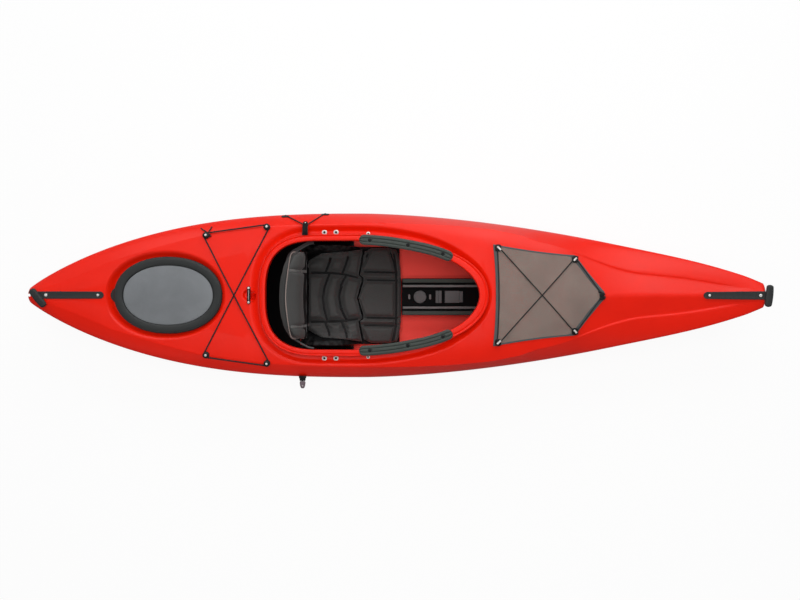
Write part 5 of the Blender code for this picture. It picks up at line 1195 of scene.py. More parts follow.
@dataclass
class HatchCover:
    """The stern hatch's rubber ring with its pull tab, and the stiff panel inside it."""

    hull: Hull
    panel_length: float = 0.1945
    panel_width: float = 0.1289
    ring_rows: tuple = (
        (-0.0187, 0.2830), (-0.0180, 0.2862), (-0.0160, 0.2882), (-0.0120, 0.2897), (-0.0040, 0.2907),
        (0.0060, 0.2910), (0.0110, 0.2904), (0.0119, 0.2897), (0.0128, 0.2902), (0.0166, 0.2884), (0.0188, 0.2855),
        (0.0197, 0.2815), (0.0199, 0.2740), (0.0192, 0.2678), (0.0180, 0.2660), (0.0165, 0.2668), (0.0155, 0.2765),
        (0.0115, 0.2785), (-0.0062, 0.2785), (-0.0070, 0.2745), (-0.0250, 0.2745), (-0.0255, 0.2768),
        (-0.0190, 0.2770))
    panel_rows: tuple = (
        (0.0050, 0.2774), (0.0004, 0.2776), (0.0, 0.2784), (0.0, 0.2838), (0.0006, 0.2848), (0.0018, 0.2853),
        (0.0060, 0.2856), (0.0200, 0.2866), (0.0400, 0.2876), (0.0650, 0.2883), (0.0900, 0.2887), (0.1150, 0.2889),
        (0.1280, 0.2889))
    tab_side: tuple = ((-1.1960, 0.0500), (-1.2120, 0.0400), (-1.2240, 0.0290), (-1.2345, 0.0180), (-1.2395, 0.0060))

    def make(self, dress: Dress) -> None:
        """Builds the ring and the panel."""
        line, normal = self.hull.collar_line()
        ring = skin([level(line + normal * out, z) for out, z in self.ring_rows], closed_rows=True)
        tab_line = spline([(x, y, 0.0) for x, y in self.tab_side]
                          + [(x, -y, 0.0) for x, y in reversed(self.tab_side)], 0.0025)
        tab = slab(np.array([(p.x, p.y) for p in tab_line]), round_edge(0.0075, 0.0022, 0.2665))
        dress.piece("hatch_ring", joined(ring, tab), "black_rubber", "hatch_cover_ring", sharp=50.0,
                    body="hatch_cover")
        edge, _ = oval(self.hull.hatch_x, self.panel_length, self.panel_width, 2.12, self.hull.hatch_points)
        centre = np.array([self.hull.hatch_x, 0.0])
        panel = skin([level(mix(edge, centre, inset / self.panel_width), z) for inset, z in self.panel_rows])
        dress.piece("hatch_panel", panel, "hatch_grey", "hatch_cover_panel", body="hatch_cover")


class End(Enum):
    """The two ends of the boat, with the way each points."""

    STERN = -1
    BOW = 1


@dataclass
class CarryHandle:
    """A strap bolted to the deck end and its T-shaped grip."""

    surface: DeckSurface
    end: End
    cut_x: float
    inner_x: float
    half_outer: float
    half_inner: float
    turn: float
    bolts: tuple
    thickness: float = 0.0042
    lift: float = 0.0006
    grip_half: float = 0.0475
    last_x: float = 1.572

    @property
    def word(self) -> str:
        """The end's name."""
        return self.end.name.lower()

    def deck_height(self, x: float) -> float:
        """Height that the strap's underside keeps at a station."""
        held = math.copysign(min(abs(x), self.last_x), x)
        return max(self.surface.above(held, y)[0].z for y in (-0.010, 0.0, 0.010)) + self.lift

    def make_strap(self, dress: Dress) -> None:
        """Builds the strap: a flat band with raised edges, round at its inner end."""
        fine = 0.94 + 0.06 * np.sin(np.linspace(0, math.pi / 2, 14)[1:])
        rings = []
        for share in np.concatenate([np.linspace(0.0, 0.94, 64), fine]):
            half = mix(self.half_outer, self.half_inner, share)
            left = (1.0 - share) * abs(self.cut_x - self.inner_x) / half
            tip = math.sqrt(max(0.02, 1.0 - (1.0 - min(1.0, left)) ** 2))
            arch = 0.0016 * math.sin(math.pi * min(1.0, max(0.0, (share - 0.12) / 0.76))) ** 2
            ring = []
            for across, rise in section(28, 0.30, 0.45):
                up = 0.5 + 0.5 * rise
                dip = 0.16 * (1.0 - min(1.0, abs(across) / 0.80) ** 6) * (up > 0.5)
                x = mix(self.cut_x, self.inner_x, share) + math.tan(self.turn) * across * half * (1.0 - share) ** 6
                ring.append((x, across * half * tip, self.deck_height(x) + arch + self.thickness * (up - dip)))
            rings.append(ring)
        dress.piece(f"{self.word}_strap", skin(rings), "black_rubber", f"{self.word}_handle_strap", sharp=55.0)

    def make_bolts(self, dress: Dress) -> None:
        """Builds the two bolts through the strap."""
        for name, x, radius in zip(("outer", "inner"), self.bolts, (0.0070, 0.0056)):
            top = Vector((x, 0.0, self.deck_height(x) + self.thickness * 0.80))
            head = placed(socket_screw(radius, 0.0034, 0.36), seat_at(top, self.surface.above(x, 0.0)[1]))
            dress.piece(f"{self.word}_{name}_bolt", head, "stainless_steel", f"{self.word}_handle_{name}_bolt")

    def make_grip(self, dress: Dress) -> None:
        """Builds the grip: a moulded bar, fuller on its outboard side."""
        low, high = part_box(f"{self.word}_handle_grip")
        centre = (Vector(low) + Vector(high)) / 2
        along = Vector((math.sin(self.turn) * self.end.value, -math.cos(self.turn), 0.0))
        out = Vector((-along.y, along.x, 0.0))
        out *= math.copysign(1.0, out.x * self.end.value)
        rings = []
        for share in np.sin(np.linspace(-math.pi / 2, math.pi / 2, 41)):
            size = math.sqrt(max(0.05, 1.0 - max(0.0, (abs(share) - 0.80) / 0.20) ** 2.2))
            ring = []
            for across, up in section(32, 0.62, 0.70):
                bulge = (0.0140 + (0.0034 if across > 0 else 0.0012) * (1.0 - share * share)) * size
                ring.append(centre + along * (self.grip_half * share) + out * (bulge * across)
                            + Vector((0, 0, 0.0088 * size ** 0.5 * up)))
            rings.append(ring)
        dress.piece(f"{self.word}_grip", skin(rings), "black_rubber", f"{self.word}_handle_grip", sharp=50.0,
                    body=f"{self.word}_grip")

    def make(self, dress: Dress) -> None:
        """Builds the whole handle."""
        self.make_strap(dress)
        self.make_bolts(dress)
        self.make_grip(dress)


@dataclass
class SecurityBar:
    """The steel bar over the round pocket behind the cockpit, on two black feet."""

    surface: DeckSurface
    x: float = -0.635
    half_span: float = 0.0310
    bridge: tuple = ((-1, -0.6), (-1, 0.4), (-0.8, 1), (0.8, 1), (1, 0.4), (1, -0.6), (0.8, -1), (-0.8, -1))

    def make(self, dress: Dress) -> None:
        """Builds the bar with its feet and screws."""
        base = self.surface.above(self.x - 0.033, 0.0)[0].z
        feet, screws, rings = [], [], []
        for side in (-1, 1):
            height = self.surface.above(self.x, side * (self.half_span + 0.001))[0].z
            place = Matrix.Translation((self.x, side * self.half_span, height))
            feet.append(placed(block(0.0074, 0.0075, 0.0072, 0.0095, 0.002), place))
            screws.append(placed(socket_screw(0.0050, 0.0034, 0.30), lifted(place, 0.0093)))
        for y in np.linspace(-self.half_span + 0.002, self.half_span - 0.002, 25):
            arch = base + 0.0052 - 0.0036 * (y / self.half_span) ** 4
            rings.append([(self.x + a * 0.0070, y, arch + b * 0.0026) for a, b in self.bridge])
        dress.piece("security_bar_feet", joined(*feet, skin(rings)), "black_plastic")
        reach = self.half_span - 0.004
        points = spline([(self.x, y * reach, base + z) for y, z in (
            (-1.0, 0.0060), (-0.75, 0.0078), (0.0, 0.0081), (0.75, 0.0078), (1.0, 0.0060))], 0.004)
        dress.cord("security_bar_rod", points, 0.0009, "stainless_steel", "security_bar", sides=20)
        dress.piece("security_bar_screws", joined(*screws), "stainless_steel")


@dataclass(frozen=True)
class Hub:
    """A deck button that a cord runs round, and the side it passes: 1 keeps the button on its left."""

    x: float
    y: float
    side: int


@dataclass
class DeckButtons:
    """Round-headed deck buttons with screws."""

    surface: DeckSurface
    lift: float = 0.0067
    wrap: float = 0.0104
    clearance: float = 0.0004
    crossing: float = 0.0045
    profile: tuple = (
        (0, 0), (0.0136, 0), (0.0144, 0.0010), (0.0136, 0.0024), (0.0074, 0.0032), (0.0066, 0.0042),
        (0.0066, 0.0098), (0.0102, 0.0101), (0.0134, 0.0112), (0.0139, 0.0128), (0.0128, 0.0147), (0.0094, 0.0163),
        (0.0060, 0.0171), (0.0054, 0.0164), (0, 0.0162))

    def make(self, dress: Dress, name: str, x: float, y: float) -> Matrix:
        """Builds one button and its screw, and gives the frame it stands in."""
        place = seat_at(*self.surface.above(x, y))
        dress.piece(name.replace("_button", "_knob"), placed(turned(self.profile), place), "black_plastic", name)
        dress.piece(name.replace("_button", "_screw"),
                    placed(socket_screw(0.0052, 0.0030, 0.30), lifted(place, 0.0160)), "stainless_steel")
        return place

    def lace(self, hubs: Sequence[Hub], radius: float, bow: float = 0.0) -> list[Vector]:
        """Route of one endless taut cord round the buttons.

        Args:
            hubs: the buttons in order.
            radius: the cord's radius.
            bow: sideways bow in metres of the first run.

        Returns:
            Points of the closed centre line; later runs pass over earlier ones.
        """
        count = len(hubs)
        seats = []
        for hub in hubs:
            point, normal = self.surface.above(hub.x, hub.y)
            seats.append((point + normal * self.lift, normal))
        leave, reach = [None] * count, [None] * count
        for i in range(count):
            j = (i + 1) % count
            gap = (seats[j][0] - seats[i][0]).xy
            shift = (hubs[j].side - hubs[i].side) * self.wrap
            turn = math.atan2(gap.y, gap.x) - math.asin(shift / gap.length)
            left = Vector((-math.sin(turn), math.cos(turn)))
            leave[i] = seats[i][0].xy - left * hubs[i].side * self.wrap
            reach[j] = seats[j][0].xy - left * hubs[j].side * self.wrap
        route, laid = [], []
        for i, (centre, _) in enumerate(seats):
            j = (i + 1) % count
            start, end = [math.atan2(spot.y - centre.y, spot.x - centre.x) for spot in (reach[i], leave[i])]
            sweep = (end - start) * hubs[i].side % math.tau * hubs[i].side
            steps = max(3, round(abs(sweep) / 0.28))
            for k in range(steps + 1):
                turn = start + sweep * k / steps
                x, y = centre.x + self.wrap * math.cos(turn), centre.y + self.wrap * math.sin(turn)
                route.append(Vector((x, y, self.level_at(seats[i], x, y))))
            run = self.run(leave[i], reach[j], seats[i], seats[j], radius, laid, 0.0 if i else bow)
            laid.append(run)
            route += run[1:-1]
        return route

    @staticmethod
    def level_at(seat: tuple, x: float, y: float) -> float:
        """Height of a button's cord plane at a place."""
        centre, normal = seat
        return centre.z - (normal.x * (x - centre.x) + normal.y * (y - centre.y)) / normal.z

    def run(self, start: Vector, end: Vector, first: tuple, last: tuple, radius: float, laid: Sequence = (),
            bow: float = 0.0) -> list[Vector]:
        """One straight run, pulled taut over the deck and over the runs laid before it."""
        length = (end - start).length
        steps = max(8, round(length / 0.006))
        way = (end - start) / length
        side = Vector((-way.y, way.x))
        spots = [start + way * (length * k / steps) + side * (bow * math.sin(math.pi * k / steps))
                 for k in range(steps + 1)]
        heights = [self.surface.above(s.x, s.y)[0].z + radius + self.clearance for s in spots]
        heights[0], heights[-1] = self.level_at(first, *start), self.level_at(last, *end)
        for other in laid:
            for k, spot in enumerate(spots[2:-2], 2):
                near = min(other, key=lambda p: (p.x - spot.x) ** 2 + (p.y - spot.y) ** 2)
                if math.hypot(near.x - spot.x, near.y - spot.y) < self.crossing:
                    heights[k] = max(heights[k], near.z + 2 * radius + 0.0004)
        taut = []
        for k, height in enumerate(heights):
            while len(taut) > 1:
                (a, za), (b, zb) = taut[-2], taut[-1]
                if (zb - za) * (k - a) > (height - za) * (b - a):
                    break
                taut.pop()
            taut.append((k, height))
        heights = np.interp(range(steps + 1), *zip(*taut))
        return [Vector((s.x, s.y, float(z))) for s, z in zip(spots, heights)]


def whip(dress: Dress, name: str, centre: Vector, way: Point, turns: float = 2.5, reach: float = 0.0050,
         radius: float = 0.0026) -> None:
    """Builds a short knot: a cord wound tightly about a line."""
    way = Vector(way).normalized()
    side = way.orthogonal().normalized()
    other = way.cross(side)
    steps = round(turns * 16)
    points = [centre + way * (radius * 2.1 * turns * (k / steps - 0.5))
              + (side * math.cos(math.tau * turns * k / steps) + other * math.sin(math.tau * turns * k / steps)) * reach
              for k in range(steps + 1)]
    dress.cord(name, points, radius, sides=12)


@dataclass
class SternRigging:
    """The X of shock cord behind the cockpit, with its side runs and its knot."""

    buttons: DeckButtons
    hull: Hull
    aft_x: float = -0.822
    fore_x: float = -0.557
    aft_inset: float = 0.060
    fore_inset: float = 0.0537
    radius: float = 0.0030
    tail_radius: float = 0.0027

    def make(self, dress: Dress) -> None:
        """Builds the four buttons, the cord, the knot and its two tails."""
        aft_y = float(self.hull.lines.beam(self.aft_x)) - self.aft_inset
        fore_y = float(self.hull.lines.beam(self.fore_x)) - self.fore_inset
        places = {}
        for side, sign in SIDES:
            for end, x, y in (("aft", self.aft_x, aft_y), ("fore", self.fore_x, fore_y)):
                places[side, end] = self.buttons.make(dress, f"stern_button_{side}_{end}", x, sign * y)
        hubs = [Hub(self.aft_x, aft_y, -1), Hub(self.fore_x, fore_y, -1), Hub(self.aft_x, -aft_y, 1),
                Hub(self.fore_x, -fore_y, 1)]
        dress.cord("stern_shock_cord", self.buttons.lace(hubs, self.radius), self.radius, "cord_black",
                   "stern_bungee", closed=True)
        corner = places["port", "aft"]
        whip(dress, "stern_knot", corner @ Vector((0.0140, 0.0, 0.0072)), (1.0, 0.12, 0.0))
        for number, (ahead, aside) in enumerate(((-0.026, 0.034), (0.022, 0.040)), 1):
            local = [(0.0100, 0.0040, 0.0076), (0.0070 + ahead * 0.3, 0.0170, 0.0090),
                     (0.002 + ahead * 0.75, aside * 0.78, 0.0050), (ahead, aside, 0.0033)]
            points = [corner @ Vector(p) for p in local]
            for point in points[2:]:
                point.z = self.buttons.surface.above(point.x, point.y)[0].z + self.radius + 0.0005
            dress.cord(f"stern_tail_{number}", spline(points, 0.003), self.tail_radius)


@dataclass
class BowRigging:
    """The stretched net panel on the fore deck with its binding, shock cord, hooks and ferrules."""

    buttons: DeckButtons
    aft_x: float = 0.421
    front_x: float = 0.7760
    tip_x: float = 0.8985
    half_aft: float = 0.2170
    half_front: float = 0.1720
    half_tip: float = 0.0150
    lift: float = 0.0036
    radius: float = 0.0024
    rows: int = 96
    columns: int = 72
    thickness: float = 0.0008
    side_binding: float = 0.0035
    tip_binding: float = 0.0092
    aft_binding: float = 0.0085
    crossing_x: float = 0.633
    tip: tuple = (0.887, 0.0)
    port_fore: tuple = (0.7745, 0.1535)
    port_aft: tuple = (0.440, 0.201)
    knots: tuple = (((-0.006, 0.014, 0.0120), (0.3, 1.0, 0.0)), ((-0.002, -0.015, 0.0120), (0.4, -1.0, 0.0)),
                    ((0.008, 0.006, 0.0120), (1.0, 0.6, 0.0)), ((0.011, -0.010, 0.0120), (1.0, -0.9, 0.0)))

    def half(self, x: float) -> float:
        """Half of the panel's width at a station."""
        if x > self.front_x:
            share = (x - self.front_x) / (self.tip_x - self.front_x)
            return mix(self.half_front, self.half_tip, share) - 0.004 * math.sin(math.pi * share)
        share = (x - self.aft_x) / (self.front_x - self.aft_x)
        return mix(self.half_aft, self.half_front, share) - 0.005 * math.sin(math.pi * share)

    def spot(self, x: float, across: float) -> Vector:
        """A point of the panel's underside; across runs from -1 to 1."""
        share = (x - self.aft_x) / (self.tip_x - self.aft_x)
        bowed = x + 0.012 * (1.0 - across * across) * max(0.0, 1.0 - 4.0 * share)
        y = across * self.half(x)
        corner = math.hypot(bowed - self.aft_x, (abs(across) - 1.0) * self.half_aft)
        crease = 0.0012 * math.sin(58.0 * (bowed + 1.7 * abs(y))) * math.exp(-corner / 0.09)
        ripple = 0.0008 * math.sin(34.0 * bowed + 9.0 * y) * (1.0 - across ** 2)
        ripple += 0.0007 * math.sin(120 * bowed) * across ** 6
        return Vector((bowed, y, self.deck_height(bowed, y) + self.lift + crease + ripple))

    def deck_height(self, x: float, y: float) -> float:
        """Height of the deck that carries the panel."""
        return self.buttons.surface.above(x, y)[0].z

    def make_panel(self, dress: Dress) -> None:
        stations = [mix(self.aft_x, self.tip_x, r / self.rows) for r in range(self.rows + 1)]
        points = [self.spot(x, 2 * c / self.columns - 1) for x in stations for c in range(self.columns + 1)]
        upper = [p + Vector((0, 0, self.thickness)) for p in points]
        lower = [p - Vector((0, 0, self.thickness * 0.2)) for p in points]
        net = dress.piece("bow_net", sheet_form(upper + lower, self.rows + 1, self.columns + 1), "mesh_grey",
                          "bow_mesh_panel", sharp=60.0)
        binding = self.make_binding(dress)

    def border(self) -> list[tuple[float, float, float]]:
        """Station, side and binding half-width along the panel's edge, port aft corner first."""
        made = [(mix(self.aft_x, self.front_x, k / 30), 1.0, self.side_binding) for k in range(30)]
        made += [(mix(self.front_x, self.tip_x, k / 22), 1.0, self.tip_binding) for k in range(22)]
        made += [(self.tip_x, 1.0 - k / 2, self.tip_binding) for k in range(5)]
        made += [(mix(self.tip_x, self.front_x, k / 22), -1.0, self.tip_binding) for k in range(1, 23)]
        made += [(mix(self.front_x, self.aft_x, k / 30), -1.0, self.side_binding) for k in range(1, 31)]
        return made + [(self.aft_x, k / 20 - 1.0, self.aft_binding) for k in range(1, 40)]

    def make_binding(self, dress: Dress) -> bpy.types.Object:
        """Builds the sewn binding round the net's edge."""
        border = self.border()
        points = [self.spot(x, across) for x, across, _ in border]
        count = len(points)
        rings = []
        for i, (point, way) in enumerate(zip(points, ways(points, closed=True))):
            half = sum(border[(i + k) % count][2] for k in range(-2, 3)) / 5
            inward = Vector((-way.y, way.x, 0.0)).normalized()
            inward *= math.copysign(1.0, inward.dot(Vector((0.60 - point.x, -point.y, 0.0))))
            ring = []
            for across, up in section(14, 0.5, 0.7):
                place = point + inward * (half * 0.75 + across * half)
                drop = self.deck_height(place.x, place.y) - self.deck_height(point.x, point.y)
                ring.append(place + Vector((0, 0, drop + 0.0013 * up + 0.0006)))
            rings.append(ring)
        return dress.piece("bow_net_binding", skin(rings, closed_rows=True), "webbing_grey", sharp=60.0,
                           slot="mesh_grey")

    def make_hook(self, dress: Dress, name: str, x: float, y: float) -> None:
        """Builds one hook, with its ferrule and collar but at the tip."""
        place = seat_at(*self.buttons.surface.above(x, y))
        form = block(0.0085, 0.0100, 0.0070, 0.0170, 0.0035) if name == "tip" else \
            block(0.0135, 0.0155, 0.0100, 0.0128, 0.0035)
        dress.piece(f"bow_hook_{name}", placed(form, place), "black_plastic", f"bow_button_{name}")
        if name == "tip":
            return
        toward = Vector((self.crossing_x - x, -y, 0.0)).normalized()
        middle = place @ Vector((0.0, 0.0, 0.0150))
        reach = 0.0105 if name.endswith("aft") else 0.0085
        ends = [middle - toward * reach * 0.7, middle + toward * reach * 1.3]
        dress.cord(f"bow_ferrule_{name}", spline(ends, 0.004), 0.0042, "stainless_steel", sides=20)
        dress.cord(f"bow_collar_{name}", spline([ends[0] - toward * 0.0075, ends[0]], 0.003), 0.0050,
                   "black_plastic", sides=16)

    def make_rigging(self, dress: Dress) -> None:
        """Builds the hooks, the cord and its knots."""
        (fore_x, fore_y), (aft_x, aft_y) = self.port_fore, self.port_aft
        for name, x, y in (("port_aft", aft_x, aft_y), ("port_fore", fore_x, fore_y), ("tip", *self.tip),
                           ("starboard_fore", fore_x, -fore_y), ("starboard_aft", aft_x, -aft_y)):
            self.make_hook(dress, name, x, y)
        raised = DeckButtons(self.buttons.surface, lift=0.0110, wrap=0.0040, clearance=0.0056)
        route = raised.lace([Hub(aft_x, aft_y, 1), Hub(aft_x, -aft_y, 1), Hub(fore_x, fore_y, -1),
                             Hub(*self.tip, -1), Hub(fore_x, -fore_y, -1)], self.radius, 0.007)
        dress.cord("bow_shock_cord", route, self.radius, "cord_black", "bow_bungee", closed=True)
        tip = self.buttons.surface.above(*self.tip)[0]
        for number, (shift, way) in enumerate(self.knots, 1):
            whip(dress, f"bow_knot_{number}", tip + Vector(shift), way, 1.6, 0.0052, 0.0028)

    def make(self, dress: Dress) -> None:
        """Builds the net and its rigging."""
        self.make_panel(dress)
        self.make_rigging(dress)


@dataclass
class RimFittings:
    """What is screwed to and beside the coaming: thigh pads, washers and their screws."""

    surface: DeckSurface
    hull: Hull
    pad_from: float = -0.155
    pad_to: float = 0.2400
    pad_half: float = 0.0222
    pad_height: float = 0.0068
    groove_depth: float = 0.0042
    sections: int = 36
    upper: int = 24
    screw_shares: tuple = (0.115, 0.52, 0.895)
    washer_reach: float = 0.0100
    washers: tuple = (("aft", -0.3065), ("fore", -0.256), ("front", -0.1180))
    washer: tuple = ((0, 0), (0.0112, 0), (0.0116, 0.0008), (0.0112, 0.0020), (0.0098, 0.0028), (0.0062, 0.0030),
                     (0.0056, 0.0022), (0, 0.0021))

    def rim_line(self) -> tuple[np.ndarray, np.ndarray]:
        """The port half of the opening between the pads' ends, aft end first, with outward normals."""
        line, normal = self.hull.lines.opening(2400)
        keep = (line[:, 1] > 0) & (line[:, 0] > self.pad_from) & (line[:, 0] < self.pad_to)
        order = np.argsort(line[keep][:, 0])
        return line[keep][order], normal[keep][order]

    def make_pad(self, dress: Dress, side: str, sign: int) -> None:
        """Builds one thigh pad with two grooves along it and its three screws."""
        line, normal = self.rim_line()
        along = np.concatenate([[0.0], np.cumsum(np.linalg.norm(np.diff(line, axis=0), axis=1))])
        length = along[-1]
        screws = [length * share for share in self.screw_shares]

        def rim_at(place: float, shift: float) -> tuple[float, float]:
            """A place in plan, so far along the rim and so far outside the pad's middle."""
            spot, out = [[np.interp(place, along, row[:, k]) for k in (0, 1)] for row in (line, normal)]
            reach = mix(0.003, 0.011, float(smoothstep(0.45, 1.0, place / length))) + shift
            return spot[0] + out[0] * reach, (spot[1] + out[1] * reach) * sign

        def top_at(place: float, across: float, half: float) -> float:
            """Height of the pad's top over the rim; across runs from -1 to 1."""
            crown = (1.0 - abs(across) ** 5) ** 0.5
            groove = sum(math.exp(-((across - g) / 0.080) ** 2) for g in (-0.36, 0.32))
            dimple = max(math.exp(-(math.hypot(place - s, (across - 0.02) * half) / 0.0104) ** 6) for s in screws)
            edge = min(1.0, 0.35 + 0.65 * min(place, length - place) / 0.008)
            puff = self.pad_height * (0.25 + 0.75 * crown) * edge - self.groove_depth * groove * crown
            return mix(puff, 0.0016, dimple)

        rings = []
        for place in length / 2 * (1.0 + np.sin(np.linspace(-math.pi / 2, math.pi / 2, 121)) * 0.6
                                   + np.linspace(-1, 1, 121) * 0.4):
            near = min(place, length - place)
            half = self.pad_half * math.sqrt(max(0.004, 1.0 - max(0.0, 1.0 - near / self.pad_half) ** 2))
            ring = []
            for k in range(self.sections):
                if k < self.upper:
                    across = -1.0 + 2.0 * k / (self.upper - 1)
                    up = top_at(place, across, half)
                else:
                    across = 1.0 - 2.0 * (k - self.upper + 1) / (self.sections - self.upper + 1)
                    up = 0.0004
                x, y = rim_at(place, across * half)
                ring.append((x, y, float(self.hull.lines.rim_top(x)) + up))
            rings.append(ring)
        pad = dress.piece(f"thigh_cushion_{side}", skin(rings), "thigh_pad_grey", f"thigh_pad_{side}", sharp=60.0)
        heads = []
        for place in screws:
            x, y = rim_at(place, 0.0)
            at = Matrix.Translation((x, y, float(self.hull.lines.rim_top(x)) + 0.0015))
            heads.append(placed(socket_screw(0.0082, 0.0036, 0.36), at))
        dress.piece(f"thigh_screws_{side}", joined(*heads), "black_plastic")

    def make_washers(self, dress: Dress) -> None:
        """Builds the pale washers beside the coaming and their dark socket screws; the front ones are small."""
        line, normal = self.hull.lines.opening(2400)
        for side, sign in SIDES:
            for name, x in self.washers:
                pick = np.argmin(np.abs(line[:, 0] - x) + 10.0 * (line[:, 1] < 0))
                reach = self.washer_reach - (0.0045 if name == "front" else 0.0)
                at = line[pick] + normal[pick] * (float(self.hull.lines.rim_width(x)) + reach)
                place = seat_at(*self.surface.above(float(at[0]), float(at[1]) * sign))
                if name == "front":
                    place = place @ Matrix.Scale(0.74, 4)
                nodes = [f"rim_washer_{side}_{name}"] if name != "front" else []
                dress.piece(f"rim_ring_{side}_{name}", placed(turned(self.washer, 44), place), "stainless_steel",
                            *nodes)
                dress.piece(f"rim_screw_{side}_{name}",
                            placed(socket_screw(0.0048, 0.0030, 0.5), lifted(place, 0.0021)), "black_plastic")

    def make(self, dress: Dress) -> None:
        """Builds both pads and all washers."""
        for side, sign in SIDES:
            self.make_pad(dress, side, sign)
        self.make_washers(dress)


class Seams:
    """Sewn lines on a cushion, seen from above, and how the padding swells between them."""

    def __init__(self, lines: Sequence[Sequence[tuple[float, float]]], reach: float) -> None:
        """Reads each line every 1.5 mm.

        Args:
            lines: seams as points in plan, in metres.
            reach: distance from a seam at which the padding has nearly its full height.
        """
        spots = []
        for line in lines:
            for start, end in zip(line, line[1:]):
                steps = max(2, round(math.dist(start, end) / 0.0015))
                spots += [(mix(start[0], end[0], k / steps), mix(start[1], end[1], k / steps))
                          for k in range(steps + 1)]
        self.lines = lines
        self.spots = np.array(spots)
        self.reach = reach

    def swell(self, x: np.ndarray, y: np.ndarray) -> np.ndarray:
        """Share of the full height at each place: small on a seam, 1 well between seams."""
        gap = nearest(np.column_stack([x.ravel(), y.ravel()]), self.spots).reshape(x.shape)
        return 1.0 - 0.88 * np.exp(-(gap / self.reach) ** 2)


def chevron(x: Values, y: Values, near: float, far: float, depth: float) -> Values:
    """Shift of a cushion's edge to a blunt V, full at the station near and gone at far."""
    shape = np.interp(np.abs(y + 0.0125), (0.0, 0.078, 0.094, 0.106, 0.205), (1.0, 0.0, 0.0, 0.70, -0.15))
    return -depth * shape * smoothstep(far, near, x)


@dataclass
class Pad:
    """A cushion as a closed form: a top over a grid and a base on what carries it."""

    name: str
    body: str
    node: str
    back_x: float
    front_x: float
    half: Callable
    base: Callable
    height: Callable
    bend: Callable
    rows: int = 90
    columns: int = 150
    middle: float = -0.006
    edge: float = 0.016
    crease: float = 0.0007
    # Black strips laid in the seam grooves: painted shade for the shadow in them.
    shade_strip_half: float = 0.0066
    shade_strip_height: float = 0.0022
    shade_strip_inset: float = 0.012

    def make(self, dress: Dress, seams: Seams, fill: float) -> None:
        """Builds the cushion.

        Args:
            dress: the materials.
            seams: its sewn lines.
            fill: how tightly it is stuffed; not used.
        """
        spread = np.linspace(-1.0, 1.0, self.columns + 1)
        across = np.sin(spread * math.pi / 2) * 0.3 + spread * 0.7
        share = np.linspace(0.0, 1.0, self.rows + 1)
        x = np.repeat(mix(self.back_x, self.front_x, share)[:, None], self.columns + 1, 1)
        half = np.array([self.half(value) for value in x[:, 0]])[:, None]
        shift = self.middle * (1.0 - np.abs(across) ** 4)[None, :]
        y = shift + half * across[None, :]
        rim = np.minimum(half - np.abs(y - shift), np.minimum(x - self.back_x, self.front_x - x))
        edge = np.sqrt(np.clip(1.0 - (1.0 - np.clip(rim / self.edge, 0, 1)) ** 2, 0.0, 1.0))
        low = np.vectorize(self.base)(x, y)
        high = low + 0.002 + edge * (0.004 + self.height(x, y) * seams.swell(x, y))
        creases = self.crease * np.sin(210 * x + 60 * np.sin(23 * y)) * np.sin(47 * y + 3) * edge
        self.make_shade_strips(dress, seams)
        x = x + self.bend(x, y)
        points = np.concatenate([np.stack([x, y, z], 2).reshape(-1, 3) for z in (high + creases, low)])
        pad = dress.piece(self.name, sheet_form(points, self.rows + 1, self.columns + 1), "seat_fabric", self.node,
                          sharp=75.0, body=self.body)

    def make_shade_strips(self, dress: Dress, seams: Seams) -> None:
        """Builds black strips in the grooves along the seams: painted shade for the shadow in the grooves."""
        parts = []
        for line in seams.lines:
            points = []
            for x, y in self.read(line):
                inset = min(x - self.back_x, self.front_x - x, self.half(x) - abs(y - self.middle))
                if inset > self.shade_strip_inset:
                    at = np.array([x]), np.array([y])
                    height = self.base(x, y) + 0.0068 + 0.15 * float(self.height(*at)[0])
                    points.append(Vector((x + float(self.bend(*at)[0]), y, height)))
            if len(points) > 4:
                parts.append(ribbon(points, self.shade_strip_half, self.shade_strip_height))
        dress.piece(self.name + "_shade_strips", joined(*parts), "painted_shade_black", sharp=60.0, body=self.body,
                    slot="seat_fabric")

    @staticmethod
    def read(line: Sequence[tuple[float, float]]) -> list[tuple[float, float]]:
        """Close points along a seam, straight if it has only two ends."""
        if len(line) > 2:
            return [(p.x, p.y) for p in spline([(x, y, 0.0) for x, y in line], 0.004)]
        (x, y), (end_x, end_y) = line
        return [(mix(x, end_x, k / 40), mix(y, end_y, k / 40)) for k in range(41)]


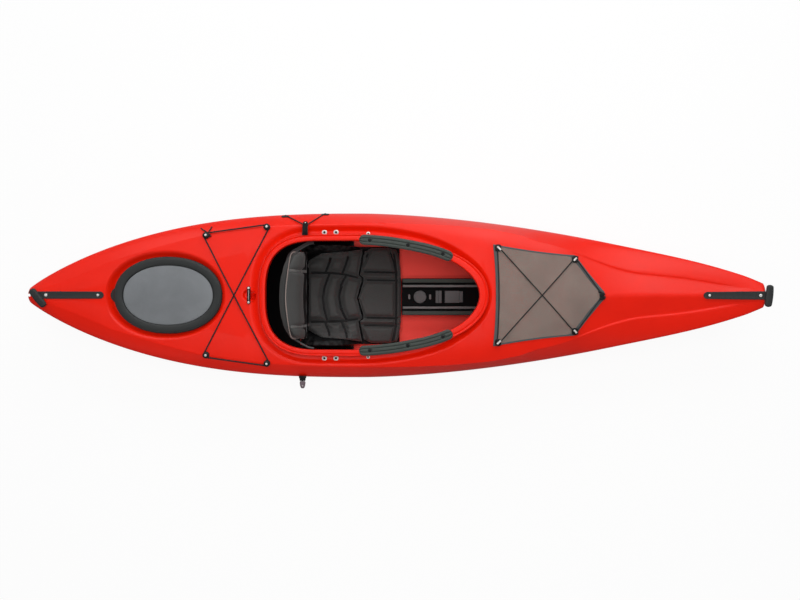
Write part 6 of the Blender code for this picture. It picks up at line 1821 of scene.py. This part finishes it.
@dataclass
class Seat:
    """Cushion, leg lifter pad and backrest with its cover, roll, piping and straps."""

    back_x: float = -0.395
    split_x: float = -0.154
    lifter_back: float = -0.1435
    lifter_front: float = 0.0265
    hinge_x: float = -0.405
    hinge_z: float = 0.088
    back_top: float = 0.338
    back_half: float = 0.192
    roll_centre: float = -0.008
    strap_half: float = 0.0058
    # Padding faces below this height get the near-black cloth: painted shadow on the lower front.
    painted_shade_below: float = 0.232
    back_straps: tuple = (0.112, -0.132)
    piping_side: tuple = ((0.1885, 0.292), (0.1860, 0.309), (0.176, 0.322), (0.150, 0.3310), (0.09, 0.3355))
    side_strap: tuple = ((-0.352, 0.2300, 0.286), (-0.372, 0.2270, 0.287), (-0.395, 0.2160, 0.284),
                         (-0.418, 0.2030, 0.279), (-0.438, 0.1925, 0.272), (-0.452, 0.1840, 0.262),
                         (-0.464, 0.1700, 0.252), (-0.472, 0.150, 0.246))

    def make_cushion(self, dress: Dress) -> None:
        """Builds the seat cushion on the pan."""
        pan = tree_of(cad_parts["seat_pan"].data)

        def base(x: float, y: float) -> float:
            """Height of the cushion's underside."""
            return pan.ray_cast(Vector((min(max(x, -0.425), 0.0), y, 0.5)), Vector((0, 0, -1)))[0].z + 0.0012

        seams = Seams([
            [(self.back_x, 0.104), (-0.30, 0.103), (-0.24, 0.098), (self.split_x, 0.078)],
            [(self.back_x, -0.120), (-0.30, -0.119), (-0.24, -0.117), (self.split_x, -0.105)],
            [(self.back_x + 0.012, 0.160), (-0.345, 0.176)], [(self.back_x + 0.012, -0.170), (-0.345, -0.190)],
            [(-0.299, 0.100), (-0.322, 0.040), (-0.330, -0.010), (-0.324, -0.060), (-0.309, -0.118)],
            [(-0.224, 0.092), (-0.246, 0.050), (-0.256, -0.006), (-0.247, -0.060), (-0.221, -0.116)],
            [(-0.318, 0.103), (-0.302, 0.145), (-0.285, 0.200)], [(-0.320, -0.119), (-0.305, -0.160), (-0.288, -0.210)],
            [(-0.242, 0.098), (-0.224, 0.145), (-0.206, 0.215)], [(-0.244, -0.117), (-0.228, -0.160), (-0.210, -0.220)],
        ], 0.0145)

        def height(x: np.ndarray, y: np.ndarray) -> np.ndarray:
            """Height of the stuffing."""
            column = 1.0 - smoothstep(0.085, 0.125, np.abs(y + 0.008))
            return 0.028 + 0.011 * column + 0.004 * smoothstep(-0.30, -0.20, x)

        def half(x: float) -> float:
            """Half of the width."""
            return float(np.interp(x, (-0.405, -0.372, -0.330, -0.230, -0.154), (0.152, 0.171, 0.189, 0.197, 0.211)))

        def bend(x: np.ndarray, y: np.ndarray) -> np.ndarray:
            """Shift forward, which shapes the front edge."""
            return chevron(x, y, self.split_x, -0.240, 0.0210)

        Pad("seat_quilt", "hull", "seat_cushion", self.back_x, self.split_x, half, base, height,
            bend).make(dress, seams, 0.8)
        lace = spline([(-0.2235, 0.058, 0), (-0.2405, 0.036, 0), (-0.2545, -0.006, 0), (-0.2470, -0.058, 0),
                       (-0.2225, -0.110, 0)], 0.006)
        for point in lace:
            point.z = base(point.x, point.y) + 0.0165
        dress.cord("seat_lace", lace, 0.0024, sides=10)
        bead = turned([(0, -0.0050), (0.0038, -0.0036), (0.0054, 0), (0.0038, 0.0036), (0, 0.0050)], 20)
        beads = [placed(bead, Matrix.Translation((x, y, base(x, y) + 0.0195)))
                 for x, y in ((-0.2405, 0.0385), (-0.2445, -0.0590))]
        dress.piece("seat_beads", joined(*beads), "black_plastic", sharp=35.0)

    def make_lifter(self, dress: Dress) -> None:
        """Builds the pad on the leg lifter's board."""
        seams = Seams([
            [(-0.146, 0.071), (0.020, 0.067)], [(-0.146, 0.108), (0.020, 0.104)],
            [(-0.146, -0.101), (0.020, -0.104)], [(-0.146, -0.136), (0.020, -0.138)],
            [(0.0045, -0.225), (0.0045, 0.225)], [(-0.150, 0.110), (-0.116, 0.225)],
            [(-0.150, -0.138), (-0.124, -0.235)],
            [(-0.022, 0.216), (-0.002, 0.150), (0.003, 0.110)], [(-0.010, -0.222), (0.001, -0.170), (0.003, -0.140)],
        ], 0.0095)

        def base(x: float, y: float) -> float:
            """Height of the pad's underside."""
            return 0.0409 + 0.0120 * float(chevron(x, y, self.lifter_back, -0.120, -1.0))

        def height(x: np.ndarray, y: np.ndarray) -> np.ndarray:
            """Height of the stuffing."""
            centre = 1.0 - smoothstep(0.080, 0.115, np.abs(y + 0.014))
            return (0.020 + 0.010 * centre) * (0.35 + 0.65 * smoothstep(0.0265, -0.004, x))

        def half(x: float) -> float:
            """Half of the width."""
            rear = mix(0.200, 0.2165, float(smoothstep(-0.150, -0.105, x)))
            return rear - 0.006 * float(smoothstep(-0.030, 0.020, x))

        def bend(x: np.ndarray, y: np.ndarray) -> np.ndarray:
            """Shift forward, which shapes both edges."""
            front = -0.020 * np.abs((y + 0.006) / 0.21) ** 4 * smoothstep(-0.040, self.lifter_front, x)
            return chevron(x, y, self.lifter_back, -0.080, 0.0240) + front

        Pad("lifter_quilt", "leg_lifter", "leg_lifter_pad", self.lifter_back, self.lifter_front, half, base,
            height, bend, 80, 160).make(dress, seams, 0.85)

    def rise(self, z: float) -> float:
        """Share of the way from the hinge to the backrest's top."""
        return (z - self.hinge_z) / (self.back_top - self.hinge_z)

    def curve(self, z: float, y: float) -> float:
        """Station of the backrest's rear face at a height and a side."""
        share = self.rise(z)
        lean = 0.092 * (0.35 * share + 0.65 * share * share)
        return self.hinge_x - lean + 0.034 * (y / self.back_half) ** 2 * float(smoothstep(-0.1, 0.7, share))

    def back_point(self, y: float, turn: float) -> Point:
        """A point of the backrest's padding; turn goes round its section from the foot up the front."""
        side = y / self.back_half
        top, foot = self.back_top - 0.030 * abs(side) ** 4, 0.118 + 0.010 * abs(side) ** 3
        end = math.sqrt(max(0.02, 1.0 - max(0.0, (abs(side) - 0.86) / 0.14) ** 2.4))
        up = 0.5 - 0.5 * math.cos(turn)
        z = mix(foot, top, mix(up, 0.5, 1.0 - end))
        share = self.rise(z)
        pinch = math.exp(-((abs(y + 0.010) - 0.122) / 0.0100) ** 2)
        roll = 0.0300 * math.exp(-((share - 0.82) / 0.155) ** 4) * (1.0 - 0.55 * pinch)
        quilt = 0.0035 * math.cos(math.tau * y / 0.098) * (1.0 - float(smoothstep(0.5, 0.62, share)))
        thick = (0.0070 + 0.0110 * float(smoothstep(0.45, 0.70, share)) + roll + quilt) * (1.0 - 0.55 * abs(side) ** 3)
        thick *= 1.0 - 0.22 * pinch
        front = abs(math.sin(turn)) ** 0.55 * thick * end if math.sin(turn) > 0 else 0.0
        back = self.curve(z, y) + 0.0070 + 0.0165 * float(smoothstep(0.45, 0.95, share))
        return back + front, y + self.roll_centre * (1 - side ** 2), z

    def make_padding(self, dress: Dress) -> None:
        """Builds the backrest's padding, with painted shadow on the lower front, where faces take the near-black
        painted-shade cloth.
        """
        rings = []
        for side in np.sin(np.linspace(-math.pi / 2, math.pi / 2, 91)) * 0.55 + np.linspace(-1, 1, 91) * 0.45:
            y = float(side) * self.back_half
            turns = [math.pi * k / 46 for k in range(47)] + [math.pi * (1.0 + k / 12) for k in range(1, 12)]
            rings.append([self.back_point(y, turn) for turn in turns])
        padding = build("back_padding", skin(rings), dress.made["seat_fabric"], 75.0)
        # Painted shadow: the lower front faces take the near-black cloth as their second material.
        padding.data.materials.append(dress.made["painted_shade_black"])
        for face in padding.data.polygons:
            if face.center.z < self.painted_shade_below:
                face.material_index = 1
        settle(padding, "backrest", "seat_fabric", "backrest_cushion")

    def make_trim(self, dress: Dress) -> None:
        """Builds the piping over the backrest and the two straps down its front."""
        ends = [*self.piping_side, (0.0, 0.337)] + [(-y, z) for y, z in reversed(self.piping_side)]
        piping = [(self.curve(z, y) + 0.0265 - 0.0225 * (y / self.back_half) ** 4,
                   y + self.roll_centre * (1 - (y / self.back_half) ** 2), z + 0.0010) for y, z in ends]
        dress.cord("back_piping", spline(piping, 0.004), 0.0020, "piping_grey", sides=12, body="backrest",
                   slot="seat_fabric")
        for number, y in enumerate(self.back_straps, 1):
            rings = []
            for k in range(8, 45):
                place, after = [Vector(self.back_point(y, math.pi * step / 46)) for step in (k, k + 1)]
                out = Vector((after.z - place.z, 0.0, place.x - after.x)).normalized()
                rings.append([place + out * height + Vector((0, across * self.strap_half, 0)) for across, height in
                              ((-1, -0.001), (-1, 0.0012), (-0.86, 0.0019), (0.86, 0.0019), (1, 0.0012), (1, -0.001))])
            dress.piece(f"back_strap_{number}", skin(rings), "strap_grey", sharp=50.0, body="backrest",
                        slot="seat_fabric")

    def make_shell(self, dress: Dress) -> None:
        """Builds the stiff cover behind the padding, with its hinge barrel."""
        rings = []
        for side in np.linspace(-1.0, 1.0, 61):
            y = float(side) * 0.1895
            foot, top = 0.098, 0.3285 - 0.034 * abs(side) ** 5
            inset = 0.45 * max(0.0, abs(side) - 0.94) / 0.06
            shift = self.roll_centre * (1 - side ** 2)
            dent = 1.0 - 0.30 * math.exp(-((abs(y) - 0.105) / 0.012) ** 2)
            front, back = [], []
            for z in [mix(foot, top, mix(k / 22, 0.5, inset * 0.3)) for k in range(23)]:
                lean = float(smoothstep(0.45, 0.95, self.rise(z)))
                soft = math.sin(math.pi * min(1.0, max(0.0, (z - 0.13) / 0.215))) * (1 - side ** 4)
                front.append((self.curve(z, y) + 0.0058 + 0.0165 * lean, y + shift, z))
                back.append((self.curve(z, y) - 0.0006 - 0.0260 * soft * dent, y + shift, z - 0.0008))
            over = [mix(np.array(front[-1]), np.array(back[-1]), k / 6) + (0, 0, 0.0062 * math.sin(math.pi * k / 6))
                    for k in range(1, 6)]
            rings.append(front + over + back[::-1])
        dress.piece("back_cover", skin(rings), "cover_black", "backrest_shell", sharp=60.0, body="backrest",
                    slot="black_plastic")
        dress.cord("back_barrel", [(self.hinge_x, y, self.hinge_z) for y in np.linspace(-0.1265, 0.1265, 30)],
                   0.0073, "black_plastic", sides=24, body="backrest")

    def make_side_straps(self, dress: Dress) -> None:
        """Builds the webbing from the coaming's inside to the backrest."""
        for side, sign in SIDES:
            line = spline([(x, y * sign, z) for x, y, z in self.side_strap], 0.004)
            rings = []
            for point, way in zip(line, ways(line)):
                way = way.normalized()
                level_way = Vector((0, 0, 1)).cross(way).normalized()
                flat = (way.cross(level_way) + level_way * (1.1 if sign > 0 else 0.2)).normalized()
                out = way.cross(flat)
                rings.append([point + flat * a * 0.0110 + out * b for a, b in
                              ((-1, 0.0008), (-0.9, 0.0011), (0.9, 0.0011), (1, 0.0008), (1, -0.0008),
                               (0.9, -0.0011), (-0.9, -0.0011), (-1, -0.0008))])
            strap = build(f"side_strap_{side}", skin(rings), dress.made["webbing_black"], 50.0)
            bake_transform(strap)
            log.info("%s between hull and backrest", strap.name)

    def make(self, dress: Dress) -> None:
        """Builds the whole seat."""
        self.make_cushion(dress)
        self.make_lifter(dress)
        self.make_padding(dress)
        self.make_trim(dress)
        self.make_shell(dress)
        self.make_side_straps(dress)


@dataclass
class Console:
    """The moulded console on the cockpit floor, with rails, cap, bosses and plates."""

    middle: float = -0.006
    back_x: float = 0.0305
    front_x: float = 0.519
    floor_z: float = 0.0604
    shelf_z: float = 0.0744
    wall_y: float = 0.0730
    rail_y: float = 0.0490
    rail_joints: tuple = (0.2167, 0.3160)
    half_section: tuple = (
        (0.0835, 0.0068), (0.0835, 0.0870), (0.0820, 0.0925), (0.0775, 0.0948), (0.0680, 0.0948), (0.0645, 0.0930),
        (0.0630, 0.0890), (0.0622, 0.0742), (0.0415, 0.0742), (0.0408, 0.0732), (0.0396, 0.0602), (0.0, 0.0600))
    cap: tuple = ((0, 0), (0.0290, 0), (0.0292, 0.0066), (0.0280, 0.0086), (0.0255, 0.0096), (0.0240, 0.0094),
                  (0.0232, 0.0084), (0.0130, 0.0088), (0, 0.0090))

    def make_body(self, dress: Dress) -> None:
        """Builds the moulding: a channel between two shelves and two round-edged walls."""
        line = list(self.half_section) + [(-y, z) for y, z in reversed(self.half_section[:-1])]
        rings = []
        for x, shrink in ((self.back_x, 0.0030), (self.back_x + 0.0012, 0.0010), (self.back_x + 0.0035, 0.0),
                          (0.150, 0.0), (0.300, 0.0), (self.front_x - 0.0035, 0.0), (self.front_x, 0.0025)):
            rings.append([(x, self.middle + y - math.copysign(min(shrink, abs(y)), y) * (abs(y) > 0.07),
                           z - shrink * (z > 0.08)) for y, z in line])
        dress.piece("console_body", skin(rings), "pan_black", "centre_console", sharp=30.0, slot="black_plastic")

    def make_trim(self, dress: Dress) -> None:
        """Builds the pale strips on the two walls' tops: painted highlight, for light on the tops of the black walls.
        """
        strip = block((self.front_x - self.back_x) / 2 - 0.004, 0.0088, 0.0030, 0.0030, 0.0014)
        strips = [placed(strip, Matrix.Translation(((self.back_x + self.front_x) / 2,
                                                    self.middle + sign * self.wall_y, 0.0942))) for sign in (1, -1)]
        dress.piece("console_trim", joined(*strips), "thigh_pad_grey", sharp=45.0, slot="black_plastic")

    def make_rails(self, dress: Dress) -> None:
        """Builds the two pale rails, each with two joints."""
        stations = sorted([0.0345, 0.0355, 0.038, 0.505, 0.509, 0.510]
                          + [j + d for j in self.rail_joints for d in (-0.0022, -0.0014, 0.0, 0.0014, 0.0022)])
        for side, sign in SIDES:
            rings = []
            for x in stations:
                low = 0.0034 * any(abs(x - j) < 0.0018 for j in self.rail_joints)
                low += 0.003 * (x < 0.035 or x > 0.5095)
                rings.append([(x, self.middle + sign * self.rail_y + 0.0056 * across,
                               self.shelf_z + 0.0049 + 0.0047 * up - low * (up > 0)) for across, up in
                              section(20, 0.5, 0.6)])
            dress.piece(f"console_runner_{side}", skin(rings), "rail_grey", f"console_rail_{side}",
                        slot="grey_plastic")

    def on_floor(self, *forms: tuple[float, Form]) -> Form:
        """Forms set on the console's floor, each at its station, as one."""
        return joined(*[placed(form, Matrix.Translation((x, self.middle, self.floor_z))) for x, form in forms])

    def make_tops(self, dress: Dress) -> None:
        """Builds the round cap, the two bosses beside it and the two plates."""
        dress.piece("console_disc", self.on_floor((0.1128, turned(self.cap, 64))), "grey_plastic", "console_cap",
                    sharp=35.0)
        boss = block(0.0050, 0.0120, 0.0048, 0.0060, 0.0026)
        dress.piece("console_bosses", self.on_floor((0.0640, boss), (0.1590, boss)), "rail_grey", sharp=45.0,
                    slot="grey_plastic")
        aft = self.on_floor((0.1906, block(0.0063, 0.0283, 0.0012, 0.0088, 0.0010)),
                            (0.2045, block(0.0068, 0.0283, 0.0012, 0.0074, 0.0010)))
        dress.piece("console_clamp_aft", aft, "grey_plastic", "console_plate_aft")
        fore = self.on_floor((0.2585, block(0.0330, 0.0275, 0.0015, 0.0115, 0.0012)),
                             (0.3000, block(0.0085, 0.0255, 0.0015, 0.0080, 0.0012)),
                             (0.3000, block(0.0060, 0.0130, 0.0040, 0.0100, 0.0012)))
        dress.piece("console_clamp_fore", fore, "grey_plastic", "console_plate_fore")

    def make(self, dress: Dress) -> None:
        """Builds the whole console."""
        self.make_body(dress)
        self.make_trim(dress)
        self.make_rails(dress)
        self.make_tops(dress)


@dataclass
class PaddlePark:
    """The hooked tab on the port rim and the V of cord that holds it down, on two eyes."""

    buttons: DeckButtons
    lines: HullLines
    x: float = -0.3885
    eyes: tuple = (("aft", -0.4813), ("fore", -0.3065))
    radius: float = 0.0025
    thickness: float = 0.0019
    path: tuple = ((0.2600, 0.0026), (0.2680, 0.0030), (0.2780, 0.0016), (0.2930, -0.0040), (0.3080, -0.0105),
                   (0.3200, -0.0160))

    def make_tab(self, dress: Dress) -> list[Vector]:
        """Builds the tab and its rivet, and gives the tab's centre line."""
        rim = float(self.lines.rim_top(self.x))
        line = spline([(self.x, y, rim + z) for y, z in self.path], 0.0022)
        rings = []
        for k, point in enumerate(line):
            share = k / (len(line) - 1)
            half = mix(0.0128, 0.0112, share) * math.sqrt(1.0 - max(0.0, (share - 0.80) / 0.20) ** 2 * 0.72)
            thick = self.thickness * (0.5 if k in (0, len(line) - 1) else 1.0)
            rings.append([point + Vector((a * half, 0, b * thick)) for a, b in
                          ((-1, -0.6), (-1, 0.6), (-0.88, 1), (-0.5, 0.8), (0.5, 0.8), (0.88, 1), (1, 0.6),
                           (1, -0.6), (0.88, -1), (-0.88, -1))])
        dress.piece("paddle_hook", skin(rings), "pan_black", "paddle_tab", slot="black_plastic")
        place = Matrix.Translation(line[-4] + Vector((0, 0, 0.0014)))
        dress.piece("paddle_rivet", placed(socket_screw(0.0026, 0.0012, 0.5), place), "stainless_steel", sharp=35.0)
        return line

    def make(self, dress: Dress) -> None:
        """Builds the tab, its rivet, the eyes and the cord."""
        line, up = self.make_tab(dress), Vector((0, 0, 1))
        route = []
        for (name, x), sign in zip(self.eyes, (-1, 1)):
            place = seat_at(*self.buttons.surface.beside(x, float(self.lines.gunwale(x)) + 0.020, 1.0))
            eye = joined(block(0.0172, 0.0072, 0.0070, 0.0034, 0.0018), block(0.0060, 0.0042, 0.0040, 0.0060, 0.0022))
            dress.piece(f"paddle_pad_{name}", placed(eye, place), "black_rubber", f"paddle_eye_{name}", sharp=45.0)
            seat = place @ Vector((0.0, 0.0065, 0.0036))
            hold = Vector((self.x + sign * 0.0105, line[-7].y, line[-7].z - 0.0052))
            run = self.buttons.run(seat.xy, hold.xy, (seat, up), (hold, up), self.radius)
            route += run if sign < 0 else run[::-1]
        dress.cord("paddle_cord", spline(route, 0.004), self.radius, "cord_black", "paddle_bungee", sides=12)


@dataclass
class SkegPull:
    """The skeg's cleat on the starboard side and the tab that is pulled out of it."""

    x: float = -0.4055
    z: float = 0.2368
    outside: tuple = ((-0.3530, 0.0165, 0.0112), (-0.3600, 0.0162, 0.0106), (-0.3635, 0.0150, 0.0096),
                      (-0.3655, 0.0134, 0.0088), (-0.3735, 0.0130, 0.0084), (-0.3755, 0.0118, 0.0074))
    inside: tuple = ((-0.3750, 0.0052, 0.0040), (-0.3540, 0.0052, 0.0040))
    tab: tuple = ((-0.3768, 0.0070, 0.0030), (-0.3778, 0.0108, 0.0046), (-0.3800, 0.0124, 0.0052),
                  (-0.3870, 0.0126, 0.0056), (-0.3960, 0.0112, 0.0054), (-0.4030, 0.0090, 0.0048),
                  (-0.4070, 0.0064, 0.0036), (-0.4086, 0.0034, 0.0020))

    def ring(self, y: float, half_x: float, half_z: float, power: float = 0.55) -> list[Point]:
        """A rounded section across the pull."""
        return [(self.x + half_x * a, y, self.z + half_z * b) for a, b in section(36, power, power)]

    def make(self, dress: Dress) -> None:
        """Builds the cleat, the tab with its rivet and the line between them."""
        cleat = skin([self.ring(*row) for row in self.outside + self.inside], closed_rows=True)
        dress.piece("skeg_fairlead", cleat, "black_plastic", "skeg_cleat")
        tab = skin([self.ring(*row, 0.75) for row in self.tab])
        dress.piece("skeg_tab", tab, "pull_grey", "skeg_handle", sharp=50.0, body="skeg_pull", slot="grey_plastic")
        place = Matrix.Translation((self.x, -0.3975, self.z + 0.0046))
        dress.piece("skeg_rivet", placed(socket_screw(0.0030, 0.0014, 0.4), place), "stainless_steel", sharp=35.0,
                    body="skeg_pull")
        points = [Vector((self.x, y, self.z)) for y in np.linspace(-0.3560, -0.3790, 24)]
        line = rope("skeg_line", points, 0.0016, dress.made["cord_black"], 10)
        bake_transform(line)
        log.info("%s between hull and skeg_pull", line.name)


@dataclass
class Interior:
    """Foam bulkhead and bow pillar, and a black sheet on the floor behind and beside the seat: painted shade for the
    deep shadow there.
    """

    hull: Hull
    bulkhead_x: float = -0.692
    bulkhead_layers: tuple = ((0.0110, -0.6915), (0.0088, -0.6895), (0.0088, -0.6685), (0.0110, -0.6665))
    pillar_layers: tuple = ((0.0030, -0.0335), (0.0008, -0.0310), (0.0008, 0.0310), (0.0030, 0.0335))
    # The black sheet behind and beside the seat is painted shade, laid where deep shadow falls.
    shade_sheet_rise: float = 0.009
    shade_sheet_lift: float = 0.0042
    shade_sheet_thickness: float = 0.0026
    # Each part: back and front station, inner and outer side, columns of its grid
    shade_sheet_parts: tuple = ((-0.660, -0.436, -0.300, 0.300, 60), (-0.4362, -0.190, 0.2285, 0.300, 10),
                         (-0.4362, -0.190, -0.300, -0.2285, 10))

    def outline(self, x: float) -> np.ndarray:
        """The hull's outline across a station, as points of side and height, counter-clockwise."""
        sides = self.hull.side_rings(np.array([x]))[0]
        seam = float(self.hull.seam_share(x)) * float(self.hull.lines.beam(x))
        top = [(y, float(self.hull.lines.deck(x, y))) for y in np.linspace(-seam, seam, 60)[1:-1]]
        loop = np.array([(y, z) for _, y, z in sides] + top)[::-1]
        return spaced(loop, 260)[0]

    def floor_height(self, x: float, y: float) -> float:
        """Height of the hull's inside at a place near the bottom."""
        hull = self.hull
        share = min(1.0, max(0.0, (abs(y) / float(hull.lines.beam(x)) - hull.flat_share) / hull.bilge_share))
        sine = math.sqrt(max(0.0, 1.0 - share ** 2.5))
        return float(hull.lines.bottom(x, 1.0 - sine ** hull.bilge_power)) + hull.wall + self.shade_sheet_rise * share

    def make_bulkhead(self, dress: Dress) -> None:
        """Builds the foam bulkhead behind the seat."""
        across = Matrix(((0, 0, 1), (1, 0, 0), (0, 1, 0))).to_4x4()
        plate = placed(slab(self.outline(self.bulkhead_x), self.bulkhead_layers), across)
        dress.piece("bulkhead_foam", plate, "grey_foam", "rear_bulkhead")

    def make_pillar(self, dress: Dress) -> None:
        """Builds the foam pillar under the fore deck."""
        lines = self.hull.lines
        xs = np.linspace(0.542, 1.098, 40)
        top = [(x, float(min(lines.deck(x, 0.034), lines.deck(x, 0.0))) - 0.0088) for x in xs[::-1]]
        low = [(x, float(lines.bottom(x, 0.0)) + self.hull.wall + 0.0012) for x in xs]
        upright = Matrix(((1, 0, 0), (0, 0, 1), (0, 1, 0))).to_4x4()
        dress.piece("pillar_foam", placed(slab(np.array(low + top), self.pillar_layers), upright), "grey_foam",
                    "bow_pillar")

    def make_shade_sheet(self, dress: Dress) -> None:
        """Builds the black sheet that lines the hull behind and beside the seat: painted shade for the deep shadow
        there.
        """
        parts = []
        for back, front, low, high, columns in self.shade_sheet_parts:
            xs, ys = np.linspace(back, front, 24), np.linspace(low, high, columns)
            upper = [(x, y, self.floor_height(x, y) + self.shade_sheet_lift) for x in xs for y in ys]
            lower = [(x, y, z - self.shade_sheet_thickness) for x, y, z in upper]
            parts.append(sheet_form(upper + lower, len(xs), len(ys)))
        dress.piece("painted_shade_sheet", joined(*parts), "pan_black", slot="black_plastic")

    def make(self, dress: Dress) -> None:
        """Builds all three."""
        self.make_bulkhead(dress)
        self.make_pillar(dress)
        self.make_shade_sheet(dress)


# Studio

@dataclass(frozen=True)
class Studio:
    """Camera over the deck, pale floor, a large soft light on the port side and a fill."""

    camera_at: Point = (0.022, -0.0204, 5.0)
    camera_turn: float = 0.0006
    lens: float = 48.8
    key_power: float = 60.0
    fill_power: float = 200.0
    strip_power: float = 4.0
    bow_power: float = 7.0
    world_level: float = 0.20
    dim_side: float = 0.08
    floor_half: float = 7.0
    floor_z: float = -0.0005

    def make(self) -> None:
        """Builds the camera, lights, world and floor."""
        data = bpy.data.cameras.new("overhead")
        data.lens = self.lens
        camera = bpy.data.objects.new("overhead", data)
        camera.location = self.camera_at
        camera.rotation_euler = (0.0, 0.0, self.camera_turn)
        bpy.context.scene.collection.objects.link(camera)
        bpy.context.scene.camera = camera
        bpy.context.scene.view_settings.view_transform = "Standard"
        self.lamp("port_softbox", (0.0, 2.6, 2.3), (0.0, 0.0, 0.2), (4.6, 1.8), self.key_power)
        self.lamp("overhead_fill", (0.0, 0.3, 6.0), (0.0, 0.0, 0.2), (5.0, 3.5), self.fill_power, False)
        self.lamp("starboard_strip", (-0.3, -2.7, 1.75), (0.0, 0.0, 0.25), (5.0, 0.30), self.strip_power)
        self.lamp("bow_softbox", (1.35, 1.75, 2.55), (1.15, 0.05, 0.3), (1.7, 0.35), self.bow_power)
        self.world()
        self.floor()

    @staticmethod
    def lamp(name: str, place: Point, aim: Point, size: tuple[float, float], power: float,
             mirrored: bool = True) -> None:
        """Adds one rectangular soft light; mirrored says whether glossy surfaces show it."""
        data = bpy.data.lights.new(name, "AREA")
        data.shape = "RECTANGLE"
        data.size, data.size_y = size
        data.energy = power
        lamp = bpy.data.objects.new(name, data)
        lamp.location = place
        toward = (Vector(aim) - Vector(place)).normalized()
        side = Vector((1, 0, 0))
        up = side.cross(toward).normalized() * -1.0
        lamp.matrix_world = Matrix.Translation(place) @ Matrix((side, up, -toward)).transposed().to_4x4()
        lamp.visible_glossy = mirrored
        bpy.context.scene.collection.objects.link(lamp)

    def world(self) -> None:
        """Even light all round; the camera sees it white, and glossy surfaces see it dim to starboard."""
        world = bpy.data.worlds.new("studio")
        bpy.context.scene.world = world
        world.use_nodes = True
        bench = Bench(world.node_tree)
        rays = bench.node("LightPath")
        port = bench.parts(bench.node("TexCoord").outputs["Generated"])[1]
        seen = self.seen(bench, rays, self.arch(bench, port, (-0.15, 0.55), (0.62, 0.95)))
        strength = bench.math("MULTIPLY_ADD", seen, 1.0 - self.world_level, self.world_level)
        back = bench.node("Background", Color=(1.0, 1.0, 1.0, 1.0), Strength=strength)
        bench.node("OutputWorld", Surface=back.outputs[0])

    @staticmethod
    def arch(bench: Bench, value: Socket, up: tuple[float, float], down: tuple[float, float]) -> Socket:
        """Rises to 1 over the first span and falls to about a third over the second."""
        fall = bench.math("MULTIPLY_ADD", bench.rise(value, *down), -0.65, 1.0)
        return bench.math("MULTIPLY", bench.rise(value, *up), fall)

    def seen(self, bench: Bench, rays: bpy.types.Node, port_share: Socket) -> Socket:
        """Share of white that a ray sees: all for the camera, less to starboard for glossy rays."""
        direct = bench.math("MAXIMUM", rays.outputs["Is Camera Ray"], rays.outputs["Is Transmission Ray"])
        graded = bench.math("MULTIPLY_ADD", port_share, 1.0 - self.dim_side, self.dim_side)
        return bench.math("MAXIMUM", direct, bench.math("MULTIPLY", rays.outputs["Is Glossy Ray"], graded))

    def floor(self) -> None:
        """A pale floor that keeps a light shadow; glossy rays see it darker to starboard, a painted dark reflection for
        the hull's starboard side.
        """
        mesh = bpy.data.meshes.new("floor")
        mesh.from_pydata([(x * self.floor_half, y * self.floor_half, self.floor_z) for x, y in
                          ((-1, -1), (1, -1), (1, 1), (-1, 1))], [], [(0, 1, 2, 3)])
        floor = bpy.data.objects.new("floor", mesh)
        bpy.context.scene.collection.objects.link(floor)
        material = bpy.data.materials.new("floor_white")
        material.use_nodes = True
        bench = Bench(material.node_tree)
        rays = bench.node("LightPath")
        port = bench.parts(bench.node("TexCoord").outputs["Object"])[1]
        seen = self.seen(bench, rays, bench.math("MULTIPLY", bench.rise(port, -0.5, 0.8), 0.4))
        # For glossy rays the floor's colour darkens to starboard: painted dark reflection for the hull's starboard
        # side.
        shade = bench.math("MULTIPLY_ADD", bench.math("SUBTRACT", seen, 1.0), rays.outputs["Is Glossy Ray"], 1.0)
        matte = bench.node("BsdfDiffuse", Color=bench.blend(shade, (0.0, 0.0, 0.0, 1.0), (0.86, 0.86, 0.86, 1.0)))
        glow = bench.node("Emission", Color=(1.0, 1.0, 1.0, 1.0), Strength=1.0)
        blend = bench.node("MixShader", i0=bench.math("MULTIPLY", seen, 0.93), i1=matte.outputs[0],
                           i2=glow.outputs[0])
        bench.node("OutputMaterial", Surface=blend.outputs[0])
        mesh.materials.append(material)


def dress_frame(dress: Dress) -> None:
    """Gives each carried-over CAD node the material of its own slot."""
    for name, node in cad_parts.items():
        slots = node.material_slots
        wanted = slots[0].material.name.split(".")[0] if slots and slots[0].material else ""
        wanted = "pan_black" if name == "seat_pan" else wanted
        if wanted in dress.made:
            slots[0].material = dress.made[wanted]
        else:
            log.warning("%s has no finish for %r", name, wanted)


def main() -> None:
    """Builds every piece in order."""
    logging.basicConfig(level=logging.INFO, format="%(name)s: %(message)s")
    Studio().make()
    dress = Dress()
    for finish in FINISHES:
        finish.make(dress)
    dress_frame(dress)
    form = Hull()
    hull = form.make(dress)
    deck = DeckSurface(hull)
    HatchCover(form).make(dress)
    CarryHandle(deck, End.STERN, -1.540, -1.263, 0.0160, 0.0155, math.radians(-39.0), (-1.512, -1.288)).make(dress)
    CarryHandle(deck, End.BOW, 1.593, 1.329, 0.0182, 0.0150, math.radians(-6.0), (1.570, 1.354)).make(dress)
    SecurityBar(deck).make(dress)
    buttons = DeckButtons(deck)
    SternRigging(buttons, form).make(dress)
    BowRigging(buttons).make(dress)
    RimFittings(deck, form).make(dress)
    Seat().make(dress)
    Console().make(dress)
    PaddlePark(buttons, form.lines).make(dress)
    SkegPull().make(dress)
    Interior(form).make(dress)


if __name__ == "__main__":
    main()
